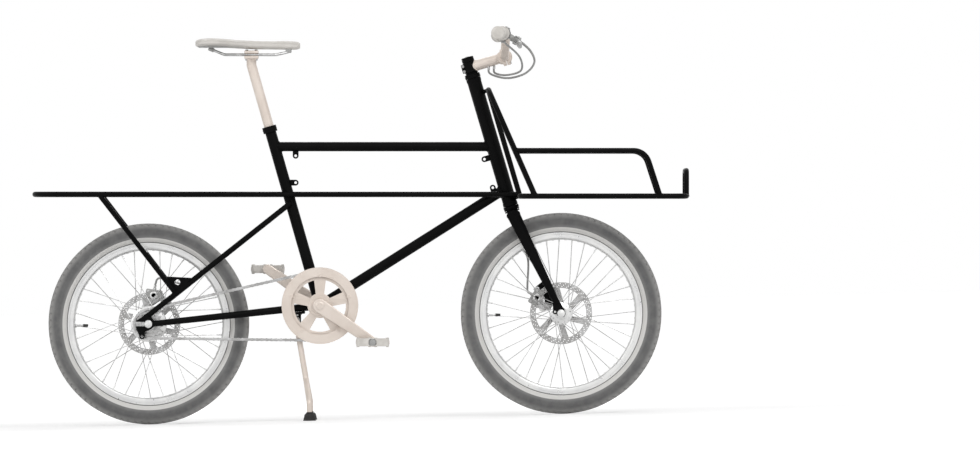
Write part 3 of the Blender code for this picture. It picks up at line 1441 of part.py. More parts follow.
def pedal_cutters(side, word):
    centre = crank_end(side) + Y * side * (PEDAL_INNER + PEDAL_WIDTH / 2)
    half = Y * PEDAL_WIDTH
    length = (PEDAL_LENGTH - PEDAL_SLEEVE_WIDTH) / 2 - PEDAL_RIM
    cutters = [
        cutter(
            word + "_pedal_bore",
            rod(centre - half, centre + half, bore(PEDAL_SPINDLE_RADIUS)),
            DRAWING,
        )
    ]
    for way in (1, -1):
        middle = centre + at(way * (PEDAL_SLEEVE_WIDTH + length) / 2, 0)
        size = (length, PEDAL_WIDTH - 2 * PEDAL_RIM, 2 * PEDAL_HEIGHT)
        cutters.append(cutter(word + "_pedal_window", box(middle, size), DRAWING))
    return cutters


def sprocket():
    """The rear chainwheel, on the right end of the hub."""
    outlines = [toothed(SPROCKET_TEETH), circle(0, 0, ROTOR_BORE - 0.002, 24)]
    return plate(outlines, TOOTH_THICKNESS, -CHAIN_LINE)


wheels = (("front", FRONT_WHEEL, FRONT_HUB, []), ("rear", REAR_WHEEL, REAR_HUB, [sprocket()]))
for word, wheel, sizes, extra in wheels:
    laced_hub = welded([hub(*sizes), spokes(*sizes[3:6]), *extra])
    node(word + "_tyre", tyre(), TYRE_RUBBER, wheel, drawn=False)
    node(word + "_rim", rim(), SILVER, wheel, drawn=False)
    node(word + "_hub", laced_hub, SILVER, wheel, drawn=False)
    node(word + "_rotor", rotor(sizes[0], sizes[6]), STEEL, wheel, drawn=False)

CRANK = empty("crank_axis", DRAWING)
LEFT_PEDAL = empty("left_pedal_axis", DRAWING, Matrix.Translation(crank_end(1)))
RIGHT_PEDAL = empty("right_pedal_axis", DRAWING, Matrix.Translation(crank_end(-1)))
CUT_SPINDLE = rod_cutter("spindle", -Y * 0.070, Y * 0.02, SPINDLE_RADIUS, DRAWING)
crank_parts = [crank_spindle(), crank_arm(1), crank_arm(-1), pedal_spindle(1), pedal_spindle(-1)]
node("chain", chain(), STEEL, DRAWING)
node("chainring", welded(chainring_parts()), PALE_ALLOY, CRANK, [CUT_SPINDLE])
node("cranks", welded(crank_parts), PALE_ALLOY, CRANK)
node("left_pedal", pedal(1), PALE_RUBBER, LEFT_PEDAL, pedal_cutters(1, "left"))
node("right_pedal", pedal(-1), PALE_RUBBER, RIGHT_PEDAL, pedal_cutters(-1, "right"))


# Brake calipers. The eyes of each are on the plate that holds the left end of the axle

def caliper_frame(axle, eyes):
    """The directions from the axle out to the caliper, and along it from eye to eye."""
    out = ((at(*eyes[0]) + at(*eyes[1])) / 2 - axle).normalized()
    return out, Y.cross(out)


def caliper(axle, eyes, rotor_y, plate_y):
    """A body that straddles the rotor's edge, on a flat adapter with two bolts."""
    out, run = caliper_frame(axle, eyes)
    turn = Matrix((run, Y, out)).transposed().to_4x4()
    inner_face = plate_y - DROPOUT_THICKNESS / 2 - GAP
    outer_face = plate_y + DROPOUT_THICKNESS / 2 + GAP
    body_inner = rotor_y - CALIPER_INSIDE - CALIPER_SLOT / 2
    middle = axle + out * (ROTOR_RADIUS + CALIPER_BRIDGE - CALIPER_REACH / 2)
    middle.y = (body_inner + inner_face) / 2
    adapter = tapered_bar(at(*eyes[0]), at(*eyes[1]), MOUNT_EAR_RADIUS, MOUNT_EAR_RADIUS, 6)
    adapter_y = inner_face - ADAPTER_THICKNESS / 2
    solids = [
        box(middle, (CALIPER_LENGTH, inner_face - body_inner - 0.0006, CALIPER_REACH), turn),
        plate([adapter], ADAPTER_THICKNESS, adapter_y),
    ]
    depth = outer_face - inner_face + ADAPTER_THICKNESS / 2
    profile = [(0, 0.004), (MOUNT_BOLT_HEAD, 0.004), (MOUNT_BOLT_HEAD, 0)]
    profile += [(MOUNT_BOLT_RADIUS, 0), (MOUNT_BOLT_RADIUS, -depth), (0, -depth)]
    for place in eyes:
        solids.append(turned(profile, at(*place) + Y * outer_face, Y, 12))
    return welded(solids)


def caliper_slot(name, axle, eyes, rotor_y):
    """The slot that the rotor runs in, open towards the axle."""
    out, run = caliper_frame(axle, eyes)
    turn = Matrix((run, Y, out)).transposed().to_4x4()
    middle = axle + out * (ROTOR_RADIUS + 0.0015 - CALIPER_REACH / 2) + Y * rotor_y
    return cutter(name, box(middle, (CALIPER_LENGTH * 1.2, CALIPER_SLOT, CALIPER_REACH), turn), DRAWING)


def hose_port(axle, eyes, rotor_y):
    """Where the hose meets the caliper's outer face."""
    out, run = caliper_frame(axle, eyes)
    return axle + out * (ROTOR_RADIUS + CALIPER_BRIDGE + 0.001) + Y * (rotor_y - 0.0085), out


def rear_hose():
    """From inside the left seatstay to the rear caliper."""
    port, out = hose_port(REAR_AXLE, REAR_BRAKE_EYES, REAR_ROTOR_Y)
    run = (stay_start(1) - stay_end(1)).normalized()
    inside = -Y * (SEATSTAY_RADIUS + HOSE_RADIUS + GAP + 0.0005)
    stay = [stay_end(1) + run * length + inside for length in REAR_HOSE_STEPS]
    points = [port, port + out * 0.014, port + out * 0.026 + at(0.012, 0.003), *stay]
    return hose(points)


def front_hose():
    """From behind the left fork blade to the front caliper."""
    port, out = hose_port(FRONT_AXLE, FRONT_BRAKE_EYES, FRONT_ROTOR_Y)
    foot = BLADE_FOOT + Y * FRONT_DROPOUT_Y
    top = CROWN + Y * BLADE_TOP_OFFSET
    points = [port, port + out * 0.012, port + out * 0.018 + at(0.004, 0.014)]
    for share in (0.52, 0.66, 0.80):
        depth = (BLADE_TIP_DEPTH + (BLADE_TOP_DEPTH - BLADE_TIP_DEPTH) * share) / 2
        points.append(foot + (top - foot) * share + BLADE_REAR * (depth + HOSE_RADIUS + 0.0018))
    return hose(points)


FRONT_ROTOR_Y = FRONT_HUB_LENGTH / 2 - FRONT_ROTOR_INSET
REAR_ROTOR_Y = REAR_HUB_LENGTH / 2 - REAR_ROTOR_INSET
FRONT_BRAKE = (FRONT_AXLE, FRONT_BRAKE_EYES, FRONT_ROTOR_Y)
REAR_BRAKE = (REAR_AXLE, REAR_BRAKE_EYES, REAR_ROTOR_Y)
CUT_FRONT_SLOT = caliper_slot("front_caliper", *FRONT_BRAKE)
CUT_REAR_SLOT = caliper_slot("rear_caliper", *REAR_BRAKE)
front_caliper = caliper(*FRONT_BRAKE, FRONT_DROPOUT_Y)
rear_caliper = caliper(*REAR_BRAKE, REAR_DROPOUT_Y)
node("front_caliper", front_caliper, GREY_PLASTIC, STEERING, [CUT_FRONT_SLOT])
node("rear_caliper", rear_caliper, GREY_PLASTIC, DRAWING, [CUT_REAR_SLOT])
left_hose, right_hose, gear_cable = bar_hoses()
node("left_brake_hose", left_hose, GREY_PLASTIC, STEERING)
node("right_brake_hose", right_hose, GREY_PLASTIC, STEERING)
node("gear_cable", gear_cable, GREY_PLASTIC, STEERING)
node("front_caliper_hose", front_hose(), GREY_PLASTIC, STEERING)
node("rear_caliper_hose", rear_hose(), GREY_PLASTIC, DRAWING)


# Saddle and post

RAILS_HEIGHT = SADDLE_HEIGHT - SADDLE_DEPTH - SADDLE_RAIL_DROP
CLAMP_PLATE = (0.036, 2 * SADDLE_RAIL_OFFSET + 0.012, 0.007)


def seatpost():
    """The post, and its two clamp plates with the saddle's rails between them."""
    below = RAILS_HEIGHT - SADDLE_RAIL_RADIUS - GAP - CLAMP_PLATE[2] / 2
    above = RAILS_HEIGHT + SADDLE_RAIL_RADIUS + GAP + CLAMP_PLATE[2] / 2
    top = seat_axis(below - CLAMP_PLATE[2] / 2 - 0.016)
    head = at(top.x, below)
    post = rounded([SEAT_TOP - SEAT_UP * POST_INSERT, top, head], 0.020)
    return welded(
        [
            bent_tube(post, POST_RADIUS),
            box(head, CLAMP_PLATE),
            rod(head, at(top.x, above), 0.0045, sides=12),
            box(at(top.x, above), CLAMP_PLATE),
        ]
    )


def saddle_rails():
    """One rod, bent round under the nose, whose two arms the clamp holds."""
    under = SADDLE_HEIGHT - SADDLE_DEPTH - GAP
    arm = [
        at(-SADDLE_BACK + 0.040, under - SADDLE_RAIL_RADIUS, SADDLE_RAIL_OFFSET + 0.006),
        at(-SADDLE_BACK + 0.075, RAILS_HEIGHT, SADDLE_RAIL_OFFSET),
        at(-SADDLE_NOSE_BACK - 0.062, RAILS_HEIGHT, SADDLE_RAIL_OFFSET),
        at(-SADDLE_NOSE_BACK - 0.032, under - 0.0110, 0.009),
    ]
    corners = arm + [mirrored(point) for point in reversed(arm)]
    radii = [0, 0.018, 0.018, 0.006, 0.006, 0.018, 0.018, 0]
    return bent_tube(rounded(corners, radii), SADDLE_RAIL_RADIUS)


def saddle():
    """A wide rear that narrows to the nose, from sections along its length."""
    length = SADDLE_BACK - SADDLE_NOSE_BACK
    sections = [  # share of the length, of the width and of the depth, and drop of the top
        (0.000, 0.42, 0.45, 0.0080),
        (0.018, 0.70, 0.80, 0.0040),
        (0.060, 0.93, 1.00, 0.0012),
        (0.140, 1.00, 1.00, 0.0000),
        (0.250, 0.97, 1.00, 0.0010),
        (0.370, 0.78, 1.00, 0.0030),
        (0.500, 0.53, 1.00, 0.0048),
        (0.640, 0.36, 1.00, 0.0058),
        (0.790, 0.28, 1.00, 0.0062),
        (0.920, 0.25, 1.00, 0.0070),
        (0.980, 0.20, 0.85, 0.0090),
        (1.000, 0.11, 0.50, 0.0130),
    ]
    bm = bmesh.new()
    rings = []
    for share, breadth, depth, drop in sections:
        half_width = breadth * SADDLE_WIDTH / 2
        half_depth = depth * SADDLE_DEPTH / 2
        middle = at(-SADDLE_BACK + share * length, SADDLE_HEIGHT - drop - half_depth)
        ring = []
        for k in range(16):
            c = cos(2 * pi * k / 16)
            s = sin(2 * pi * k / 16)
            y = half_width * abs(c) ** 0.75 * (1 if c > 0 else -1)
            z = half_depth * abs(s) ** 0.75 * (1 if s > 0 else -1)
            ring.append(bm.verts.new(middle + at(0, z, y)))
        rings.append(ring)
    for a, b in zip(rings, rings[1:]):
        for i in range(16):
            j = (i + 1) % 16
            bm.faces.new((a[i], a[j], b[j], b[i]))
    bm.faces.new(rings[0])
    bm.faces.new(rings[-1])
    return mesh_from(bm)


SEAT = empty("seat_axis", DRAWING, Matrix.Translation(SEAT_TOP))
clamp_foot = SEAT_TOP - SEAT_UP * SEAT_CLAMP_HEIGHT
seat_clamp = sleeve(
    SEAT_RADIUS + SEAT_CLAMP_WALL, SEAT_RADIUS, SEAT_CLAMP_HEIGHT, clamp_foot, SEAT_UP
)
node("seat_clamp", seat_clamp, BLACK_PAINT, DRAWING)
node("seatpost", seatpost(), PALE_ALLOY, SEAT)
node("saddle_rails", saddle_rails(), STEEL, SEAT)
node("saddle", saddle(), SADDLE_COVER, SEAT)


# Centre stand

STAND_PIVOT = at(-STAND_PIVOT_BACK, -STAND_PIVOT_DROP)
PLACED = DRAWING.matrix_local.copy()


def on_ground(x, y, height):
    """A point over the ground, in the drawing's coordinates."""
    return PLACED.inverted() @ Vector((x, y, height))


def stand_bracket():
    """A plate welded under the chainstays, and the lug below it that holds the stand's tube."""
    slope = atan2(CHAINSTAY_FOOT.z, CHAINSTAY_FOOT.x) + pi
    front = STAND_PIVOT_BACK - STAND_BRACKET_LENGTH / 2
    share = front / -CHAINSTAY_FOOT.x
    stay = CHAINSTAY_RADIUS + (CHAINSTAY_TIP_RADIUS - CHAINSTAY_RADIUS) * share
    down = at(sin(slope), -cos(slope))
    on_stay = CHAINSTAY_FOOT * (STAND_PIVOT_BACK / -CHAINSTAY_FOOT.x)
    centre = on_stay + down * (stay + GAP + STAND_BRACKET_THICKNESS / 2)
    size = (STAND_BRACKET_LENGTH, 2 * CHAINSTAY_BB_OFFSET + 0.030, STAND_BRACKET_THICKNESS)
    turn = Matrix.Rotation(-slope, 4, "Y")
    half = STAND_LUG_LENGTH / 2
    x = STAND_PIVOT.x
    outline = [(x + half, centre.z), (x - half, centre.z)]
    outline += arc(x, STAND_PIVOT.z, half, 180, 360, 10)
    hole = circle(x, STAND_PIVOT.z, bore(STAND_TUBE_RADIUS), ROUND)
    return welded([box(centre, size, turn), plate([outline, hole], STAND_LUG_WIDTH, 0)])


def stand():
    """One tube from foot to foot through the bracket's lug, and a rubber foot on each leg."""
    foot_x = (PLACED @ STAND_PIVOT).x + STAND_FOOT_AHEAD
    top = on_ground(foot_x, STAND_SPREAD, STAND_FOOT_HEIGHT * 0.7)
    ankle = on_ground(foot_x, STAND_SPREAD, STAND_FOOT_HEIGHT + STAND_ANKLE_HEIGHT)
    shoulder = STAND_PIVOT + Y * STAND_LEG_OFFSET
    down = at((ankle - STAND_PIVOT).x, (ankle - STAND_PIVOT).z)
    knee = shoulder + down * STAND_KNEE_SHARE
    half = [top, ankle, knee, shoulder]
    corners = half + [mirrored(point) for point in reversed(half)]
    solids = [bent_tube(rounded(corners, STAND_BEND_RADIUS), STAND_TUBE_RADIUS)]
    for side in (1, -1):
        floor = on_ground(foot_x, side * STAND_SPREAD, 0)
        lift = on_ground(foot_x, side * STAND_SPREAD, STAND_FOOT_HEIGHT)
        solids.append(rod(floor, lift, STAND_FOOT_RADIUS, STAND_FOOT_RADIUS * 0.75, sides=20))
    return welded(solids)


STAND = empty("stand_axis", DRAWING, Matrix.Translation(STAND_PIVOT))
node("stand_bracket", stand_bracket(), BLACK_PAINT, DRAWING)
node("centre_stand", stand(), PALE_ALLOY, STAND)


def stand_on_origin():
    """Moves the bike so that the middle of its bounds is over the zero point of the floor."""
    bpy.context.view_layer.update()
    graph = bpy.context.evaluated_depsgraph_get()
    points = []
    for obj in BIKE.objects:
        if obj.type == "MESH":
            shape = obj.evaluated_get(graph)
            points += [shape.matrix_world @ vertex.co for vertex in shape.data.vertices]
    for axis, place in ((0, 0.5), (1, 0.5), (2, 0.0)):
        low = min(point[axis] for point in points)
        high = max(point[axis] for point in points)
        DRAWING.location[axis] -= low + (high - low) * place


stand_on_origin()
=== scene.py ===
"""Dresses the cargo bike's solids with fine tubes, welds, treaded tyres, laced spokes, a chain of
separate links, a sewn saddle and painted, bare and moulded finishes, in a plain pale studio.

The bike is modelled in its own plane, as its maker would draw it: the bottom bracket is the zero
point, +X is forward, +Z is up and the side rails are level. Each finished piece is then pitched a
little, onto the two tyres. +Y is the rider's left.
"""

import json
from math import acos, asin, atan2, ceil, cos, pi, radians, sin, tan

import bmesh
import bpy
from mathutils import Matrix, Vector


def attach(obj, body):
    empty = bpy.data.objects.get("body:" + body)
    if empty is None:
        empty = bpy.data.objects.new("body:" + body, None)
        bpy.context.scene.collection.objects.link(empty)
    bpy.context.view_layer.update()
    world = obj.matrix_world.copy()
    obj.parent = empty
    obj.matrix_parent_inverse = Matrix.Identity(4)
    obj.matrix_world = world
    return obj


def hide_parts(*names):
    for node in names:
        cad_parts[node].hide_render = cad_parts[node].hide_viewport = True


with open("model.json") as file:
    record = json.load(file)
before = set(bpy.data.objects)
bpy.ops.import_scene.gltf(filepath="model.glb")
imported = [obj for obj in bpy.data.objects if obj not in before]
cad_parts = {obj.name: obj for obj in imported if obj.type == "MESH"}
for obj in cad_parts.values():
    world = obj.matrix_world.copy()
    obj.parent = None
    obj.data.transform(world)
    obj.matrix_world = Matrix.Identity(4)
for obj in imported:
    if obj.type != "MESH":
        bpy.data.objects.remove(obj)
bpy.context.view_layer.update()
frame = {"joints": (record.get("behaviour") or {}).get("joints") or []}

JOINTS = {joint["name"]: joint for joint in frame["joints"]}

# Wheels, in metres as everywhere
TYRE_RADIUS = 0.258
TYRE_WIDTH = 0.055
BEAD_SEAT_RADIUS = 0.203
RIM_FLANGE_HEIGHT = 0.006
RIM_WIDTH = 0.032
RIM_DEPTH = 0.014
RIM_WALL = 0.003
BAND_INNER = 0.2105  # the pale reflective band on each sidewall
BAND_OUTER = 0.2215
RING_PITCH = 0.0022  # of the fine rings moulded beside it
TREAD_PITCHES = 90
TREAD_DEPTH = 0.0014
TREAD_INNER = TYRE_RADIUS - 0.0085
TREAD_LINES = (0.0035, 0.0062, 0.0080, 0.0235)  # from the tyre's middle outwards
TREAD_SLANT = 28
SPOKE_COUNT = 36
SPOKE_RADIUS = 0.001
SPOKE_LEAN = radians(40)
FLANGE_THICKNESS = 0.003
FRONT_HUB_LENGTH = 0.100
REAR_HUB_LENGTH = 0.135
AXLE_OVERHANG = 0.019
LOCKNUT_LENGTH = 0.005

# Brakes
ROTOR_RADIUS = 0.080
ROTOR_TRACK = 0.015
ROTOR_THICKNESS = 0.0018
ROTOR_ARMS = 6
ROTOR_HOLE_ROWS = ((0.0, 0.0765), (0.33, 0.0725), (0.66, 0.0685))  # share of a step, radius
ROTOR_HOLES_IN_ROW = 36
ROTOR_HOLE_RADIUS = 0.00135
ROTOR_BOLT_CIRCLE = 0.0212
FRONT_ROTOR_INSET = 0.0105
REAR_ROTOR_INSET = 0.0153

# Frame, measured from the bottom bracket
REAR_AXLE_BACK = 0.4402
REAR_AXLE_DROP = 0.0470
SEAT_TUBE_LEAN = radians(15.94)
SEAT_TUBE_LENGTH = 0.479
SEAT_RADIUS = 0.0143
HEAD_LEAN = radians(16.39)
HEAD_BOTTOM_AHEAD = 0.4932
HEAD_BOTTOM_HEIGHT = 0.2454
HEAD_LENGTH = 0.365
HEAD_RADIUS = 0.0182
HEADSET_CUP_HEIGHT = 0.012
HEADSET_CUP_RADIUS = 0.020
TOP_TUBE_HEIGHT = 0.4086
TOP_TUBE_RADIUS = 0.0121
DOWN_TUBE_RADIUS = 0.0131
DOWN_TUBE_HEAD_UP = 0.058
BB_RADIUS = 0.020
BB_HALF_WIDTH = 0.034
BB_CUP_FLANGE = 0.004
CHAINSTAY_RADIUS = 0.010
CHAINSTAY_TIP_RADIUS = 0.0075
CHAINSTAY_BB_OFFSET = 0.024
SEATSTAY_RADIUS = 0.007
SEATSTAY_TOP_OFFSET = 0.013
SEATSTAY_TOP_HEIGHT = 0.2640
DROPOUT_THICKNESS = 0.006
EAR_RADIUS = 0.0075

# Rails, rear rack and front deck
RAIL_HEIGHT = 0.2858
RAIL_RADIUS = 0.0070
RACK_TAIL_BACK = 0.7310
RACK_HALF_WIDTH = 0.120
RACK_CORNER_RADIUS = 0.055
RACK_FRONT_BACK = 0.235
RACK_BAR_RADIUS = 0.006
RACK_BAR_COUNT = 4
STRUT_RADIUS = 0.0065
STRUT_TOP_BACK = 0.5657
STRUT_ALONG_STAY = 0.0855
GUSSET_THICKNESS = 0.004
GUSSET_HOLE_RADIUS = 0.0075
DECK_HEIGHT = 0.2814
DECK_TUBE_RADIUS = 0.0067
DECK_BACK_AHEAD = 0.5135
DECK_NOSE_AHEAD = 0.9398
DECK_HALF_WIDTH = 0.200
DECK_CORNER_RADIUS = 0.032
DECK_SLAT_COUNT = 7
DECK_SLAT_RADIUS = 0.0055
LIP_HEIGHT = 0.0655
LIP_HALF_WIDTH = 0.150
LIP_CORNER_RADIUS = 0.030
BACKREST_TOP_HEIGHT = 0.5535
BACKREST_FOOT_AHEAD = 0.5526
BACKREST_CORNER_RADIUS = 0.060
BACKREST_TOP_AHEAD = 0.4328
BACKREST_STRUT_OFFSET = 0.062
BRACKET_RADIUS = 0.005
SIDE_RAIL_HEIGHT = 0.3978
SIDE_RAIL_FOOT_AHEAD = 0.8717
SIDE_RAIL_SLOPE = radians(18.0)
SIDE_RAIL_BEND = 0.041
SIGN_TAB_RADIUS = 0.0076
SIGN_TAB_HOLE = 0.0034
SIGN_TAB_REACH = 0.013
SIGN_TAB_THICKNESS = 0.004
SIGN_TOP_DROP = 0.0235
SIGN_LOW_HEIGHT = 0.316
BEAD_SHARE = 0.13  # of the radius of the tube that it runs round
BEAD_LEAST = 0.0008
BEAD_LIFT = 0.25  # share of the bead's radius that its middle stands off the tube
BEAD_POINTS = 56
RIPPLE_POINTS = 4
RIPPLE = 0.16

# Fork
FORK_LENGTH = 0.290
FORK_RAKE = 0.0463
BLADE_TOP_DEPTH = 0.034
BLADE_TIP_DEPTH = 0.0165
BLADE_FLATNESS = 0.68
BLADE_TOP_OFFSET = 0.047
BLADE_TIP_HEIGHT = 0.028
CROWN_HEIGHT = 0.024
CROWN_DEPTH = 0.036
STEERER_RADIUS = 0.0143
STEERER_EXPOSED = 0.041

# Stem, bar and controls
STEM_REACH = 0.0930
STEM_RISE = 0.0175
STEM_COLLAR_RADIUS = 0.0190
STEM_COLLAR_HEIGHT = 0.030
STEM_ARM_RADIUS = 0.0135
STEM_CLAMP_RADIUS = 0.0195
STEM_CLAMP_WIDTH = 0.044
BAR_RADIUS = 0.0111
BAR_HALF_WIDTH = 0.310
BAR_RISE = 0.0589
BAR_KNEE_OUT = 0.108
BAR_SWEEP_BACK = 0.021
BAR_BEND_RADIUS = 0.040
GRIP_RADIUS = 0.0165
GRIP_FLANGE_RADIUS = 0.0185
GRIP_LENGTH = 0.118
SHIFTER_LENGTH = 0.034
SHIFTER_RADIUS = 0.0185
LEVER_MOUNT_OUT = 0.138
LEVER_MOUNT_WIDTH = 0.016
LEVER_DROP = radians(28)
LEVER_PIVOT_REACH = 0.034
LEVER_LENGTH = 0.115
LEVER_SPREAD = 0.020
LEVER_RADIUS = 0.0052
MASTER_RADIUS = 0.0085
MASTER_LENGTH = 0.052
HOSE_RADIUS = 0.0026
GAP = 0.0003

# Calipers
CALIPER_LENGTH = 0.043
ADAPTER_THICKNESS = 0.007
CALIPER_INSIDE = 0.013
CALIPER_BRIDGE = 0.009
CALIPER_REACH = 0.024
CALIPER_SLOT = 0.0036
MOUNT_BOLT_HEAD = 0.005
MOUNT_BOLT_RADIUS = 0.003
MOUNT_EAR_RADIUS = 0.0075
REAR_HOSE_STEPS = (0.120, 0.150, 0.180)  # up the seatstay

# Saddle and post
POST_RADIUS = 0.0127
POST_INSERT = 0.160
SADDLE_HEIGHT = 0.6866
SADDLE_BACK = 0.3205
SADDLE_NOSE_BACK = 0.0511
SADDLE_WIDTH = 0.152
SADDLE_DEPTH = 0.024
SADDLE_RAIL_RADIUS = 0.0035
SADDLE_RAIL_OFFSET = 0.022
SADDLE_RAIL_DROP = 0.018
CHANNEL_DEPTH = 0.0026
CHANNEL_WIDTH = 0.011
SEAT_RISE = 0.0012  # where the bones rest, on each side of the channel
SEAT_OFFSET = 0.040
SEAT_WIDTH = 0.018

# Drive
CHAIN_PITCH = 0.0127
CHAINRING_TEETH = 44
SPROCKET_TEETH = 18
CHAIN_LINE = 0.050
CHAIN_WIDTH = 0.0084
LINK_RADIUS = 0.0042
LINK_WAIST = 0.0033
LINK_THICKNESS = 0.0010
LINK_OFFSETS = (0.0036, 0.0025)  # of the outer and the inner links' plates
PIN_RADIUS = 0.0018
PIN_REACH = 0.0042
ROLLER_RADIUS = 0.0038
ROLLER_REACH = 0.0019
TOOTH_THICKNESS = 0.0022
GUARD_RADIUS = 0.0985
GUARD_WIDTH = 0.0245
GUARD_THICKNESS = 0.0022
CRANK_LENGTH = 0.165
CRANK_ANGLE = radians(-34.5)
CRANK_INNER = 0.060
CRANK_THICKNESS = 0.013
CRANK_BIG_END = 0.018
CRANK_SMALL_END = 0.0125
PEDAL_LENGTH = 0.087
PEDAL_WIDTH = 0.092
PEDAL_HEIGHT = 0.0245
PEDAL_SPINDLE_RADIUS = 0.006
PEDAL_SLEEVE_WIDTH = 0.028
PEDAL_RIM = 0.008
STUD_PITCH = 0.0076
STUD_HEIGHT = PEDAL_HEIGHT / 2 - 0.0018
SPINDLE_RADIUS = 0.012
SPIDER_WINDOWS = 5
SPIDER_BOLT_CIRCLE = 0.0785

# Centre stand
STAND_PIVOT_BACK = 0.062
STAND_PIVOT_DROP = 0.038
STAND_LEG_OFFSET = 0.0365
STAND_KNEE_SHARE = 0.72
STAND_ANKLE_HEIGHT = 0.030
STAND_SPREAD = 0.118
STAND_FOOT_AHEAD = 0.030
STAND_TUBE_RADIUS = 0.007
STAND_BEND_RADIUS = 0.016
STAND_FOOT_RADIUS = 0.017
STAND_FOOT_HEIGHT = 0.018
STAND_BRACKET_LENGTH = 0.044
STAND_BRACKET_THICKNESS = 0.006
STAND_LUG_WIDTH = 0.032
STAND_LUG_LENGTH = 0.026

# Studio, and the camera as the photograph's: far off, level and square to the bike's side
CAMERA_LENS = 600.0
CAMERA_SENSOR = 36.0
VIEW_MIDDLE = (0.4366, 0.2059)  # in the bike's own plane
VIEW_WIDTH = 2.519
FLOOR_LIFT = (0.13, 0.52)  # under the bike, and far from it
FLOOR_REACH = (0.9, 3.2)
FLOOR_SIZE = 120
FLOOR_DROP = 0.0005  # below the tyres, so that the two don't lie in one plane
SKY_LIGHT = 0.55
WHITE = (1, 1, 1, 1)
LAMP_TARGET = Vector((0, 0, 0.5))
LAMPS = (  # name, place, size and power
    ("key", (1.6, -3.2, 3.4), 2.2, 75),
    ("fill", (-3.0, -2.2, 2.2), 2.6, 32),
    ("back", (0.5, 3.4, 2.6), 2.4, 45),
)


# The bike's own plane, and the places that its pieces share

def at(x, z, y=0.0):
    return Vector((x, y, z))


def joint_place(name):
    return Vector(JOINTS[name]["pos_m"])


def mirrored(point):
    return Vector((point.x, -point.y, point.z))


Y = Vector((0, 1, 0))
ZERO = Vector((0, 0, 0))
PITCH = HEAD_LEAN - asin(-Vector(JOINTS["steering"]["axis"]).normalized().x)
PITCHED = Matrix.Rotation(PITCH, 4, "Y")
DRAWN = Matrix.Translation(joint_place("crank_spin")) @ PITCHED
REAR_AXLE = at(-REAR_AXLE_BACK, -REAR_AXLE_DROP)
HEAD_UP = at(-sin(HEAD_LEAN), cos(HEAD_LEAN))
HEAD_FORWARD = at(cos(HEAD_LEAN), sin(HEAD_LEAN))
HEAD_BOTTOM = at(HEAD_BOTTOM_AHEAD, HEAD_BOTTOM_HEIGHT)
HEAD_TOP = HEAD_BOTTOM + HEAD_UP * HEAD_LENGTH
FRONT_AXLE = HEAD_BOTTOM - HEAD_UP * FORK_LENGTH + HEAD_FORWARD * FORK_RAKE
SEAT_UP = at(-sin(SEAT_TUBE_LEAN), cos(SEAT_TUBE_LEAN))
SEAT_TOP = SEAT_UP * SEAT_TUBE_LENGTH
REAR_DROPOUT_Y = REAR_HUB_LENGTH / 2 + DROPOUT_THICKNESS / 2
FRONT_DROPOUT_Y = FRONT_HUB_LENGTH / 2 + DROPOUT_THICKNESS / 2
SIDES = (("left", 1), ("right", -1))


def seat_axis(height):
    return SEAT_UP * (height / SEAT_UP.z)


def head_axis(height):
    return HEAD_BOTTOM + HEAD_UP * ((height - HEAD_BOTTOM.z) / HEAD_UP.z)


# Working by hand: what is selected, edited and joined

def alone(piece):
    """Only this piece selected, and active."""
    bpy.ops.object.select_all(action="DESELECT")
    piece.select_set(True)
    bpy.context.view_layer.objects.active = piece
    return piece


def edit(piece):
    alone(piece)
    bpy.ops.object.mode_set(mode="EDIT")
    bpy.ops.mesh.select_all(action="SELECT")


def leave_edit():
    bpy.ops.object.mode_set(mode="OBJECT")


def faces_where(piece, test):
    """Selects, in edit mode, the faces whose middle passes the test."""
    edit(piece)
    bpy.ops.mesh.select_mode(type="FACE")
    bpy.ops.mesh.select_all(action="DESELECT")
    bm = bmesh.from_edit_mesh(piece.data)
    for face in bm.faces:
        face.select_set(test(face.calc_center_median()))
    bm.select_flush(True)
    bmesh.update_edit_mesh(piece.data)


def joined(pieces):
    """Several loose shapes as one piece."""
    bpy.ops.object.select_all(action="DESELECT")
    for piece in pieces:
        piece.select_set(True)
    bpy.context.view_layer.objects.active = pieces[0]
    if len(pieces) > 1:
        bpy.ops.object.join()
    return pieces[0]


def copied(piece, place):
    """A copy with its own mesh, moved as place says."""
    twin = piece.copy()
    twin.data = piece.data.copy()
    twin.data.transform(place)
    bpy.context.scene.collection.objects.link(twin)
    return twin


def settled(piece):
    """The piece's place put into its mesh."""
    alone(piece)
    bpy.ops.object.transform_apply(location=True, rotation=True, scale=True)
    return piece


def outward(piece):
    """Doubles merged, and all faces pointing out."""
    edit(piece)
    bpy.ops.mesh.remove_doubles(threshold=0.00001)
    bpy.ops.mesh.normals_make_consistent(inside=False)
    leave_edit()
    return piece


def softened(piece, width=0.0008, segments=2, angle=35):
    """Edges sharper than the angle rounded off."""
    alone(piece)
    bevel = piece.modifiers.new("eased_edges", "BEVEL")
    bevel.width = width
    bevel.segments = segments
    bevel.limit_method = "ANGLE"
    bevel.angle_limit = radians(angle)
    bpy.ops.object.modifier_apply(modifier=bevel.name)
    return piece


def cut_away(piece, cutter):
    """The cutter's shape taken out of the piece."""
    alone(piece)
    cut = piece.modifiers.new("cut", "BOOLEAN")
    cut.operation = "DIFFERENCE"
    cut.object = cutter
    bpy.ops.object.modifier_apply(modifier=cut.name)
    bpy.data.objects.remove(cutter)
    return piece


def sliced(piece, centre, size, turn):
    """The piece with a thin or square-edged slot cut through it."""
    return cut_away(piece, block(centre, size, turn, 0.0001, 1))


# Shapes

def axes(x, y, z):
    """The rotation that takes the axes along three directions."""
    return Matrix((x, y, z)).transposed().to_4x4()


def turned_to(direction, across=Y):
    """The rotation that takes +Z along a direction and +Y as near as can be to another."""
    z = direction.normalized()
    if abs(z.dot(across.normalized())) > 0.999:
        across = Vector((1, 0, 0))
    y = (across - z * across.dot(z)).normalized()
    return axes(y.cross(z), y, z)


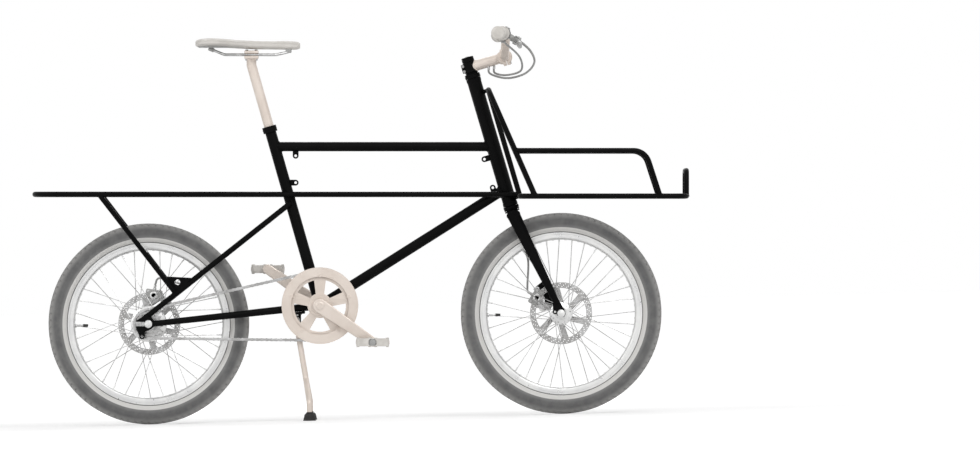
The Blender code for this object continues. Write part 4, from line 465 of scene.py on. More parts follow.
def bar(start, end, radius, end_radius=None, sides=48, flatness=1.0, across=Y, ease=0.0):
    """A straight round or flattened bar, tapered where its ends differ."""
    run = end - start
    bpy.ops.object.select_all(action="DESELECT")
    bpy.ops.mesh.primitive_cone_add(
        vertices=sides, radius1=radius, radius2=radius if end_radius is None else end_radius,
        depth=run.length, end_fill_type="NGON", location=(start + end) / 2,
        rotation=turned_to(run, across).to_euler(), scale=(1, flatness, 1),
    )
    piece = settled(bpy.context.active_object)
    return softened(piece, ease) if ease else piece


def block(centre, size, turn=Matrix.Identity(4), ease=0.0008, segments=2):
    """A box with eased edges."""
    bpy.ops.object.select_all(action="DESELECT")
    bpy.ops.mesh.primitive_cube_add(size=1, location=centre, rotation=turn.to_euler(), scale=size)
    return softened(settled(bpy.context.active_object), ease, segments)


def placed(name, data):
    """A new object in the scene."""
    piece = bpy.data.objects.new(name, data)
    bpy.context.scene.collection.objects.link(piece)
    return piece


def drawn_curve(splines, closed, flat=False):
    """A curve from lists of points, which may carry a fourth number, a share of the radius."""
    curve = bpy.data.curves.new("drawn", "CURVE")
    curve.dimensions = "2D" if flat else "3D"
    for points in splines:
        spline = curve.splines.new("POLY")
        spline.points.add(len(points) - 1)
        for slot, point in zip(spline.points, points):
            slot.co = (*point[:3], 1.0)
            slot.radius = point[3] if len(point) > 3 else 1.0
        spline.use_cyclic_u = closed
    return placed("drawn", curve)


def as_mesh(piece):
    alone(piece)
    bpy.ops.object.convert(target="MESH")
    return outward(bpy.context.active_object)


def bent(points, radius, resolution=6, closed=False):
    """A round tube or wire along points."""
    piece = drawn_curve([points], closed)
    piece.data.bevel_depth = radius
    piece.data.bevel_resolution = resolution
    piece.data.use_fill_caps = not closed
    return as_mesh(piece)


def plate(outlines, thickness, y, ease=0.0005):
    """A flat plate in the bike's plane, from its outline and the outlines of its holes."""
    splines = [[(x, z, 0.0) for x, z in outline] for outline in outlines]
    piece = drawn_curve(splines, True, flat=True)
    piece.data.fill_mode = "BOTH"
    piece.data.extrude = thickness / 2 - ease
    piece.data.bevel_depth = ease
    piece.data.offset = -ease
    piece.data.bevel_resolution = 1
    piece = as_mesh(piece)
    piece.data.transform(Matrix.Translation((0, y, 0)) @ Matrix.Rotation(pi / 2, 4, "X"))
    return piece


def turned(profile, start, direction, steps=64):
    """A closed profile of pairs of radius and height, spun about the line from start."""
    mesh = bpy.data.meshes.new("turned")
    count = len(profile)
    mesh.from_pydata(
        [(radius, 0, height) for radius, height in profile],
        [(i, (i + 1) % count) for i in range(count)], [],
    )
    piece = placed("turned", mesh)
    edit(piece)
    bpy.ops.mesh.spin(steps=steps, angle=2 * pi, center=(0, 0, 0), axis=(0, 0, 1), dupli=False)
    leave_edit()
    outward(piece)
    piece.data.transform(Matrix.Translation(start) @ turned_to(direction))
    return piece


def ball(centre, radius, flatness=1.0, direction=Y):
    bpy.ops.object.select_all(action="DESELECT")
    bpy.ops.mesh.primitive_uv_sphere_add(
        segments=20, ring_count=12, radius=radius, location=centre,
        rotation=turned_to(direction).to_euler(), scale=(1, 1, flatness),
    )
    return settled(bpy.context.active_object)


def arc(x, z, radius, start, end, steps):
    angles = [radians(start + (end - start) * k / steps) for k in range(steps + 1)]
    return [(x + radius * cos(angle), z + radius * sin(angle)) for angle in angles]


def circle(x, z, radius, steps=32):
    return arc(x, z, radius, 0, 360 * (steps - 1) / steps, steps - 1)


def circled(radius, angle):
    """The point at a radius and angle, in radians, round the zero point."""
    return (radius * cos(angle), radius * sin(angle))


def stadium(start, end, start_radius, end_radius, steps=16):
    """The outline of a flat bar with round ends."""
    run = end - start
    heading = atan2(run.z, run.x) * 180 / pi
    spread = acos((start_radius - end_radius) / run.length) * 180 / pi
    low, high = heading - spread, heading + spread
    outline = arc(end.x, end.z, end_radius, low, high, steps)
    return outline + arc(start.x, start.z, start_radius, high, heading + 360 - spread, steps)


def rounded(corners, radius, closed=False, step=radians(6)):
    """The points of a line through corners, with an arc of the given radius at each bend."""
    count = len(corners)
    points = []
    for i, corner in enumerate(corners):
        if not closed and i in (0, count - 1):
            points.append(corner)
            continue
        before = (corners[i - 1] - corner).normalized()
        after = (corners[(i + 1) % count] - corner).normalized()
        opening = acos(max(-1.0, min(1.0, before.dot(after))))
        turn = pi - opening
        if turn < radians(2):
            points.append(corner)
            continue
        bend = radius[i] if isinstance(radius, (list, tuple)) else radius
        centre = corner + (before + after).normalized() * (bend / sin(opening / 2))
        start = corner + before * (bend / tan(opening / 2)) - centre
        end = corner + after * (bend / tan(opening / 2)) - centre
        steps = max(2, ceil(turn / step))
        for k in range(steps + 1):
            t = k / steps
            points.append(centre + (start * sin((1 - t) * turn) + end * sin(t * turn)) / sin(turn))
    return points


def smooth_curve(points, steps=8):
    """Points on a smooth curve that passes through the given ones."""
    ends = [points[0] * 2 - points[1], *points, points[-1] * 2 - points[-2]]
    curve = []
    for i in range(1, len(ends) - 2):
        a, b, c, d = ends[i - 1 : i + 3]
        for k in range(steps):
            t = k / steps
            curve.append(
                ((b * 2) + (c - a) * t + (a * 2 - b * 5 + c * 4 - d) * t * t
                 + (b * 3 - a - c * 3 + d) * t ** 3) / 2
            )
    curve.append(points[-1])
    return curve


def weld(start, toward, radius, base, base_run, base_radius):
    """The rippled bead where one tube ends on another. The small tube leaves start, which is on
    the base tube's axis or inside it, towards a point."""
    bead = max(BEAD_LEAST, radius * BEAD_SHARE)
    ring = radius + bead * BEAD_LIFT
    run = (toward - start).normalized()
    along = base_run.normalized()
    turn = turned_to(run)
    flat_run = run - along * run.dot(along)
    points = []
    for k in range(BEAD_POINTS):
        angle = 2 * pi * k / BEAD_POINTS
        out = turn @ Vector((cos(angle), sin(angle), 0))
        offset = start + out * ring - base
        flat = offset - along * offset.dot(along)
        a = flat_run.length_squared
        b = flat.dot(flat_run)
        c = flat.length_squared - base_radius ** 2
        root = max(0.0, b * b - a * c) ** 0.5
        place = start + out * ring + run * ((root - b) / a)
        points.append((*place, 1 + RIPPLE * sin(2 * pi * k / RIPPLE_POINTS)))
    return bent(points, bead, 2, closed=True)


def bolt_head(place, direction, radius=0.0045, height=0.004):
    """A socket-headed bolt: a round head with a six-sided recess."""
    profile = [(0, 0), (radius, 0), (radius, height * 0.8), (radius * 0.85, height), (0, height)]
    head = turned(profile, place, direction, 24)
    recess = (place + direction * (height * 0.55), place + direction * (height * 1.5))
    return cut_away(head, bar(*recess, radius * 0.52, sides=6))


def hex_nut(place, direction, radius, height):
    nut = bar(place, place + direction * height, radius, sides=6)
    return softened(nut, radius * 0.09, 2, 50)


# Finishes. Each is one procedural material, whose pattern lies on the piece's own coordinates

FINISHES = {}


def finish(name, colour, roughness, metallic=0.0, specular=0.5, coat=0.0):
    """A new material, kept by its name."""
    material = FINISHES[name] = bpy.data.materials.new(name)
    material.use_nodes = True
    for socket, value in (
        ("Base Color", (*colour, 1)), ("Roughness", roughness), ("Metallic", metallic),
        ("Specular IOR Level", specular), ("Coat Weight", coat),
    ):
        shader_of(material).inputs[socket].default_value = value
    return material


def shader_of(material):
    return material.node_tree.nodes["Principled BSDF"]


def add(owner, kind, **values):
    """A node in a material or world, with its settings and the values of its inputs."""
    node = owner.node_tree.nodes.new(kind)
    for name, value in values.items():
        if hasattr(node, name):
            setattr(node, name, value)
        else:
            node.inputs[name.replace("_", " ")].default_value = value
    return node


def link(owner, output, socket):
    owner.node_tree.links.new(output, socket)


def computed(owner, operation, *values):
    """What a Math node makes of numbers or outputs."""
    node = add(owner, "ShaderNodeMath", operation=operation)
    for socket, value in zip(node.inputs, values):
        if isinstance(value, float):
            socket.default_value = value
        else:
            link(owner, value, socket)
    return node.outputs["Value"]


def seen_ray(owner):
    """1 for what the camera sees, also in a mirror or through glass, and 0 for other light."""
    rays = add(owner, "ShaderNodeLightPath").outputs
    first = computed(owner, "MAXIMUM", rays["Is Camera Ray"], rays["Is Glossy Ray"])
    return computed(owner, "MAXIMUM", first, rays["Is Transmission Ray"])


def surface_place(material, stretch=(1, 1, 1), centre=(0, 0, 0)):
    """The point on the piece, moved so that centre is zero, and stretched."""
    shift = [-c * s for c, s in zip(centre, stretch)]
    mapping = add(material, "ShaderNodeMapping", Scale=stretch, Location=shift)
    place = add(material, "ShaderNodeTexCoord")
    link(material, place.outputs["Object"], mapping.inputs["Vector"])
    return mapping.outputs["Vector"]


def distance_from(material, *place):
    """How far the point is from a centre, with the stretch and centre that place gives."""
    away = add(material, "ShaderNodeVectorMath", operation="LENGTH")
    link(material, surface_place(material, *place), away.inputs[0])
    return away.outputs["Value"]


def noise(material, scale, detail=4.0, rough=0.5, stretch=(1, 1, 1)):
    texture = add(material, "ShaderNodeTexNoise", Scale=scale, Detail=detail, Roughness=rough)
    link(material, surface_place(material, stretch), texture.inputs["Vector"])
    return texture.outputs["Fac"]


def cells(material, scale, feature):
    texture = add(material, "ShaderNodeTexVoronoi", feature=feature, Scale=scale)
    link(material, surface_place(material), texture.inputs["Vector"])
    return texture.outputs["Distance"]


def ranged(material, value, low, high, to_low, to_high):
    """A value's range mapped to another one."""
    node = add(
        material, "ShaderNodeMapRange", interpolation_type="SMOOTHSTEP", From_Min=low,
        From_Max=high, To_Min=to_low, To_Max=to_high,
    )
    link(material, value, node.inputs["Value"])
    return node.outputs["Result"]


def mixed(material, factor, first, second):
    """Two colours mixed; either may be the output of a node."""
    node = add(material, "ShaderNodeMix", data_type="RGBA")
    link(material, factor, node.inputs["Factor"])
    for name, colour in (("A", first), ("B", second)):
        socket = [s for s in node.inputs if s.name == name and s.type == "RGBA"][0]
        if isinstance(colour, tuple):
            socket.default_value = (*colour, 1)
        else:
            link(material, colour, socket)
    return [s for s in node.outputs if s.type == "RGBA"][0]


def tinted(material, first, second, scale, stretch=(1, 1, 1)):
    """The base colour, varying softly between two."""
    factor = ranged(material, noise(material, scale, 5.0, 0.55, stretch), 0.35, 0.65, 0, 1)
    coloured(material, mixed(material, factor, first, second))


def unevenly_glossy(material, low, high, scale, stretch=(1, 1, 1)):
    value = ranged(material, noise(material, scale, 6.0, 0.6, stretch), 0.3, 0.7, low, high)
    link(material, value, shader_of(material).inputs["Roughness"])


def raised(material, height, depth, strength=1.0):
    """Bumps of a depth in metres; bumps added later lie on those before."""
    bump = add(material, "ShaderNodeBump", Strength=strength, Distance=depth)
    link(material, height, bump.inputs["Height"])
    normal = shader_of(material).inputs["Normal"]
    if normal.is_linked:
        link(material, normal.links[0].from_socket, bump.inputs["Normal"])
    link(material, bump.outputs["Normal"], normal)


def coloured(material, colour):
    link(material, colour, shader_of(material).inputs["Base Color"])


def plain_finish(name, colour, roughness, tints, gloss=None, grain=None, bumps=None, **looks):
    """A finish between two tints, with duller patches and a fine grain where they are given."""
    material = finish(name, colour, roughness, **looks)
    tinted(material, *tints)
    if gloss:
        unevenly_glossy(material, *gloss)
    if grain:
        raised(material, noise(material, *grain), *bumps)
    return material


def tyre_rubber(name, place):
    """Mid grey rubber with moulded rings and a pale band on the sidewall. Next to the band the
    sidewall is paler; towards the tread's edge the rubber is lighter, painted light against the
    shade where the tread curves away, and dust.
    """
    material = finish(name, (0.125, 0.125, 0.125), 0.82, specular=0.3)
    distance = distance_from(material, (1, 0, 1), (place.x, 0, place.z))
    grey = mixed(
        material, ranged(material, noise(material, 34.0, 6.0, 0.6), 0.3, 0.7, 0, 1),
        (0.116, 0.116, 0.117), (0.160, 0.159, 0.157),
    )
    # paler next to the band, fading out towards the middle of the sidewall
    paler_by_band = mixed(
        material, ranged(material, distance, BAND_OUTER, TYRE_RADIUS - 0.026, 0.45, 0), grey,
        (0.300, 0.298, 0.294),
    )
    # painted light with dust: the tread lighter towards its edge, against the shade where it
    # curves away from the lamps
    tread_dust_and_painted_light = mixed(
        material, ranged(material, distance, TYRE_RADIUS - 0.018, TYRE_RADIUS - 0.003, 0, 0.9),
        paler_by_band, (0.330, 0.326, 0.318),
    )
    inside = ranged(material, distance, BAND_INNER - 0.0003, BAND_INNER + 0.0003, 0, 1)
    outside = ranged(material, distance, BAND_OUTER - 0.0003, BAND_OUTER + 0.0003, 1, 0)
    band = computed(material, "MULTIPLY", inside, outside)
    coloured(material, mixed(material, band, tread_dust_and_painted_light, (0.66, 0.65, 0.63)))
    turns = computed(material, "MULTIPLY", distance, 2 * pi / RING_PITCH)
    rings = computed(material, "SINE", turns)
    low = ranged(material, distance, BAND_OUTER, BAND_OUTER + 0.001, 1, 0)
    raised(material, computed(material, "MULTIPLY", rings, low), 0.00025, 0.5)
    raised(material, noise(material, 900.0, 3.0), 0.00012, 0.6)


def saddle_cover():
    """Grained cover in a warm grey, creased like leather."""
    material = plain_finish(
        "saddle_cover", (0.60, 0.575, 0.54), 0.6, specular=0.4,
        tints=((0.555, 0.53, 0.495), (0.645, 0.62, 0.585), 18.0), gloss=(0.50, 0.70, 50.0),
    )
    crease = ranged(material, cells(material, 520.0, "DISTANCE_TO_EDGE"), 0.0, 0.12, 0, 1)
    raised(material, crease, 0.00012, 0.7)
    raised(material, noise(material, 160.0, 4.0), 0.0002, 0.4)


def reflector():
    """A clear moulded lens over a pale backing."""
    material = finish("reflector", (0.82, 0.74, 0.70), 0.18, specular=0.6, coat=0.6)
    facet = ranged(material, cells(material, 420.0, "F1"), 0.0, 0.9, 0, 1)
    coloured(material, mixed(material, facet, (0.86, 0.80, 0.76), (0.72, 0.62, 0.58)))
    unevenly_glossy(material, 0.12, 0.26, 200.0)


plain_finish(  # powder coat: near black, satin, with a fine orange peel and duller patches
    "black_paint", (0.0015, 0.0015, 0.0015), 0.40, specular=0.06,
    tints=((0.0010, 0.0010, 0.0011), (0.0024, 0.0024, 0.0024), 9.0),
    gloss=(0.36, 0.52, 26.0), grain=(620.0, 2.0), bumps=(0.00006, 0.55),
)
plain_finish(  # champagne anodising over a bead-blasted surface, a little worn and marked
    "pale_alloy", (0.70, 0.62, 0.555), 0.42, metallic=0.25,
    tints=((0.675, 0.592, 0.527), (0.735, 0.655, 0.590), 14.0),
    gloss=(0.34, 0.50, 60.0), grain=(1500.0, 2.0), bumps=(0.00003, 0.5),
)
plain_finish(  # satin aluminium, with the fine lines that turning leaves
    "silver", (0.72, 0.72, 0.71), 0.34, metallic=0.7,
    tints=((0.68, 0.68, 0.68), (0.76, 0.76, 0.75), 20.0),
    gloss=(0.26, 0.42, 40.0), grain=(420.0, 4.0, 0.6, (1, 9, 1)), bumps=(0.00003, 0.5),
)
plain_finish(  # bright steel with faint scratches and a film of oil
    "steel", (0.46, 0.46, 0.46), 0.28, metallic=1.0,
    tints=((0.36, 0.355, 0.35), (0.52, 0.52, 0.52), 45.0),
    gloss=(0.20, 0.38, 70.0), grain=(300.0, 5.0, 0.7, (6, 1, 1)), bumps=(0.00003, 0.6),
)
plain_finish(
    "grey_plastic", (0.36, 0.36, 0.35), 0.5, tints=((0.33, 0.33, 0.325), (0.40, 0.40, 0.39), 40.0),
    gloss=(0.42, 0.60, 90.0), grain=(1400.0, 2.0), bumps=(0.00005, 0.6),
)
plain_finish(  # the hoses' smooth outer plastic
    "hose_cover", (0.30, 0.30, 0.295), 0.42,
    tints=((0.27, 0.27, 0.265), (0.34, 0.34, 0.335), 60.0), gloss=(0.36, 0.5, 120.0),
)
plain_finish(  # grips and pedals: matt pale grey, a little darker in random patches
    "pale_rubber", (0.64, 0.615, 0.58), 0.78, specular=0.3,
    tints=((0.57, 0.545, 0.51), (0.69, 0.665, 0.63), 30.0),
    gloss=(0.68, 0.88, 60.0), grain=(1100.0, 3.0), bumps=(0.00008, 0.7),
)
plain_finish(
    "black_rubber", (0.03, 0.03, 0.03), 0.75, specular=0.3,
    tints=((0.024, 0.024, 0.024), (0.045, 0.044, 0.043), 35.0), gloss=(0.62, 0.85, 70.0),
    grain=(1000.0, 3.0), bumps=(0.00008, 0.7),
)
saddle_cover()
plain_finish(
    "thread", (0.74, 0.71, 0.67), 0.85, specular=0.2,
    tints=((0.68, 0.65, 0.61), (0.80, 0.77, 0.73), 300.0),
)
reflector()
tyre_rubber("front_tyre_rubber", joint_place("front_wheel_spin"))
tyre_rubber("rear_tyre_rubber", joint_place("rear_wheel_spin"))


def painted(piece, name):
    """The piece, or a shape still to be joined into one, in this finish."""
    piece.data.materials.clear()
    piece.data.materials.append(FINISHES[name])
    return piece


def dress(shapes, name, body="frame", finish_name="black_paint", place=DRAWN, **options):
    """Joins shapes into one piece, in its place on the bike, to move with a body and to stand for
    the solid of this name. An extra piece stands for none. Shapes that are not painted yet get the
    finish. The right side's piece may be the left one's, mirrored."""
    shapes = shapes if isinstance(shapes, list) else [shapes]
    for shape in shapes:
        if not shape.data.materials:
            painted(shape, finish_name)
    piece = joined(shapes)
    if options.get("mirror"):
        piece.data.transform(Matrix.Diagonal((1, -1, 1, 1)))
        piece.data.flip_normals()
    settled(piece)
    piece.data.transform(place)
    extra = options.get("extra")
    piece.name = piece.data.name = name if extra else name + "_fine"
    alone(piece)
    bpy.ops.object.shade_smooth_by_angle(angle=radians(options.get("smooth", 38)))
    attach(piece, body)
    if not extra:
        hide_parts(name)
    return piece


# Main frame

def sign_tab(root, eye):
    """A flat tab for a sign, with its hole."""
    outline = stadium(root, eye, SIGN_TAB_RADIUS, SIGN_TAB_RADIUS, 12)
    return plate([outline, circle(eye.x, eye.z, SIGN_TAB_HOLE, 20)], SIGN_TAB_THICKNESS, 0)


LOW_EYE = seat_axis(SIGN_LOW_HEIGHT) + at(SEAT_RADIUS + SIGN_TAB_REACH, 0)
TOP_EYE = at(LOW_EYE.x, TOP_TUBE_HEIGHT - SIGN_TOP_DROP)
FRONT_EYE = head_axis(TOP_EYE.z) - HEAD_FORWARD * (HEAD_RADIUS + SIGN_TAB_REACH)
CORNER_EYE = head_axis(SIGN_LOW_HEIGHT - 0.004)
CORNER_EYE -= HEAD_FORWARD * (HEAD_RADIUS + SIGN_TAB_REACH)
CUP_TOP = HEAD_TOP - HEAD_UP * HEADSET_CUP_HEIGHT
CUP_FOOT = HEAD_BOTTOM + HEAD_UP * HEADSET_CUP_HEIGHT
TOP_TUBE = (seat_axis(TOP_TUBE_HEIGHT), head_axis(TOP_TUBE_HEIGHT))
DOWN_TUBE = (ZERO, HEAD_BOTTOM + HEAD_UP * DOWN_TUBE_HEAD_UP)
STAY_FOOT = REAR_AXLE + at(0.0041, 0.0254)
STAY_TOP = seat_axis(SEATSTAY_TOP_HEIGHT)
STAY_RUN = (STAY_TOP - STAY_FOOT).normalized()
CHAINSTAY_FOOT = REAR_AXLE + at(0.0150, 0.0010)


def stay_start(side):
    return STAY_TOP + Y * side * SEATSTAY_TOP_OFFSET


def stay_end(side):
    return STAY_FOOT + Y * side * REAR_DROPOUT_Y


def collar_ring(place, direction, inner, outer, height, ease=0.0006):
    """A plain ring whose edges are eased, from place along direction."""
    profile = [
        (outer - ease, 0), (outer, ease), (outer, height - ease), (outer - ease, height),
        (inner, height), (inner, 0),
    ]
    return turned(profile, place, direction)


def dress_head_tube():
    """The tube, its two thicker lips and the tab before the top tube."""
    lip = 0.009
    tab = sign_tab(FRONT_EYE + HEAD_FORWARD * (SIGN_TAB_REACH + 0.005), FRONT_EYE)
    parts = [
        collar_ring(place, HEAD_UP, HEAD_RADIUS - 0.0021, HEAD_RADIUS + swell, height)
        for place, swell, height in (
            (CUP_FOOT, 0, (CUP_TOP - CUP_FOOT).length),
            (CUP_FOOT, 0.0009, lip),
            (CUP_TOP - HEAD_UP * lip, 0.0009, lip),
        )
    ]
    dress([*parts, tab], "head_tube")


CUP_PROFILE = [
    (HEADSET_CUP_RADIUS - inset, height)
    for inset, height in (
        (0.0012, 0.0003), (0, 0.0016), (0, 0.0072), (0.0008, 0.0076),
        (0.0008, 0.0086), (0.0002, 0.0090), (0.0006, 0.0112), (0.0022, 0.0120),
    )
]


def dress_headset():
    """Two cups, each with a thin groove where its seal sits."""
    for name, place, direction in (
        ("upper_headset_cup", CUP_TOP, HEAD_UP), ("lower_headset_cup", CUP_FOOT, -HEAD_UP),
    ):
        profile = [(STEERER_RADIUS + 0.0006, 0.0120), (STEERER_RADIUS + 0.0006, 0.0003)]
        profile = CUP_PROFILE + profile
        dress(turned(profile, place, direction), name)


def dress_seat_tube():
    """A tube with an open mouth for the post, and the lower tab behind the side rails."""
    depth = 0.0185
    tube = bar(ZERO, SEAT_TOP - SEAT_UP * (depth - 0.001), SEAT_RADIUS, sides=64)
    mouth = (POST_RADIUS + 0.0004, SEAT_RADIUS, depth, 0.0004)
    mouth = collar_ring(SEAT_TOP - SEAT_UP * depth, SEAT_UP, *mouth)
    tab = sign_tab(LOW_EYE - at(SIGN_TAB_REACH + 0.005, 0), LOW_EYE)
    dress([tube, mouth, tab], "seat_tube")


def dress_seat_clamp():
    """A ring with two ears behind and a bolt across them."""
    foot = SEAT_TOP - SEAT_UP * 0.016
    ring = collar_ring(foot, SEAT_UP, SEAT_RADIUS + 0.0003, SEAT_RADIUS + 0.004, 0.016)
    backward = SEAT_UP.cross(Y)
    middle = foot + SEAT_UP * 0.008 + backward * (SEAT_RADIUS + 0.0015)
    turn = axes(backward, Y, backward.cross(Y))
    size = (0.0050, 0.0036, 0.0140)
    ears = [block(middle + Y * side * 0.0030, size, turn) for side in (1, -1)]
    bolt = painted(bolt_head(middle + Y * 0.0048, Y, 0.0034, 0.0026), "silver")
    dress([ring, *ears, bolt], "seat_clamp")


def dress_bottom_bracket():
    """The shell, and in each end a bearing cup with sixteen notches for its tool."""
    shell = (BB_RADIUS - 0.004, BB_RADIUS, 2 * BB_HALF_WIDTH, 0.0005)
    parts = [painted(collar_ring(-Y * BB_HALF_WIDTH, Y, *shell), "black_paint")]
    cup = (0.0127, BB_RADIUS - 0.0006, BB_CUP_FLANGE, 0.0005)
    notches = 16
    for side in (1, -1):
        parts.append(collar_ring(Y * side * BB_HALF_WIDTH, Y * side, *cup))
        for k in range(notches):
            out = at(*circled(1, 2 * pi * k / notches))
            place = out * (BB_RADIUS - 0.0004) + Y * side * (BB_HALF_WIDTH + BB_CUP_FLANGE / 2)
            size = (0.0012, BB_CUP_FLANGE * 0.8, 0.0036)
            parts.append(block(place, size, axes(out, Y, out.cross(Y)), 0.0003, 1))
    dress(parts, "bottom_bracket", "frame", "pale_alloy")


def dress_main_tubes():
    for name, ends, radius, root, eye in (
        ("top_tube", TOP_TUBE, TOP_TUBE_RADIUS, at(TOP_EYE.x, TOP_TUBE_HEIGHT - 0.004), TOP_EYE),
        ("down_tube", DOWN_TUBE, DOWN_TUBE_RADIUS, CORNER_EYE - HEAD_UP * 0.014, CORNER_EYE),
    ):
        dress([bar(*ends, radius, sides=64), sign_tab(root, eye)], name)


def on_rear_plate(along_stay, above_stay):
    """A point of the rear dropout by its place along and above the seatstay's end."""
    rise = at(-STAY_RUN.z, STAY_RUN.x)
    point = STAY_FOOT + STAY_RUN * along_stay + rise * above_stay
    return (point.x, point.z)


REAR_BRAKE_EYES = [on_rear_plate(-0.0018, 0.0244), on_rear_plate(0.0502, 0.0206)]
REAR_EYE = (-0.0160, -0.0319)


def from_rear_axle(points):
    return [(REAR_AXLE.x + x, REAR_AXLE.z + z) for x, z in points]


def rear_dropout(side):
    """The plate that holds the axle in a slot open to the rear, with an eyelet below. The left
    plate also carries the two eyes of the brake."""
    slot = 0.0055
    tail = -0.031
    outline = from_rear_axle([(tail, slot), (tail, 0.0090), (-0.0188, 0.0164)])
    if side > 0:
        lower, upper = REAR_BRAKE_EYES
        outline += [on_rear_plate(-0.0109, 0.0074)]
        outline += arc(*lower, EAR_RADIUS, 215, 75, 14)
        outline += arc(*upper, EAR_RADIUS, 150, -10, 14)
        outline += [
            on_rear_plate(0.0560, 0.0073), on_rear_plate(0.0460, 0.0073),
            on_rear_plate(0.0420, 0.0115), on_rear_plate(0.0080, 0.0145),
            on_rear_plate(0.0040, 0.0073),
        ]
    outline += [on_rear_plate(-0.0013, 0.0073), on_rear_plate(-0.0013, -SEATSTAY_RADIUS)]
    outline += from_rear_axle([(0.0147, 0.0090), (0.0260, 0.0050), (0.0260, -0.0030)])
    outline += from_rear_axle([(0.0147, -0.0070), (0.0080, -0.0125)])
    outline += from_rear_axle([(0.0000, -0.0170), (-0.0085, -0.0185)])
    outline += from_rear_axle(arc(*REAR_EYE, 0.0072, 10, -190, 20))
    outline += from_rear_axle([(tail, -0.0080), (tail, -slot)])
    outline += from_rear_axle(arc(0, 0, slot, -90, 90, 16))
    holes = [from_rear_axle(circle(*REAR_EYE, 0.0036, 20))]
    if side > 0:
        holes += [circle(*eye, 0.0033, 20) for eye in REAR_BRAKE_EYES]
    return plate([outline, *holes], DROPOUT_THICKNESS, side * REAR_DROPOUT_Y, 0.0004)


def dress_rear_triangle():
    for word, side in SIDES:
        start = Y * side * CHAINSTAY_BB_OFFSET
        end = CHAINSTAY_FOOT + Y * side * REAR_DROPOUT_Y
        stay = bar(start, end, CHAINSTAY_RADIUS, CHAINSTAY_TIP_RADIUS)
        tip = ball(end, CHAINSTAY_TIP_RADIUS)
        dress([stay, tip, rear_dropout(side)], word + "_chainstay")
        stay = bar(stay_start(side), stay_end(side), SEATSTAY_RADIUS)
        inside = [seat_axis(STAY_TOP.z + height) for height in (-0.05, 0.05)]
        stay = cut_away(stay, bar(*inside, SEAT_RADIUS - 0.0010))
        dress([stay, ball(stay_end(side), SEATSTAY_RADIUS)], word + "_seatstay")


# Rails and rear rack

RAIL_AT_SEAT = SEAT_RADIUS + RAIL_RADIUS + 0.0003
RAIL_AT_HEAD = HEAD_RADIUS + RAIL_RADIUS + 0.0003
RAIL_SPLIT_BACK = RACK_FRONT_BACK + 0.030
RACK_LAST_BAR_BACK = RACK_TAIL_BACK - RACK_CORNER_RADIUS - 0.047
RAIL_TUCK_BACK = -seat_axis(RAIL_HEIGHT).x + SEAT_RADIUS + 0.016
BACK_BAR = at(DECK_BACK_AHEAD, DECK_HEIGHT)
NOSE_BAR = at(DECK_NOSE_AHEAD, DECK_HEIGHT)
BACKREST_FOOT = at(BACKREST_FOOT_AHEAD, DECK_HEIGHT)
BACKREST_TOP = at(BACKREST_TOP_AHEAD, BACKREST_TOP_HEIGHT)
FORWARD_X = at(1, 0)


def rack_bar_places():
    first = RAIL_SPLIT_BACK + RAIL_RADIUS
    step = (RACK_LAST_BAR_BACK - first) / (RACK_BAR_COUNT - 1)
    return [at(-first - step * i, RAIL_HEIGHT) for i in range(RACK_BAR_COUNT)]


def crossbars(places, half_width, radius):
    """A bar across the bike at each place, its ends inside the side tubes."""
    reach = Y * (half_width - 0.003)
    return [bar(place + reach, place - reach, radius, sides=32) for place in places]


def dress_side_rails():
    for word, side in SIDES:
        corners = [
            at(-RAIL_SPLIT_BACK, RAIL_HEIGHT, side * RACK_HALF_WIDTH),
            at(-RACK_FRONT_BACK, RAIL_HEIGHT, side * RACK_HALF_WIDTH),
            at(-RAIL_TUCK_BACK, RAIL_HEIGHT, side * RAIL_AT_SEAT),
            at(head_axis(RAIL_HEIGHT).x - HEAD_RADIUS, RAIL_HEIGHT, side * RAIL_AT_HEAD),
            at(DECK_BACK_AHEAD, RAIL_HEIGHT, side * RAIL_AT_HEAD),
        ]
        dress(bent(rounded(corners, 0.030), RAIL_RADIUS), word + "_side_rail")


def dress_rear_rack():
    corners = [
        at(-RAIL_SPLIT_BACK, RAIL_HEIGHT, RACK_HALF_WIDTH),
        at(-RACK_TAIL_BACK, RAIL_HEIGHT, RACK_HALF_WIDTH),
        at(-RACK_TAIL_BACK, RAIL_HEIGHT, -RACK_HALF_WIDTH),
        at(-RAIL_SPLIT_BACK, RAIL_HEIGHT, -RACK_HALF_WIDTH),
    ]
    parts = [bent(rounded(corners, RACK_CORNER_RADIUS), RAIL_RADIUS)]
    parts += crossbars(rack_bar_places(), RACK_HALF_WIDTH, RACK_BAR_RADIUS)
    dress(parts, "rear_rack")


def strut_foot(side):
    run = (stay_start(side) - stay_end(side)).normalized()
    return stay_end(side) + run * STRUT_ALONG_STAY


def strut_top(side):
    return at(-STRUT_TOP_BACK, RAIL_HEIGHT, side * RACK_HALF_WIDTH)


def dress_rack_struts():
    """A strut each side, and in its fork with the seatstay a three-cornered plate with a hole."""
    for word, side in SIDES:
        foot = strut_foot(side)
        corners = [(-0.0310, 0.0440), (0.0400, 0.0400), (0.0060, -0.0020), (-0.0060, -0.0020)]
        outline = [(foot.x + x, foot.z + z) for x, z in corners]
        hole = circle(foot.x + 0.0035, foot.z + 0.0290, GUSSET_HOLE_RADIUS)
        gusset = plate([outline, hole], GUSSET_THICKNESS, foot.y + side * 0.001)
        dress([bar(foot, strut_top(side), STRUT_RADIUS, sides=40), gusset], word + "_rack_strut")


# Front deck, its backrest and rails

def slat_places():
    step = (NOSE_BAR - BACK_BAR) / (DECK_SLAT_COUNT + 1)
    return [BACK_BAR + step * (i + 1) for i in range(DECK_SLAT_COUNT)]


def head_foot(end):
    """The point of the head tube's axis that is nearest to a place before it."""
    return end - HEAD_FORWARD * (end - HEAD_BOTTOM).dot(HEAD_FORWARD)


def head_bracket(end):
    return bar(head_foot(end), end, BRACKET_RADIUS, sides=32)


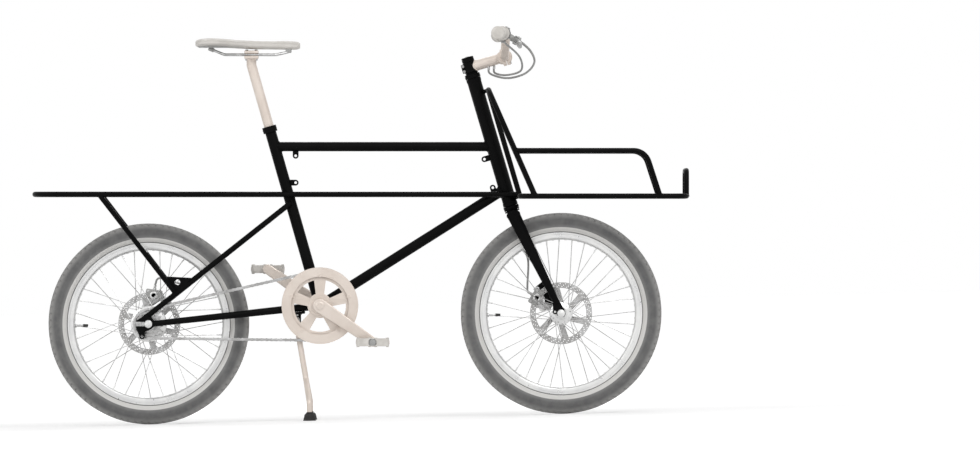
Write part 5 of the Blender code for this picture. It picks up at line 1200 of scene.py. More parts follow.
def dress_deck():
    side = Y * DECK_HALF_WIDTH
    corners = [BACK_BAR + side, NOSE_BAR + side, NOSE_BAR - side, BACK_BAR - side]
    parts = [bent(rounded(corners, DECK_CORNER_RADIUS, True), DECK_TUBE_RADIUS, closed=True)]
    parts += crossbars(slat_places(), DECK_HALF_WIDTH, DECK_SLAT_RADIUS)
    top = at(DECK_NOSE_AHEAD, DECK_HEIGHT + LIP_HEIGHT)
    half = Y * LIP_HALF_WIDTH
    corners = [NOSE_BAR + half, top + half, top - half, NOSE_BAR - half]
    parts.append(bent(rounded(corners, LIP_CORNER_RADIUS), DECK_TUBE_RADIUS))
    parts.append(head_bracket(BACK_BAR))
    dress(parts, "front_deck")


def dress_backrest():
    side = Y * DECK_HALF_WIDTH
    foot, top = BACKREST_FOOT, BACKREST_TOP
    corners = [foot + side, top + side, top - side, foot - side]
    parts = [bent(rounded(corners, BACKREST_CORNER_RADIUS), DECK_TUBE_RADIUS)]
    for way in (1, -1):
        shift = Y * way * BACKREST_STRUT_OFFSET
        parts.append(bar(BACK_BAR + shift, BACKREST_TOP + shift, DECK_TUBE_RADIUS, sides=40))
    parts.append(head_bracket(BACKREST_TOP))
    dress(parts, "backrest")


def deck_rail_corners(side):
    leg = BACKREST_TOP - BACKREST_FOOT
    drop = SIDE_RAIL_HEIGHT - DECK_HEIGHT
    start = BACKREST_FOOT + leg * (drop / leg.z)
    foot = at(SIDE_RAIL_FOOT_AHEAD, DECK_HEIGHT)
    corner = foot + at(-drop * tan(SIDE_RAIL_SLOPE), drop)
    return [point + Y * side * DECK_HALF_WIDTH for point in (start, corner, foot)]


def dress_deck_rails():
    for word, side in SIDES:
        line = rounded(deck_rail_corners(side), SIDE_RAIL_BEND)
        dress(bent(line, DECK_TUBE_RADIUS), word + "_deck_rail")


def dress_welds():
    """The beads at every joint of the frame's tubes, as one painted piece."""
    head = (HEAD_BOTTOM, HEAD_UP, HEAD_RADIUS)
    seat = (ZERO, SEAT_UP, SEAT_RADIUS)
    shell = (ZERO, Y, BB_RADIUS)
    back_bar, top_bar, nose_bar = [
        (place, Y, DECK_TUBE_RADIUS) for place in (BACK_BAR, BACKREST_TOP, NOSE_BAR)
    ]
    joints = [  # where a tube starts, a point towards its other end, its radius and its base tube
        (*TOP_TUBE, TOP_TUBE_RADIUS, *seat),
        (*reversed(TOP_TUBE), TOP_TUBE_RADIUS, *head),
        (DOWN_TUBE[1], ZERO, DOWN_TUBE_RADIUS, *head),
        (*DOWN_TUBE, DOWN_TUBE_RADIUS, *shell),
        (ZERO, SEAT_TOP, SEAT_RADIUS, *shell),
    ]
    for side in (1, -1):
        across = Y * side
        stay = (stay_start(side), stay_end(side))
        strut = (strut_top(side), strut_foot(side))
        rail = (at(0, RAIL_HEIGHT, side * RACK_HALF_WIDTH), FORWARD_X, RAIL_RADIUS)
        deck_side = (at(0, DECK_HEIGHT, side * DECK_HALF_WIDTH), FORWARD_X, DECK_TUBE_RADIUS)
        inner = across * CHAINSTAY_BB_OFFSET
        dropout = CHAINSTAY_FOOT + across * REAR_DROPOUT_Y
        joints += [(inner, dropout, CHAINSTAY_RADIUS, *shell), (*stay, SEATSTAY_RADIUS, *seat)]
        for place in rack_bar_places():
            outer = place + across * RACK_HALF_WIDTH
            joints.append((outer, place, RACK_BAR_RADIUS, *rail))
        stay_line = stay[0] - stay[1]
        joints += [
            (*strut, STRUT_RADIUS, *rail),
            (*reversed(strut), STRUT_RADIUS, stay[1], stay_line, SEATSTAY_RADIUS),
        ]
        for place in slat_places():
            outer = place + across * DECK_HALF_WIDTH
            joints.append((outer, place, DECK_SLAT_RADIUS, *deck_side))
        foot = BACKREST_FOOT + across * DECK_HALF_WIDTH
        leg = BACKREST_TOP - BACKREST_FOOT
        start, corner, end = deck_rail_corners(side)
        post = across * BACKREST_STRUT_OFFSET
        low, high = BACK_BAR + post, BACKREST_TOP + post
        rail_end = at(DECK_BACK_AHEAD, RAIL_HEIGHT, side * RAIL_AT_HEAD)
        lip = NOSE_BAR + across * LIP_HALF_WIDTH
        joints += [
            (foot, foot + leg, DECK_TUBE_RADIUS, *deck_side),
            (start, corner, DECK_TUBE_RADIUS, foot, leg, DECK_TUBE_RADIUS),
            (end, corner, DECK_TUBE_RADIUS, *deck_side), (low, high, DECK_TUBE_RADIUS, *back_bar),
            (high, low, DECK_TUBE_RADIUS, *top_bar),
            (rail_end, rail_end - FORWARD_X, RAIL_RADIUS, *back_bar),
            (lip, lip + at(0, 1), DECK_TUBE_RADIUS, *nose_bar),
        ]
    for end in (BACK_BAR, BACKREST_TOP):
        joints.append((head_foot(end), end, BRACKET_RADIUS, *head))
    dress([weld(*joint) for joint in joints], "frame_welds", extra=True)


dress_head_tube()
dress_headset()
dress_seat_tube()
dress_seat_clamp()
dress_bottom_bracket()
dress_main_tubes()
dress_rear_triangle()
dress_side_rails()
dress_rear_rack()
dress_rack_struts()
dress_deck()
dress_backrest()
dress_deck_rails()
dress_welds()


# Fork

CROWN = HEAD_BOTTOM - HEAD_UP * (0.0006 + CROWN_HEIGHT / 2)
CROWN_HALF_WIDTH = BLADE_TOP_OFFSET + BLADE_TOP_DEPTH / 2 * BLADE_FLATNESS + 0.001
BLADE_FOOT = FRONT_AXLE + at(-BLADE_TIP_HEIGHT * 0.43, BLADE_TIP_HEIGHT)
BLADE_RUN = (CROWN - BLADE_FOOT).normalized()
BLADE_REAR = at(-BLADE_RUN.z, BLADE_RUN.x)
STEERER_TOP = HEAD_TOP + HEAD_UP * STEERER_EXPOSED
FENDER_EYE = (-0.0157, 0.0040)


def on_fork_plate(along_blade, behind_blade):
    point = BLADE_FOOT + BLADE_RUN * along_blade + BLADE_REAR * behind_blade
    return (point.x, point.z)


def from_front_axle(points):
    return [(FRONT_AXLE.x + x, FRONT_AXLE.z + z) for x, z in points]


FRONT_BRAKE_EYES = [on_fork_plate(0.0014, 0.0404), on_fork_plate(0.0517, 0.0308)]


def fork_end(side):
    """The hook that the axle hangs in, open downwards, with an eyelet behind it. The left one
    reaches up behind the blade to the two eyes of the brake."""
    slot = 0.005
    tip = BLADE_TIP_DEPTH / 2
    outline = [on_fork_plate(0.012, -tip * 0.6), on_fork_plate(-0.001, -tip)]
    outline += from_front_axle([(0.0075, 0.0120)])
    outline += from_front_axle(arc(0, 0, 0.0112, 35, -55, 10))
    outline += from_front_axle([(slot, -0.0100)])
    outline += from_front_axle(arc(0, 0, slot, 0, 180, 16))
    outline += from_front_axle([(-slot, -0.0070), (-0.0095, -0.0060)])
    outline += from_front_axle(arc(*FENDER_EYE, 0.0064, -60, -210, 14))
    if side > 0:
        lower, upper = FRONT_BRAKE_EYES
        outline += [on_fork_plate(-0.0030, tip + 0.0020), on_fork_plate(-0.0060, 0.0340)]
        outline += arc(*lower, EAR_RADIUS, -60, -220, 14)
        outline += [on_fork_plate(0.0130, 0.0260), on_fork_plate(0.0330, 0.0225)]
        outline += arc(*upper, EAR_RADIUS, -90, -240, 14)
        outline += [on_fork_plate(0.0640, tip + 0.0015), on_fork_plate(0.0600, tip * 0.5)]
    outline += [on_fork_plate(0.012, tip * 0.6)]
    holes = [from_front_axle(circle(*FENDER_EYE, 0.0030, 20))]
    if side > 0:
        holes += [circle(*eye, 0.0033, 20) for eye in FRONT_BRAKE_EYES]
    return plate([outline, *holes], DROPOUT_THICKNESS, side * FRONT_DROPOUT_Y, 0.0004)


def dress_fork():
    half = Y * (CROWN_HALF_WIDTH - 0.002)
    flat = {"flatness": CROWN_HEIGHT / CROWN_DEPTH, "across": HEAD_UP, "ease": 0.002}
    crown = bar(CROWN - half, CROWN + half, CROWN_DEPTH / 2, **flat)
    race = (STEERER_RADIUS - 0.001, HEADSET_CUP_RADIUS - 0.001, 0.0040)
    race = collar_ring(HEAD_BOTTOM - HEAD_UP * 0.0045, HEAD_UP, *race)
    steerer = bar(CROWN, STEERER_TOP, STEERER_RADIUS, sides=64)
    dress([crown, race, steerer], "fork_crown", "steering")
    tip, root = BLADE_TIP_DEPTH / 2, BLADE_TOP_DEPTH / 2
    for word, side in SIDES:
        foot = BLADE_FOOT + Y * side * FRONT_DROPOUT_Y
        top = CROWN + Y * side * BLADE_TOP_OFFSET
        run = (top - foot).normalized()
        cap = (top - run * 0.001, top + run * 0.0035, root, root - 0.0012)
        pieces = [
            bar(foot, top, tip, root, flatness=BLADE_FLATNESS), ball(foot, tip, BLADE_FLATNESS),
            bar(*cap, flatness=BLADE_FLATNESS, ease=0.001), fork_end(side),
        ]
        dress(pieces, word + "_fork_blade", "steering")


# Wheels. Each is built upright round the zero point, with its axle along Y

def dress_wheel(shapes, word, part, finish_name, **options):
    """A part of the front or rear wheel, put in its place and set to spin."""
    body = word + "_wheel"
    place = Matrix.Translation(joint_place(body + "_spin"))
    dress(shapes, f"{word}_{part}", body, finish_name, place, **options)


def wheel_round(k, count):
    """A turn about the axle by k parts of a whole one."""
    return Matrix.Rotation(2 * pi * k / count, 4, "Y")


RIM_TOP = BEAD_SEAT_RADIUS + RIM_FLANGE_HEIGHT
RIM_INNER = BEAD_SEAT_RADIUS - RIM_DEPTH


def tyre_profile():
    """Across the tyre from the left bead over the tread to the right, and back inside."""
    section = TYRE_WIDTH / 2
    centre = TYRE_RADIUS - section
    neck = RIM_WIDTH / 2 - RIM_WALL - 0.0003
    bead = [(BEAD_SEAT_RADIUS + 0.0004, neck), (RIM_TOP, neck), (RIM_TOP + 0.0008, neck + 0.0033)]
    angles = [radians(-30 + 6 * k) for k in range(41)]
    outer = [(centre + section * sin(angle), section * cos(angle)) for angle in angles]
    return bead + outer + [(radius, -y) for radius, y in reversed(bead)]


def tread_groove(point):
    """Whether a face of the tread lies in a groove: a zigzag each side of the middle rib, and
    slanting cuts over the shoulders."""
    rib, zigzag, shoulder, edge = TREAD_LINES
    across = abs(point.y)
    if not rib <= across <= edge or (point.x ** 2 + point.z ** 2) ** 0.5 <= TREAD_INNER:
        return False
    turn = atan2(point.z, point.x) / (2 * pi / TREAD_PITCHES)
    lean = 0.5 * (1 if point.y > 0 else -1)
    slant = (turn + lean + across * TREAD_SLANT) % 1.0
    return across < zigzag or (slant < 0.25 and across > shoulder)


def dress_tyre(word):
    tyre = turned(tyre_profile(), ZERO, Y, 4 * TREAD_PITCHES)
    faces_where(tyre, tread_groove)
    bpy.ops.mesh.extrude_region_shrink_fatten(TRANSFORM_OT_shrink_fatten={"value": -TREAD_DEPTH})
    leave_edit()
    dress_wheel(tyre, word, "tyre", word + "_tyre_rubber", smooth=30)


def dress_rim(word):
    """A box-section rim with a wear groove, and the valve through it."""
    half = RIM_WIDTH / 2
    inside = half - RIM_WALL
    profile = [
        (RIM_TOP - 0.0008, half), (RIM_TOP - 0.0050, half), (RIM_TOP - 0.0054, half - 0.0005),
        (RIM_TOP - 0.0060, half - 0.0005), (RIM_TOP - 0.0064, half), (RIM_INNER + 0.0062, half),
        (RIM_INNER + 0.0045, half - 0.0006), (RIM_INNER + 0.0010, half * 0.62),
        (RIM_INNER, half * 0.45),
    ]
    profile += [(radius, -y) for radius, y in reversed(profile)]
    profile += [
        (RIM_TOP, -half + 0.0008), (RIM_TOP, -inside - 0.0006), (RIM_TOP - 0.0008, -inside),
        (BEAD_SEAT_RADIUS + 0.0003, -inside), (BEAD_SEAT_RADIUS, -inside + 0.0004),
        (BEAD_SEAT_RADIUS, inside - 0.0004), (BEAD_SEAT_RADIUS + 0.0003, inside),
        (RIM_TOP - 0.0008, inside), (RIM_TOP, inside + 0.0006), (RIM_TOP, half - 0.0008),
    ]
    parts = [turned(profile, ZERO, Y, 180)]
    ferrule = [(0, -0.001), (0.0034, -0.001), (0.0034, 0.0003), (0.0026, 0.0008), (0, 0.0008)]
    inward = at(-1, 0)
    for k in range(SPOKE_COUNT):
        place = at(RIM_INNER - 0.0002, 0, 0.0030 if k % 2 == 0 else -0.0030)
        parts.append(turned(ferrule, place, inward, 16))
        parts[-1].data.transform(wheel_round(k + 0.5, SPOKE_COUNT))
    foot, end, nut, cap, cap_end = [
        inward * (RIM_INNER + out) for out in (0.002, -0.024, -0.0002, -0.020, -0.033)
    ]
    parts += [
        painted(bar(foot, end, 0.0031, sides=24, ease=0.0004), "steel"),
        painted(hex_nut(nut, -inward, 0.0058, 0.0028), "steel"),
        painted(bar(cap, cap_end, 0.0041, 0.0033, sides=12, ease=0.0006), "black_rubber"),
    ]
    dress_wheel(parts, word, "rim", "silver")


def spoke(side, outward, root, flange_y):
    """A spoke from its bent head at the flange to its nipple at the rim, at the zero turn."""
    lean = outward * SPOKE_LEAN
    offset = outward * (FLANGE_THICKNESS / 2 + SPOKE_RADIUS)
    start = at(root, 0, side * (flange_y + offset))
    reach = RIM_INNER - 0.0005
    end = at(reach * cos(lean), reach * sin(lean), side * (0.0035 + outward * 0.0012))
    through = at(root - 0.0008, 0, side * (flange_y - offset))
    wire = bent([through, start + (end - start) * 0.012, end], SPOKE_RADIUS, 2)
    head = ball(through, 0.0018, 0.6)
    run = (start - end).normalized()
    nipple = bar(end - run * 0.001, end + run * 0.011, 0.0020, 0.0017, sides=12)
    return joined([painted(wire, "steel"), painted(head, "steel"), painted(nipple, "silver")])


def dress_hub(word, length, barrel, flange, left, right, rotor_inset, driven):
    """The hub shell with its flanges, and the wheel's spokes laced in crossing pairs. Barrel and
    flange are radii; left and right are how far the flanges stand from the middle."""
    end = length / 2 - LOCKNUT_LENGTH - 0.0008
    half = FLANGE_THICKNESS / 2
    rotor = length / 2 - rotor_inset - ROTOR_THICKNESS / 2
    rotor_seat = 0.024
    bore = 0.0056
    neck = 0.0164
    profile = [
        (bore, end), (neck - 0.003, end), (neck, end - 0.003), (neck, rotor), (rotor_seat, rotor),
        (rotor_seat, rotor - 0.004), (barrel * 0.86, left + half + 0.0045),
        (barrel * 0.92, left + half + 0.0015), (barrel + 0.002, left + half),
        (flange - 0.0006, left + half), (flange, left + half - 0.0006),
        (flange, left - half + 0.0006), (flange - 0.0006, left - half),
        (barrel + 0.003, left - half), (barrel + 0.0006, left - half - 0.0022),
        (barrel, left - half - 0.0060), (barrel - 0.0008, (left - right) / 2),
        (barrel, -right + half + 0.0060), (barrel + 0.0006, -right + half + 0.0022),
        (barrel + 0.003, -right + half), (flange - 0.0006, -right + half),
        (flange, -right + half - 0.0006), (flange, -right - half + 0.0006),
        (flange - 0.0006, -right - half), (barrel * 0.86, -right - half - 0.0030),
    ]
    if driven:
        profile += [(0.022, -CHAIN_LINE + 0.0014), (neck, -CHAIN_LINE + 0.0014)]
    profile += [(neck, -end + 0.003), (neck - 0.003, -end), (bore, -end)]
    parts = [turned(profile, ZERO, Y, 72)]
    for side, flange_y in ((1, left), (-1, right)):
        kinds = [spoke(side, outward, flange - 0.0045, flange_y) for outward in (1, -1)]
        for k in range(SPOKE_COUNT // 2):
            place = wheel_round(2 * k + (0 if side > 0 else 1), SPOKE_COUNT)
            parts.append(copied(kinds[k % 2], place))
        for kind in kinds:
            bpy.data.objects.remove(kind)
    if driven:
        parts.append(painted(sprocket(), "steel"))
    dress_wheel(parts, word, "hub", "silver")


def pitch_radius(teeth):
    return CHAIN_PITCH / 2 / sin(pi / teeth)


TOOTH = [(-0.30, -0.0012), (-0.17, -0.0036), (0.0, -0.0041), (0.17, -0.0036), (0.30, -0.0012)]
TOOTH += [(0.42, 0.0022), (0.58, 0.0022)]  # shares of a tooth's turn, and heights over the pitch


def toothed(teeth, phase=0.0):
    """The outline of a chainwheel: a round hollow for each roller, and a tooth between."""
    radius = pitch_radius(teeth)
    step = 2 * pi / teeth
    outline = []
    for k in range(teeth):
        for share, height in TOOTH:
            outline.append(circled(radius + height, step * (k + share) + phase))
    return outline


def sprocket():
    outlines = [toothed(SPROCKET_TEETH), circle(0, 0, 0.0152, 32)]
    for k in range(6):
        outlines.append(circle(*circled(0.0245, 2 * pi * k / 6), 0.0030, 14))
    return plate(outlines, TOOTH_THICKNESS, -CHAIN_LINE, 0.0003)


def window(inner, outer, middle, half_angle, lean=0.0):
    """The outline of an opening between two arms, in degrees about the centre."""
    low = arc(0, 0, inner, middle - half_angle * 0.7, middle + half_angle * 0.7, 8)
    high = arc(0, 0, outer, middle + half_angle + lean, middle - half_angle + lean, 14)
    return low + high


def dress_rotor(word, length, inset):
    """A braking ring with rows of holes, on six swept arms, with six bolts."""
    outlines = [circle(0, 0, ROTOR_RADIUS, 144), circle(0, 0, 0.0170, 40)]
    pitch = 360 / ROTOR_ARMS
    for k in range(ROTOR_ARMS):
        outlines.append(window(0.030, ROTOR_RADIUS - ROTOR_TRACK, pitch * k, pitch * 0.38, 9))
    step = 2 * pi / ROTOR_HOLES_IN_ROW
    for k in range(ROTOR_HOLES_IN_ROW):
        for share, radius in ROTOR_HOLE_ROWS:
            centre = circled(radius, step * (k + share))
            outlines.append(circle(*centre, ROTOR_HOLE_RADIUS, 8))
    y = length / 2 - inset
    parts = [plate(outlines, ROTOR_THICKNESS, y, 0.0002)]
    for k in range(ROTOR_ARMS):
        centre = circled(ROTOR_BOLT_CIRCLE, 2 * pi * (k + 0.5) / ROTOR_ARMS)
        place = at(*centre, y + ROTOR_THICKNESS / 2)
        parts.append(painted(bolt_head(place, Y, 0.0030, 0.0016), "silver"))
    dress_wheel(parts, word, "rotor", "steel")


def dress_axle(word, length, radius, body):
    """The axle with its locknuts, and outside each plate a washer and a nut."""
    half = length / 2
    end = half + AXLE_OVERHANG
    parts = [bar(Y * -end, Y * end, radius, sides=32, ease=0.0006)]
    for side in (1, -1):
        way = Y * side
        parts.append(hex_nut(way * (half - LOCKNUT_LENGTH), way, 0.0088, LOCKNUT_LENGTH - 0.0003))
        outer = half + DROPOUT_THICKNESS + 0.0006
        parts.append(collar_ring(way * outer, way, radius, 0.0100, 0.0014, 0.0003))
        parts.append(hex_nut(way * (outer + 0.0014), way, 0.0096, 0.0066))
    place = Matrix.Translation(joint_place(word + "_wheel_spin")) @ PITCHED
    dress(parts, word + "_axle", body, "silver", place)


dress_fork()
for wheel_word in ("front", "rear"):
    dress_tyre(wheel_word)
    dress_rim(wheel_word)
dress_hub(
    "front", FRONT_HUB_LENGTH, barrel=0.017, flange=0.029, left=0.021, right=0.031,
    rotor_inset=FRONT_ROTOR_INSET, driven=False,
)
dress_hub(
    "rear", REAR_HUB_LENGTH, barrel=0.037, flange=0.046, left=0.029, right=0.029,
    rotor_inset=REAR_ROTOR_INSET, driven=True,
)
dress_rotor("front", FRONT_HUB_LENGTH, FRONT_ROTOR_INSET)
dress_rotor("rear", REAR_HUB_LENGTH, REAR_ROTOR_INSET)
dress_axle("front", FRONT_HUB_LENGTH, radius=0.0045, body="steering")
dress_axle("rear", REAR_HUB_LENGTH, radius=0.005, body="frame")


# Drive

def spaced(points, count):
    """Points that part a line into this many equal runs."""
    lengths = [0.0]
    for before, after in zip(points, points[1:]):
        lengths.append(lengths[-1] + (after - before).length)
    places = []
    i = 1
    for k in range(count + 1):
        along = lengths[-1] * k / count
        while i < len(points) - 1 and lengths[i] < along:
            i += 1
        share = (along - lengths[i - 1]) / (lengths[i] - lengths[i - 1])
        places.append(points[i - 1].lerp(points[i], min(1.0, share)))
    return places


def on_wheel(centre, radius, angles):
    return [centre + at(cos(angle), sin(angle)) * radius for angle in angles]


LARGE_RADIUS = pitch_radius(CHAINRING_TEETH)
SMALL_RADIUS = pitch_radius(SPROCKET_TEETH)
CHAIN_HEADING = atan2(REAR_AXLE.z, REAR_AXLE.x) % (2 * pi)
CHAIN_LEAN = acos((LARGE_RADIUS - SMALL_RADIUS) / REAR_AXLE.length)
PEDAL_INNER = CRANK_INNER + CRANK_THICKNESS + 0.0045


def chain_pins():
    """A pin in each hollow that the chain lies in, and evenly along its two straight runs."""
    step, small_step = 2 * pi / CHAINRING_TEETH, 2 * pi / SPROCKET_TEETH
    low, high = CHAIN_HEADING - CHAIN_LEAN, CHAIN_HEADING + CHAIN_LEAN
    ring = [high + step * k for k in range(int((2 * pi - 2 * CHAIN_LEAN) / step) + 1)]
    hollows = range(ceil((low - PITCH) / small_step), int((high - PITCH) / small_step) + 1)
    cog = [small_step * k + PITCH for k in hollows]
    runs = (
        on_wheel(ZERO, LARGE_RADIUS, [ring[-1], CHAIN_HEADING + 2 * pi - CHAIN_LEAN])
        + on_wheel(REAR_AXLE, SMALL_RADIUS, [low, cog[0]]),
        on_wheel(REAR_AXLE, SMALL_RADIUS, [cog[-1], high])
        + on_wheel(ZERO, LARGE_RADIUS, [ring[0] - 0.001, ring[0]]),
    )
    lengths = [sum((b - a).length for a, b in zip(run, run[1:])) for run in runs]
    counts = [round(length / CHAIN_PITCH) for length in lengths]
    if (len(ring) + len(cog) - 2 + sum(counts)) % 2:
        counts[1] += 1
    pins = on_wheel(ZERO, LARGE_RADIUS, ring) + spaced(runs[0], counts[0])[1:-1]
    return pins + on_wheel(REAR_AXLE, SMALL_RADIUS, cog) + spaced(runs[1], counts[1])[1:-1]


def link_plate(y):
    """A side plate of one link, narrower at its waist."""
    middle = CHAIN_PITCH / 2
    outline = arc(CHAIN_PITCH, 0, LINK_RADIUS, -122, 122, 8) + [(middle, LINK_WAIST)]
    outline += arc(0, 0, LINK_RADIUS, 58, 302, 8) + [(middle, -LINK_WAIST)]
    return plate([outline], LINK_THICKNESS, y, 0.00022)


def dress_chain():
    pins = chain_pins()
    plates = [[link_plate(y), link_plate(-y)] for y in LINK_OFFSETS]
    reach, roller = Y * PIN_REACH, Y * ROLLER_REACH
    for x in (0.0, CHAIN_PITCH):
        centre = at(x, 0)
        plates[0].append(bar(centre - reach, centre + reach, PIN_RADIUS, sides=12, ease=0.0003))
        plates[1].append(bar(centre - roller, centre + roller, ROLLER_RADIUS, sides=14))
    links = [joined(plates[0]), joined(plates[1])]
    pieces = []
    for k, pin in enumerate(pins):
        run = pins[(k + 1) % len(pins)] - pin
        place = Matrix.Translation(pin - Y * CHAIN_LINE) @ turned_to(run).to_3x3().to_4x4()
        stretch = Matrix.Scale(run.length / CHAIN_PITCH, 4, (1, 0, 0))
        pieces.append(copied(links[k % 2], place @ Matrix.Rotation(-pi / 2, 4, "Y") @ stretch))
    for link_shape in links:
        bpy.data.objects.remove(link_shape)
    dress(pieces, "chain", "frame", "steel")


def dress_chainring():
    """The toothed ring on its five arms, the boss behind it, and the guard ring on five bolts."""
    pitch = 360 / SPIDER_WINDOWS
    windows = [window(0.032, 0.0665, 90 + pitch * (k + 0.5), 23) for k in range(SPIDER_WINDOWS)]
    teeth = toothed(CHAINRING_TEETH, CHAIN_HEADING + CHAIN_LEAN)
    hole = SPINDLE_RADIUS + 0.0003
    ring = plate([teeth, *windows, circle(0, 0, hole, 32)], TOOTH_THICKNESS, -CHAIN_LINE, 0.0004)
    face = -Y * (CHAIN_LINE - 0.001)
    boss = collar_ring(face, -Y, hole, 0.0220, 0.0086, 0.0012)
    web = collar_ring(face, -Y, hole, 0.0300, 0.0040, 0.0012)
    inner, outer = GUARD_RADIUS - GUARD_WIDTH, GUARD_RADIUS
    profile = [
        (inner, -0.0007), (inner, 0.0007), (inner + 0.0005, 0.0011), (outer - 0.0040, 0.0011),
        (outer - 0.0034, 0.0006), (outer - 0.0006, 0.0008), (outer, 0.0002), (outer, -0.0006),
        (outer - 0.0006, -0.0011), (inner + 0.0005, -0.0011),
    ]
    guard_y = CHAIN_LINE + CHAIN_WIDTH / 2 + 0.0012 + GUARD_THICKNESS / 2
    pieces = [ring, boss, web, turned(profile, -Y * guard_y, -Y, 128)]
    for k in range(SPIDER_WINDOWS):
        centre = at(*circled(SPIDER_BOLT_CIRCLE, radians(90 + pitch * k)))
        inside = centre - Y * CHAIN_LINE
        pieces.append(bar(inside, centre - Y * guard_y, 0.0040, sides=20))
        pieces.append(bolt_head(centre - Y * (guard_y + 0.0006), -Y, 0.0052, 0.0016))
        pieces.append(bar(centre - Y * (CHAIN_LINE - 0.0028), inside, 0.0050, sides=20))
    dress(pieces, "chainring", "crank", "pale_alloy")


def crank_end(side):
    """The pedal's axis on the left or right crank."""
    return at(cos(CRANK_ANGLE), sin(CRANK_ANGLE)) * (-side * CRANK_LENGTH)


CRANK_CAP = [(0, -0.002), (0.0118, -0.002), (0.0118, 0.0006), (0.0108, 0.0016)]
CRANK_CAP += [(0.0060, 0.0022), (0.0052, 0.0014), (0, 0.0014)]


def dress_cranks():
    """Both arms, the spindle with its cover bolts, and the pedals' spindles."""
    half = CRANK_INNER + CRANK_THICKNESS / 2
    pieces = [bar(-Y * half, Y * half, SPINDLE_RADIUS, ease=0.0006)]
    for side in (1, -1):
        end = crank_end(side)
        out = Y * side
        big = stadium(ZERO, end, CRANK_BIG_END, CRANK_SMALL_END, 18)
        arm = plate([big], CRANK_THICKNESS, side * half, 0.0026)
        pieces.append(softened(arm, 0.0010, 3, 20))
        face = out * (CRANK_INNER + CRANK_THICKNESS)
        pieces.append(turned(CRANK_CAP, face, out, 48))
        pieces.append(bar(face - out * 0.001, face + out * 0.0018, 0.0038, sides=6))
        tip = end + out * (PEDAL_INNER + PEDAL_WIDTH - 0.004)
        flats = end + out * (CRANK_INNER + CRANK_THICKNESS - 0.0005)
        washer = (PEDAL_SPINDLE_RADIUS - 0.0004, 0.0090, 0.0012, 0.0003)
        for shape in (
            bar(end + out * half, tip, PEDAL_SPINDLE_RADIUS, ease=0.0004),
            collar_ring(flats, out, *washer), hex_nut(flats + out * 0.001, out, 0.0084, 0.0030),
        ):
            pieces.append(painted(shape, "steel"))
    dress(pieces, "cranks", "crank", "pale_alloy")


def pedal_outline(length, width, radius):
    corners = [
        at(x * length / 2, 0, y * width / 2) for x, y in ((1, 1), (-1, 1), (-1, -1), (1, -1))
    ]
    return [(point.x, point.y) for point in rounded(corners, radius, True, radians(10))]


def dress_pedal(word, side):
    """A pale block with two windows, raised grips on both faces, a bearing sleeve with a grey
    plastic cap and reflectors fore and aft."""
    inner = (PEDAL_LENGTH - PEDAL_SLEEVE_WIDTH) / 2 - PEDAL_RIM
    middle = PEDAL_SLEEVE_WIDTH / 2 + inner / 2
    outlines = [pedal_outline(PEDAL_LENGTH - 0.003, PEDAL_WIDTH, 0.009)]
    for way in (1, -1):
        hole = pedal_outline(inner, PEDAL_WIDTH - 2 * PEDAL_RIM, 0.004)
        outlines.append([(x + way * middle, y) for x, y in hole])
    body = plate(outlines, PEDAL_HEIGHT - 0.0040, 0, 0.0016)
    body.data.transform(Matrix.Rotation(-pi / 2, 4, "X"))
    pieces = [body]
    rows = ((PEDAL_LENGTH / 2 - 0.0058, 11), (PEDAL_SLEEVE_WIDTH / 2 - 0.0060, 8))
    for way in (1, -1):
        for row, count in rows:
            for k in range(count):
                for up in (1, -1):
                    place = at(way * row, up * STUD_HEIGHT, (k - (count - 1) / 2) * STUD_PITCH)
                    pieces.append(block(place, (0.0070, 0.0042, 0.0036), ease=0.0009))
        place = at(way * (PEDAL_LENGTH / 2 - 0.0014), 0)
        lens = block(place, (0.0026, 0.052, 0.0110), ease=0.0012)
        pieces.append(painted(lens, "reflector"))
    hole, half = PEDAL_SPINDLE_RADIUS + 0.0003, PEDAL_WIDTH / 2
    sleeve = [
        (hole, -half), (0.0106, -half), (0.0112, -half + 0.0008), (0.0112, half - 0.0008),
        (0.0106, half), (hole, half),
    ]
    pieces.append(turned(sleeve, ZERO, Y, 40))
    out = Y * side
    cap = [(0, 0), (0.0084, 0), (0.0084, 0.0006), (0.0070, 0.0015), (0, 0.0015)]
    pieces.append(painted(turned(cap, out * (half - 0.0003), out, 32), "grey_plastic"))
    for piece in pieces:
        piece.data.transform(Matrix.Translation(crank_end(side) + out * (PEDAL_INNER + half)))
    dress(pieces, word + "_pedal", word + "_pedal_body", "pale_rubber")


dress_chain()
dress_chainring()
dress_cranks()
for word, side in SIDES:
    dress_pedal(word, side)


# Stem, bar and controls

COLLAR = HEAD_TOP + HEAD_UP * STEM_RISE
BAR_CENTRE = COLLAR + HEAD_FORWARD * STEM_REACH
BAR_KNEE = BAR_CENTRE + at(0.0030, BAR_RISE, BAR_KNEE_OUT)
BAR_END = at(BAR_KNEE.x - BAR_SWEEP_BACK, BAR_KNEE.z, BAR_HALF_WIDTH)
BAR_RUN = (BAR_END - BAR_KNEE).normalized()
REACH = at(cos(LEVER_DROP), -sin(LEVER_DROP))
FORWARD = (REACH - BAR_RUN * REACH.dot(BAR_RUN)).normalized()
HINGE = BAR_RUN.cross(FORWARD).normalized()


def on_bar(out):
    """The point of the bar's left half at a distance from the middle."""
    return BAR_KNEE + BAR_RUN * ((out - BAR_KNEE.y) / BAR_RUN.y)


PIVOT = on_bar(LEVER_MOUNT_OUT) + BAR_RUN * 0.012 + FORWARD * LEVER_PIVOT_REACH


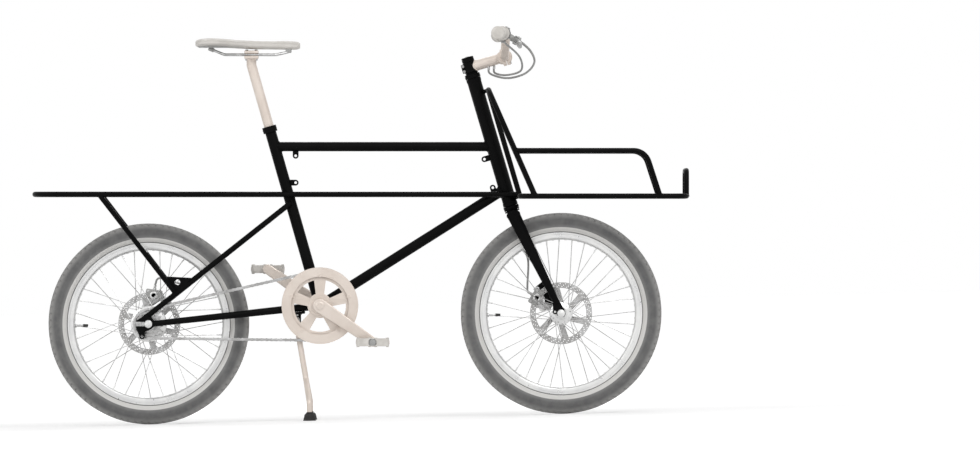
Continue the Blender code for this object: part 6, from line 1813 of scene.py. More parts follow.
def dress_stem():
    """Black spacers and top cap over a split clamp on the steerer; a pale welded arm; and a
    faceplate on four bolts."""
    turn = turned_to(HEAD_UP)
    foot = HEAD_TOP + HEAD_UP * 0.0004
    inner = STEERER_RADIUS + 0.0003
    wide = STEM_COLLAR_RADIUS - 0.0022
    slim = wide * 0.94
    low = COLLAR - HEAD_UP * (STEM_COLLAR_HEIGHT / 2 - 0.0012)
    top = COLLAR + HEAD_UP * (STEM_COLLAR_HEIGHT / 2)
    back = COLLAR - HEAD_FORWARD * wide
    clamp = collar_ring(low, HEAD_UP, inner, wide, STEM_COLLAR_HEIGHT - 0.0024, 0.0012)
    lug = block(back, (0.0100, 0.0180, STEM_COLLAR_HEIGHT - 0.0070), turn, 0.0022, 3)
    collar = [sliced(shape, back, (0.0300, 0.0016, 0.060), turn) for shape in (clamp, lug)]
    spacer = (low - HEAD_UP * 0.0006 - foot).length
    collar.append(collar_ring(foot, HEAD_UP, inner, wide - 0.0004, spacer))
    rise = (STEERER_TOP - top).dot(HEAD_UP)
    collar.append(collar_ring(top - HEAD_UP * 0.0006, HEAD_UP, inner, slim, rise))
    cap = [(0, 0), (slim, 0), (slim, 0.0022), (wide * 0.86, 0.0036), (0, 0.0040)]
    collar.append(turned(cap, STEERER_TOP, HEAD_UP, 48))
    for shift in (-0.0068, 0.0068):
        place = back + HEAD_UP * shift - HEAD_FORWARD * 0.0004
        collar.append(painted(bolt_head(place - Y * 0.0088, -Y, 0.0038, 0.0026), "steel"))
        collar.append(painted(bar(place, place + Y * 0.0100, 0.0026, sides=20), "steel"))
    bolt = bolt_head(STEERER_TOP + HEAD_UP * 0.0034, HEAD_UP, 0.0052, 0.0022)
    collar.append(painted(bolt, "steel"))
    dress(collar, "stem_collar_fine", "steering", extra=True)

    ends = (COLLAR + HEAD_FORWARD * 0.006, BAR_CENTRE - HEAD_FORWARD * 0.006)
    pieces = [bar(*ends, STEM_ARM_RADIUS + 0.0006, STEM_ARM_RADIUS - 0.0010)]
    barrel = (BAR_RADIUS, STEM_CLAMP_RADIUS, STEM_CLAMP_WIDTH, 0.0012)
    barrel = collar_ring(BAR_CENTRE - Y * STEM_CLAMP_WIDTH / 2, Y, *barrel)
    split = BAR_CENTRE + HEAD_FORWARD * 0.0012
    pieces.append(sliced(barrel, split, (0.0012, 0.080, 0.080), turn))
    for up in (1, -1):
        for way in (1, -1):
            ear = split + HEAD_UP * up * 0.0172 + Y * way * 0.0145
            for shift in (0.0050, -0.0050):
                size = (0.0088, 0.0110, 0.0100)
                pieces.append(block(ear + HEAD_FORWARD * shift, size, turn, 0.0020, 3))
            head = ear + HEAD_FORWARD * 0.0090
            pieces.append(painted(bolt_head(head, HEAD_FORWARD, 0.0040, 0.0026), "steel"))
    for place, base, radius, toward in (
        (COLLAR, HEAD_UP, wide, BAR_CENTRE), (BAR_CENTRE, Y, STEM_CLAMP_RADIUS, COLLAR),
    ):
        pieces.append(weld(place, toward, STEM_ARM_RADIUS, place, base, radius - 0.0002))
    dress(pieces, "stem", "steering", "pale_alloy")


def dress_handlebar():
    middle = BAR_CENTRE + Y * 0.040
    corners = [BAR_END, BAR_KNEE, middle, mirrored(middle), mirrored(BAR_KNEE), mirrored(BAR_END)]
    line = rounded(corners, BAR_BEND_RADIUS, step=radians(2))
    dress(bent(line, BAR_RADIUS, 10), "handlebar", "steering", "pale_alloy")


def dress_grip(word, mirror):
    """Ribbed round the palm, with a flange at the thumb and a closed, ringed end."""
    hole, radius = BAR_RADIUS + 0.0002, GRIP_RADIUS
    length, flange = -GRIP_LENGTH, GRIP_FLANGE_RADIUS
    profile = [(0, 0.0040), (0.0060, 0.0040), (0.0070, 0.0034), (0.0125, 0.0034)]
    profile += [(radius - 0.0010, 0.0022), (radius + 0.0006, 0.0002)]
    profile += [(radius + 0.0006, -0.0040), (radius - 0.0014, -0.0062)]
    count = 22
    pitch = (GRIP_LENGTH - 0.0200) / count
    for k in range(count):
        swell = 0.0006 * sin(pi * k / count) - 0.0010
        for drop, share in ((0.0009, 0), (0, 0.30), (0, 0.62), (0.0009, 0.90)):
            profile.append((radius + swell - drop, -0.0085 - pitch * k - pitch * share))
    profile += [
        (radius - 0.0004, length + 0.0085), (flange, length + 0.0050), (flange, length + 0.0012),
        (flange - 0.0010, length), (hole, length), (hole, 0.0004), (0, 0.0004),
    ]
    piece = turned(profile, BAR_END, BAR_RUN, 64)
    dress(piece, word + "_grip", "steering", "pale_rubber", mirror=mirror, smooth=50)


def dress_lever_mount(word, mirror):
    """Split clamp on the bar, neck, master cylinder with its hose nut, and the lever's lugs."""
    ring_radius = BAR_RADIUS + 0.0040
    centre = on_bar(LEVER_MOUNT_OUT)
    ring_start = centre - BAR_RUN * LEVER_MOUNT_WIDTH / 2
    turn = axes(FORWARD, BAR_RUN, -HINGE)
    ring = (BAR_RADIUS + 0.0002, ring_radius, LEVER_MOUNT_WIDTH, 0.0009)
    ring = collar_ring(ring_start, BAR_RUN, *ring)
    pieces = [sliced(ring, centre, (0.0010, 0.0400, 0.0400), turn)]
    for up in (1, -1):
        ear = centre + HINGE * up * (ring_radius + 0.0006)
        for way in (1, -1):
            size = (0.0052, LEVER_MOUNT_WIDTH - 0.003, 0.0060)
            pieces.append(block(ear + FORWARD * way * 0.0032, size, turn, 0.0010))
        head = ear - FORWARD * 0.0056
        pieces.append(painted(bolt_head(head, -FORWARD, 0.0026, 0.0018), "steel"))
    neck_start = centre + FORWARD * (ring_radius - 0.001)
    neck_end = centre + FORWARD * (LEVER_PIVOT_REACH - MASTER_RADIUS + 0.004)
    pieces.append(bar(neck_start, neck_end, 0.0074, 0.0060, 32, 0.9, BAR_RUN))
    end = PIVOT - BAR_RUN * 0.0080
    r = MASTER_RADIUS
    cylinder = [
        (0, 0), (r - 0.0010, 0), (r, 0.0010), (r, 0.0120), (r - 0.0006, 0.0130),
        (r - 0.0006, 0.0150), (r, 0.0160), (r, 0.0380), (r - 0.0016, 0.0420), (0.0056, 0.0436),
        (0.0056, MASTER_LENGTH - 0.0060), (0, MASTER_LENGTH - 0.0060),
    ]
    pieces.append(turned(cylinder, end, -BAR_RUN, 48))
    start = end - BAR_RUN * (MASTER_LENGTH - 0.0064)
    pieces.append(painted(hex_nut(start, -BAR_RUN, 0.0048, 0.0060), "steel"))
    tank = end - BAR_RUN * 0.0260 - HINGE * 0.0040
    pieces.append(block(tank, (0.0140, 0.0260, 0.0110), turn, 0.0024, 3))
    for way in (1, -1):
        screw = tank + BAR_RUN * way * 0.0095 - HINGE * 0.0052
        pieces.append(painted(bolt_head(screw, -HINGE, 0.0017, 0.0009), "steel"))
    for up in (1, -1):
        place = PIVOT + HINGE * up * 0.0080 - BAR_RUN * 0.0018
        pieces.append(block(place, (0.0110, 0.0160, 0.0030), turn, 0.0009))
    pin = bar(PIVOT - HINGE * 0.0100, PIVOT + HINGE * 0.0100, 0.0022, sides=24, ease=0.0004)
    pieces.append(painted(pin, "steel"))
    dress(pieces, word + "_lever_mount", "steering", "grey_plastic", mirror=mirror)


def dress_brake_lever(word, mirror):
    """A forged blade that swells towards its round tip, on an eye with a reach screw."""
    eye = collar_ring(PIVOT - HINGE * 0.0055, HINGE, 0.0024, 0.0065, 0.0110, 0.0008)
    corners = [
        PIVOT + BAR_RUN * 0.0046 + FORWARD * 0.0022,
        PIVOT + BAR_RUN * 0.030 + FORWARD * LEVER_SPREAD * 0.8,
        PIVOT + BAR_RUN * (LEVER_LENGTH - 0.018) + FORWARD * LEVER_SPREAD,
        PIVOT + BAR_RUN * LEVER_LENGTH + FORWARD * (LEVER_SPREAD + 0.006),
    ]
    line = rounded(corners, 0.020, step=radians(3))
    total = (line[-1] - line[0]).length
    shaped = []
    for point in line:
        share = (point - line[0]).length / total
        shaped.append((*point, 1.0 - 0.30 * sin(pi * min(1.0, share * 1.15)) ** 2))
    blade = bent(shaped, LEVER_RADIUS, 8)
    tip = ball(line[-1], LEVER_RADIUS * 1.05)
    root = PIVOT + BAR_RUN * 0.0190 + FORWARD * 0.0078
    screw = painted(bolt_head(root, HINGE, 0.0024, 0.0050), "steel")
    pieces = [eye, blade, tip, screw]
    dress(pieces, word + "_brake_lever", word + "_lever", "grey_plastic", mirror=mirror)


def dress_shifter():
    """A fluted rubber twist grip with a smooth collar and a pointer."""
    inner = BAR_RADIUS + 0.0006
    start = mirrored(on_bar(BAR_HALF_WIDTH) - BAR_RUN * (GRIP_LENGTH + 0.0006 + SHIFTER_LENGTH))
    run = mirrored(BAR_RUN)
    flutes = []
    for k in range(144):
        angle = 2 * pi * k / 144
        swell = max(-0.6, min(0.6, sin(18 * angle) * 1.4)) / 0.6
        flutes.append(circled(SHIFTER_RADIUS - 0.0007 + 0.0007 * swell, angle))
    body = plate([flutes, circle(0, 0, inner, 48)], SHIFTER_LENGTH - 0.0100, 0, 0.0006)
    middle = start + run * (SHIFTER_LENGTH / 2 + 0.0045)
    upright = Matrix.Rotation(pi / 2, 4, "X")
    body.data.transform(Matrix.Translation(middle) @ turned_to(run) @ upright)
    neck = collar_ring(start, run, inner, SHIFTER_RADIUS - 0.0008, 0.0092, 0.0012)
    place = start + run * 0.0046 + HEAD_UP * (SHIFTER_RADIUS - 0.0014)
    mark = painted(block(place, (0.0016, 0.0050, 0.0016), ease=0.0004), "pale_alloy")
    pieces = [outward(body), painted(neck, "grey_plastic"), mark]
    dress(pieces, "twist_shifter", "shifter", "black_rubber")


def dress_bar_hose(name, points, mirror=False, guide=None):
    """A hose with a sleeve at each end, and a guide where it leaves the shifter."""
    line = smooth_curve(points, 8)
    pieces = [bent(line, HOSE_RADIUS, 5)]
    if guide:
        body = block(guide, (0.0120, 0.0160, 0.0066), ease=0.0020, segments=3)
        pieces.append(painted(body, "grey_plastic"))
    for place, after in ((line[0], line[2]), (line[-1], line[-3])):
        run = (after - place).normalized()
        sleeve = bar(place, place + run * 0.0090, HOSE_RADIUS + 0.0006, sides=24, ease=0.0003)
        pieces.append(painted(sleeve, "steel"))
    dress(pieces, name, "steering", "hose_cover", mirror=mirror)


def dress_bar_hoses():
    port = COLLAR + HEAD_FORWARD * 0.046 - HEAD_UP * (STEM_ARM_RADIUS + GAP)
    start = PIVOT - BAR_RUN * (0.0080 + MASTER_LENGTH + 0.0008)
    loop = [
        start, start - BAR_RUN * 0.018, BAR_CENTRE + at(0.066, 0.016, 0.052),
        BAR_CENTRE + at(0.076, -0.014, 0.034), BAR_CENTRE + at(0.052, -0.042, 0.018),
        BAR_CENTRE + at(0.006, -0.054, 0.009), port + at(0.004, -0.016, 0.007),
        port + at(0, 0.003, 0.006),
    ]
    twist = mirrored(on_bar(BAR_HALF_WIDTH) - BAR_RUN * (GRIP_LENGTH + SHIFTER_LENGTH * 0.5))
    outlet = twist - at(0, SHIFTER_RADIUS + HOSE_RADIUS + GAP)
    gear = [
        outlet + Y * 0.010, outlet + at(0.006, -0.004, 0.026),
        BAR_CENTRE + at(0.038, 0.000, -0.080), BAR_CENTRE + at(0.042, -0.034, -0.040),
        BAR_CENTRE + at(0.006, -0.046, -0.014), port + at(0.016, -0.014, 0),
        port + at(0.014, 0.005, 0),
    ]
    dress_bar_hose("left_brake_hose", loop)
    dress_bar_hose("right_brake_hose", loop, True)
    dress_bar_hose("gear_cable", gear, guide=gear[0] + at(0, 0.0006, 0.0020))


dress_stem()
dress_handlebar()
for word, side in SIDES:
    dress_grip(word, side < 0)
    dress_lever_mount(word, side < 0)
    dress_brake_lever(word, side < 0)
dress_shifter()
dress_bar_hoses()


# Calipers and their hoses

def caliper_frame(axle, eyes):
    """The directions from the axle out to the caliper, and along it from eye to eye."""
    out = ((at(*eyes[0]) + at(*eyes[1])) / 2 - axle).normalized()
    return out, Y.cross(out)


def dress_caliper(word, axle, eyes, rotor_y, plate_y, body):
    """Two halves bolted over the rotor, with pads, piston caps, a bleed screw and an adapter."""
    out, run = caliper_frame(axle, eyes)
    turn = axes(run, Y, out)
    inner_face = plate_y - DROPOUT_THICKNESS / 2 - GAP
    outer_face = plate_y + DROPOUT_THICKNESS / 2 + GAP
    body_inner = rotor_y - CALIPER_INSIDE - CALIPER_SLOT / 2
    width = inner_face - body_inner - 0.0006
    middle = axle + out * (ROTOR_RADIUS + CALIPER_BRIDGE - CALIPER_REACH / 2)
    middle.y = (body_inner + inner_face) / 2
    shell = block(middle, (CALIPER_LENGTH, width, CALIPER_REACH), turn, 0.0042, 4)
    slot_middle = axle + out * (ROTOR_RADIUS + 0.0015 - CALIPER_REACH / 2) + Y * rotor_y
    long = CALIPER_LENGTH * 1.2
    shell = sliced(shell, slot_middle, (long, CALIPER_SLOT, CALIPER_REACH), turn)
    pieces = [sliced(shell, middle + Y * (rotor_y - middle.y), (long, 0.0006, 0.06), turn)]
    adapter = stadium(at(*eyes[0]), at(*eyes[1]), MOUNT_EAR_RADIUS, MOUNT_EAR_RADIUS, 16)
    adapter_y = inner_face - ADAPTER_THICKNESS / 2
    pieces.append(painted(plate([adapter], ADAPTER_THICKNESS, adapter_y, 0.0008), "silver"))
    for place in eyes:
        head = at(*place) + Y * outer_face
        pieces.append(painted(collar_ring(head, Y, 0.0031, 0.0062, 0.0008, 0.0002), "steel"))
        pieces.append(painted(bolt_head(head + Y * 0.0007, Y, MOUNT_BOLT_HEAD, 0.0036), "steel"))
        shaft = bar(head, head - Y * (outer_face - adapter_y), MOUNT_BOLT_RADIUS, sides=24)
        pieces.append(painted(shaft, "steel"))
    side = middle - Y * (width / 2 - 0.0004) - out * 0.0030
    cap = [(0, -0.0020), (0.0098, -0.0020), (0.0098, 0.0006), (0.0086, 0.0012)]
    cap += [(0.0060, 0.0012), (0.0054, 0.0004), (0, 0.0004)]
    pieces.append(painted(turned(cap, side, -Y, 48), "silver"))
    for way in (1, -1):
        pin = middle - Y * (width / 2 - 0.0002) + run * way * 0.0160 + out * 0.0055
        pieces.append(painted(bolt_head(pin, -Y, 0.0030, 0.0012), "steel"))
        pad = slot_middle + Y * way * (CALIPER_SLOT / 2 - 0.0001) - out * 0.0035
        backing = block(pad, (0.0230, 0.0008, 0.0180), turn, 0.0002, 1)
        pieces.append(painted(backing, "steel"))
    port = axle + out * (ROTOR_RADIUS + CALIPER_BRIDGE - 0.0010) + Y * (rotor_y - 0.0085)
    pieces.append(painted(hex_nut(port, out, 0.0050, 0.0050), "steel"))
    bleed = middle + out * (CALIPER_REACH / 2 - 0.0006) + run * 0.0140 - Y * 0.0060
    pieces.append(painted(hex_nut(bleed, out, 0.0030, 0.0022), "steel"))
    pieces.append(painted(bar(bleed, bleed + out * 0.0050, 0.0017, 0.0014, 20), "steel"))
    dress(pieces, word + "_caliper", body, "grey_plastic")


def dress_caliper_hose(word, axle, eyes, rotor_y, body, onward):
    """A hose with a sleeve at the caliper, to where it enters the stay or follows the blade."""
    out = caliper_frame(axle, eyes)[0]
    port = axle + out * (ROTOR_RADIUS + CALIPER_BRIDGE + 0.001) + Y * (rotor_y - 0.0085)
    line = smooth_curve([port, *onward(port, out)], 8)
    start = port + out * 0.0036
    sleeve = bar(start, start + out * 0.0080, 0.0033, sides=24, ease=0.0004)
    pieces = [bent(line, HOSE_RADIUS, 5), painted(sleeve, "steel"), ball(line[-1], HOSE_RADIUS)]
    dress(pieces, word + "_caliper_hose", body, "hose_cover")


def up_the_stay(port, out):
    run = (stay_start(1) - stay_end(1)).normalized()
    inside = -Y * (SEATSTAY_RADIUS + HOSE_RADIUS + GAP + 0.0005)
    stay = [stay_end(1) + run * length + inside for length in REAR_HOSE_STEPS]
    return [port + out * 0.014, port + out * 0.026 + at(0.012, 0.003), *stay]


def up_the_blade(port, out):
    foot = BLADE_FOOT + Y * FRONT_DROPOUT_Y
    top = CROWN + Y * BLADE_TOP_OFFSET
    points = [port + out * 0.012, port + out * 0.018 + at(0.004, 0.014)]
    for share in (0.52, 0.66, 0.80):
        depth = (BLADE_TIP_DEPTH + (BLADE_TOP_DEPTH - BLADE_TIP_DEPTH) * share) / 2
        points.append(foot + (top - foot) * share + BLADE_REAR * (depth + HOSE_RADIUS + 0.0018))
    return points


FRONT_BRAKE = (FRONT_AXLE, FRONT_BRAKE_EYES, FRONT_HUB_LENGTH / 2 - FRONT_ROTOR_INSET)
REAR_BRAKE = (REAR_AXLE, REAR_BRAKE_EYES, REAR_HUB_LENGTH / 2 - REAR_ROTOR_INSET)
dress_caliper("front", *FRONT_BRAKE, FRONT_DROPOUT_Y, "steering")
dress_caliper("rear", *REAR_BRAKE, REAR_DROPOUT_Y, "frame")
dress_caliper_hose("front", *FRONT_BRAKE, "steering", up_the_blade)
dress_caliper_hose("rear", *REAR_BRAKE, "frame", up_the_stay)


# Saddle and post

RAILS_HEIGHT = SADDLE_HEIGHT - SADDLE_DEPTH - SADDLE_RAIL_DROP
SEAM_LEAN = 0.36  # radians round the cover, from its side edge
STITCH_PITCH = 0.0042
CLAMP_PLATE = (0.036, 2 * SADDLE_RAIL_OFFSET + 0.012, 0.007)


def dress_seatpost():
    """The post, and a two-bolt clamp whose grooved plates hold the saddle's rails."""
    below = RAILS_HEIGHT - SADDLE_RAIL_RADIUS - GAP - CLAMP_PLATE[2] / 2
    above = RAILS_HEIGHT + SADDLE_RAIL_RADIUS + GAP + CLAMP_PLATE[2] / 2
    top = seat_axis(below - CLAMP_PLATE[2] / 2 - 0.016)
    head = at(top.x, below)
    line = rounded([SEAT_TOP - SEAT_UP * POST_INSERT, top, head], 0.020, step=radians(2))
    pieces = [bent(line, POST_RADIUS, 12)]
    length, breadth, height = CLAMP_PLATE
    for z, toward in ((below, 1), (above, -1)):
        eased = {"ease": 0.0018, "segments": 3}
        pieces.append(block(at(top.x, z), (length, breadth * 0.80, height), **eased))
        for side in (1, -1):
            place = at(top.x, z + toward * 0.0006, side * SADDLE_RAIL_OFFSET)
            jaw = block(place, (length, 0.0125, height), **eased)
            rail = at(top.x, RAILS_HEIGHT, side * SADDLE_RAIL_OFFSET)
            long = at(length, 0)
            groove = bar(rail - long, rail + long, SADDLE_RAIL_RADIUS + 0.0002, sides=32)
            pieces.append(cut_away(jaw, groove))
    for way in (1, -1):
        x = top.x + way * 0.0120
        for shape in (
            bar(at(x, below - 0.0070), at(x, above + 0.0040), 0.0024, sides=20),
            bolt_head(at(x, below - 0.0034), at(0, -1), 0.0042, 0.0042),
            hex_nut(at(x, above + 0.0034), at(0, 1), 0.0042, 0.0028),
        ):
            pieces.append(painted(shape, "steel"))
    dress(pieces, "seatpost", "seat", "pale_alloy")


def dress_saddle_rails():
    """One bent wire from its rear end to the nose and back, with a plug at each place it ends."""
    under = SADDLE_HEIGHT - SADDLE_DEPTH - GAP
    arm = [
        at(-SADDLE_BACK + 0.040, under - SADDLE_RAIL_RADIUS, SADDLE_RAIL_OFFSET + 0.006),
        at(-SADDLE_BACK + 0.075, RAILS_HEIGHT, SADDLE_RAIL_OFFSET),
        at(-SADDLE_NOSE_BACK - 0.062, RAILS_HEIGHT, SADDLE_RAIL_OFFSET),
        at(-SADDLE_NOSE_BACK - 0.032, under - 0.0110, 0.009),
    ]
    corners = arm + [mirrored(point) for point in reversed(arm)]
    radii = [0, 0.018, 0.018, 0.006, 0.006, 0.018, 0.018, 0]
    pieces = [bent(rounded(corners, radii, step=radians(4)), SADDLE_RAIL_RADIUS, 6)]
    for end, after in (arm[:2], corners[:-3:-1]):
        toward = (after - end).normalized()
        plug = bar(end - toward * 0.006, end + toward * 0.008, 0.0052, sides=24, ease=0.001)
        pieces.append(painted(plug, "grey_plastic"))
    nose = at(arm[3].x + 0.002, under - 0.0070)
    plug = block(nose, (0.0150, 0.0260, 0.0120), ease=0.0030, segments=3)
    pieces.append(painted(plug, "grey_plastic"))
    dress(pieces, "saddle_rails", "seat", "steel")


SADDLE_SECTIONS = [  # share of the length, of the width and of the depth, and drop of the top
    (0.000, 0.42, 0.45, 0.0080),
    (0.018, 0.70, 0.80, 0.0040),
    (0.060, 0.93, 1.00, 0.0012),
    (0.140, 1.00, 1.00, 0.0000),
    (0.250, 0.97, 1.00, 0.0010),
    (0.370, 0.78, 1.00, 0.0030),
    (0.500, 0.53, 1.00, 0.0048),
    (0.640, 0.36, 1.00, 0.0058),
    (0.790, 0.28, 1.00, 0.0062),
    (0.920, 0.25, 1.00, 0.0070),
    (0.980, 0.20, 0.85, 0.0090),
    (1.000, 0.11, 0.50, 0.0130),
]


def hump(x, width):
    """1 in the middle, falling softly to 0 on both sides."""
    return 2.718 ** -((x / width) ** 2)


def saddle_point(section, angle):
    """The cover's surface at one section, round from the left edge over the top."""
    share, breadth, depth, drop = section
    half_width = breadth * SADDLE_WIDTH / 2
    half_depth = depth * SADDLE_DEPTH / 2
    c, s = cos(angle), sin(angle)
    y = half_width * abs(c) ** 0.72 * (1 if c > 0 else -1)
    z = half_depth * abs(s) ** 0.80 * (1 if s > 0 else -1)
    if s < 0:  # narrower and flatter below
        y *= 1 - 0.16 * s * s
        z *= 0.86
    else:
        channel = max(0.0, min(1.0, (share - 0.10) / 0.15, (0.84 - share) / 0.2))
        z -= CHANNEL_DEPTH * channel * hump(y, CHANNEL_WIDTH)
        seat = max(0.0, 1 - ((share - 0.19) / 0.17) ** 2)
        z += SEAT_RISE * seat * hump(abs(y) - SEAT_OFFSET, SEAT_WIDTH)
    x = -SADDLE_BACK + share * (SADDLE_BACK - SADDLE_NOSE_BACK)
    return at(x, SADDLE_HEIGHT - drop - half_depth + z, y)


def dress_saddle():
    """A cover drawn tight over foam, with a channel and a piped and stitched seam on each
    side."""
    sections = smooth_curve([Vector(section) for section in SADDLE_SECTIONS], 4)
    count = 56
    turn = [2 * pi * k / count for k in range(count)]
    points = [saddle_point(section, angle) for section in sections for angle in turn]
    faces = [tuple(range(count)), tuple(range(len(points) - count, len(points)))]
    for low in range(0, len(points) - count, count):
        for k in range(count):
            after = (k + 1) % count
            faces.append((low + k, low + after, low + count + after, low + count + k))
    mesh = bpy.data.meshes.new("cover")
    mesh.from_pydata(points, [], faces)
    cover = outward(placed("cover", mesh))
    smooth = cover.modifiers.new("rounded", "SUBSURF")
    smooth.levels = smooth.render_levels = 1
    alone(cover)
    bpy.ops.object.modifier_apply(modifier=smooth.name)
    pieces = [cover]
    stitch = [at(-0.0014, 0), at(-0.0007, 0.0004), at(0.0007, 0.0004), at(0.0014, 0)]
    stitch = painted(bent(stitch, 0.00036, 2), "thread")
    up = at(0, 1)
    seamed = sections[4:-5]
    for lean, above in ((SEAM_LEAN, SEAM_LEAN + 0.10), (pi - SEAM_LEAN, pi - SEAM_LEAN - 0.10)):
        pieces.append(bent([saddle_point(section, lean) for section in seamed], 0.0009, 3))
        line = [saddle_point(section, above) for section in seamed]
        length = sum((b - a).length for a, b in zip(line, line[1:]))
        line = spaced(line, int(length / STITCH_PITCH))
        for a, b in zip(line, line[1:]):
            run = (b - a).normalized()
            place = Matrix.Translation((a + b) / 2) @ turned_to(up - run * run.z, run.cross(up))
            pieces.append(copied(stitch, place))
    bpy.data.objects.remove(stitch)
    fine = dress(pieces, "saddle", "seat", "saddle_cover", smooth=60)


def dress_saddle_base():
    """The moulded base under the cover, set in from its edge."""
    sections = smooth_curve([Vector(section) for section in SADDLE_SECTIONS], 3)[4:-5]
    low = SADDLE_HEIGHT - SADDLE_DEPTH
    left = [
        (saddle_point(section, 0).x, section[1] * SADDLE_WIDTH / 2 * 0.80) for section in sections
    ]
    outline = left + [(x, -y) for x, y in reversed(left)]
    base = plate([outline], 0.0060, 0, 0.0012)
    base.data.transform(Matrix.Rotation(-pi / 2, 4, "X"))
    base.data.transform(Matrix.Translation(at(0, low + 0.0032)))
    dress(outward(base), "saddle_base_fine", "seat", "grey_plastic", extra=True)


dress_seatpost()
dress_saddle_rails()
dress_saddle()
dress_saddle_base()


# Centre stand

STAND_PIVOT = at(-STAND_PIVOT_BACK, -STAND_PIVOT_DROP)


def on_ground(x, y, height):
    """A point over the ground, in the drawing's coordinates."""
    return DRAWN.inverted() @ Vector((x, y, height))


def dress_stand_bracket():
    """A plate under the chainstays, held by two bolts, with a welded lug for the stand's tube."""
    slope = atan2(CHAINSTAY_FOOT.z, CHAINSTAY_FOOT.x) + pi
    share = (STAND_PIVOT_BACK - STAND_BRACKET_LENGTH / 2) / -CHAINSTAY_FOOT.x
    stay = CHAINSTAY_RADIUS + (CHAINSTAY_TIP_RADIUS - CHAINSTAY_RADIUS) * share
    down = at(sin(slope), -cos(slope))
    on_stay = CHAINSTAY_FOOT * (STAND_PIVOT_BACK / -CHAINSTAY_FOOT.x)
    centre = on_stay + down * (stay + GAP + STAND_BRACKET_THICKNESS / 2)
    turn = Matrix.Rotation(-slope, 4, "Y")
    size = (STAND_BRACKET_LENGTH, 2 * CHAINSTAY_BB_OFFSET + 0.030, STAND_BRACKET_THICKNESS)
    pieces = [block(centre, size, turn, 0.0012, 3)]
    half = STAND_LUG_LENGTH / 2
    x = STAND_PIVOT.x
    outline = [(x + half, centre.z), (x - half, centre.z)]
    outline += arc(x, STAND_PIVOT.z, half, 180, 360, 24)
    hole = circle(x, STAND_PIVOT.z, STAND_TUBE_RADIUS + GAP, 40)
    pieces.append(plate([outline, hole], STAND_LUG_WIDTH, 0, 0.0012))
    foot = centre + down * (STAND_BRACKET_THICKNESS / 2)
    corners = []
    for along, across in ((1, 1), (-1, 1), (-1, -1), (1, -1)):
        corners.append(foot + turn @ at(along * half, 0, across * STAND_LUG_WIDTH / 2))
    pieces.append(bent(rounded(corners, 0.002, closed=True), 0.0016, 3, closed=True))
    for way in (1, -1):
        head = centre + down * (STAND_BRACKET_THICKNESS / 2 - 0.0004) + Y * way * 0.0310
        pieces.append(painted(bolt_head(head, down, 0.0055, 0.0040), "steel"))
    dress(pieces, "stand_bracket")


def dress_stand():
    """One tube bent from foot to foot through the lug, and a ribbed rubber foot on each leg."""
    foot_x = (DRAWN @ STAND_PIVOT).x + STAND_FOOT_AHEAD
    top = on_ground(foot_x, STAND_SPREAD, STAND_FOOT_HEIGHT * 0.7)
    ankle = on_ground(foot_x, STAND_SPREAD, STAND_FOOT_HEIGHT + STAND_ANKLE_HEIGHT)
    shoulder = STAND_PIVOT + Y * STAND_LEG_OFFSET
    down = at((ankle - STAND_PIVOT).x, (ankle - STAND_PIVOT).z)
    knee = shoulder + down * STAND_KNEE_SHARE
    half = [top, ankle, knee, shoulder]
    corners = half + [mirrored(point) for point in reversed(half)]
    line = rounded(corners, STAND_BEND_RADIUS, step=radians(3))
    pieces = [bent(line, STAND_TUBE_RADIUS, 8)]
    for side in (1, -1):
        floor = on_ground(foot_x, side * STAND_SPREAD, 0)
        up = (on_ground(foot_x, side * STAND_SPREAD, 1) - floor).normalized()
        r = STAND_FOOT_RADIUS
        h = STAND_FOOT_HEIGHT
        boot = [(0, 0), (r - 0.0010, 0), (r, 0.0012)]
        for k in range(4):
            z = 0.0030 + k * 0.0034
            narrow = 1 - 0.25 * z / h
            boot += [(r * narrow, z - 0.0010), (r * narrow, z + 0.0010)]
            boot += [(r * narrow - 0.0011, z + 0.0014), (r * narrow - 0.0011, z + 0.0020)]
        boot += [(r * 0.72, h - 0.0012), (r * 0.66, h), (0.0078, h)]
        boot += [(0.0078, h + 0.0040), (0, h + 0.0040)]
        pieces.append(painted(turned(boot, floor, up, 48), "black_rubber"))
        inside = STAND_PIVOT + Y * side * (STAND_LUG_WIDTH / 2 + 0.0004)
        washer = collar_ring(inside, Y * side, STAND_TUBE_RADIUS, 0.0105, 0.0016, 0.0004)
        pieces.append(painted(washer, "steel"))
    dress(pieces, "centre_stand", "stand", "pale_alloy")


dress_stand_bracket()
dress_stand()


# Studio

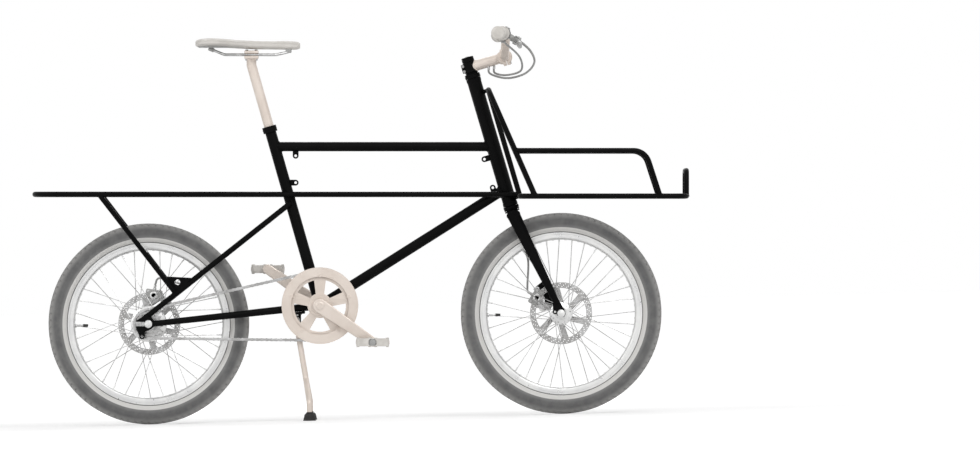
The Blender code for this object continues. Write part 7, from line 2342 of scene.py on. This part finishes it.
def floor_paint():
    """Matt white, lifted where it is looked at or mirrored, so that only shadows show on it."""
    material = finish("floor_paint", (0.90, 0.90, 0.90), 0.9, specular=0.1)
    lift = ranged(material, distance_from(material), *FLOOR_REACH, *FLOOR_LIFT)
    glow = add(material, "ShaderNodeEmission", Color=WHITE)
    strength = computed(material, "MULTIPLY", seen_ray(material), lift)
    link(material, strength, glow.inputs["Strength"])
    both = add(material, "ShaderNodeAddShader")
    link(material, shader_of(material).outputs["BSDF"], both.inputs[0])
    link(material, glow.outputs["Emission"], both.inputs[1])
    output = material.node_tree.nodes["Material Output"]
    link(material, both.outputs["Shader"], output.inputs["Surface"])
    return material


def make_floor():
    bpy.ops.object.select_all(action="DESELECT")
    bpy.ops.mesh.primitive_plane_add(size=FLOOR_SIZE, location=(0, 0, -FLOOR_DROP))
    floor = settled(bpy.context.active_object)
    floor.name = "floor"
    floor.data.materials.append(floor_paint())


def make_world():
    """White all round, where seen; the light that it gives is softer."""
    world = bpy.data.worlds.new("studio")
    bpy.context.scene.world = world
    world.use_nodes = True
    nodes = world.node_tree.nodes
    light = nodes["Background"]
    light.inputs["Color"].default_value = WHITE
    light.inputs["Strength"].default_value = SKY_LIGHT
    white = add(world, "ShaderNodeBackground", Color=WHITE, Strength=1.0)
    blend = add(world, "ShaderNodeMixShader")
    link(world, seen_ray(world), blend.inputs["Fac"])
    link(world, light.outputs["Background"], blend.inputs[1])
    link(world, white.outputs["Background"], blend.inputs[2])
    link(world, blend.outputs["Shader"], nodes["World Output"].inputs["Surface"])


def make_lamp(name, place, size, power):
    data = bpy.data.lights.new(name, "AREA")
    data.shape = "SQUARE"
    data.size = size
    data.energy = power
    lamp = placed(name, data)
    lamp.location = place
    lamp.rotation_euler = (LAMP_TARGET - Vector(place)).to_track_quat("-Z", "Y").to_euler()


def make_camera():
    """Square to the bike's right side, and rolled so that the side rails lie level."""
    data = bpy.data.cameras.new("camera")
    data.lens = CAMERA_LENS
    data.sensor_width = CAMERA_SENSOR
    data.clip_end = 200
    camera = placed("camera", data)
    away = VIEW_WIDTH * CAMERA_LENS / CAMERA_SENSOR
    eye = DRAWN @ at(*VIEW_MIDDLE, -away)
    turn = DRAWN.to_3x3() @ Matrix(((1, 0, 0), (0, 0, -1), (0, 1, 0)))
    camera.matrix_world = Matrix.Translation(eye) @ turn.to_4x4()
    bpy.context.scene.camera = camera


make_floor()
make_world()
for lamp in LAMPS:
    make_lamp(*lamp)
make_camera()
bpy.context.scene.view_settings.view_transform = "Standard"
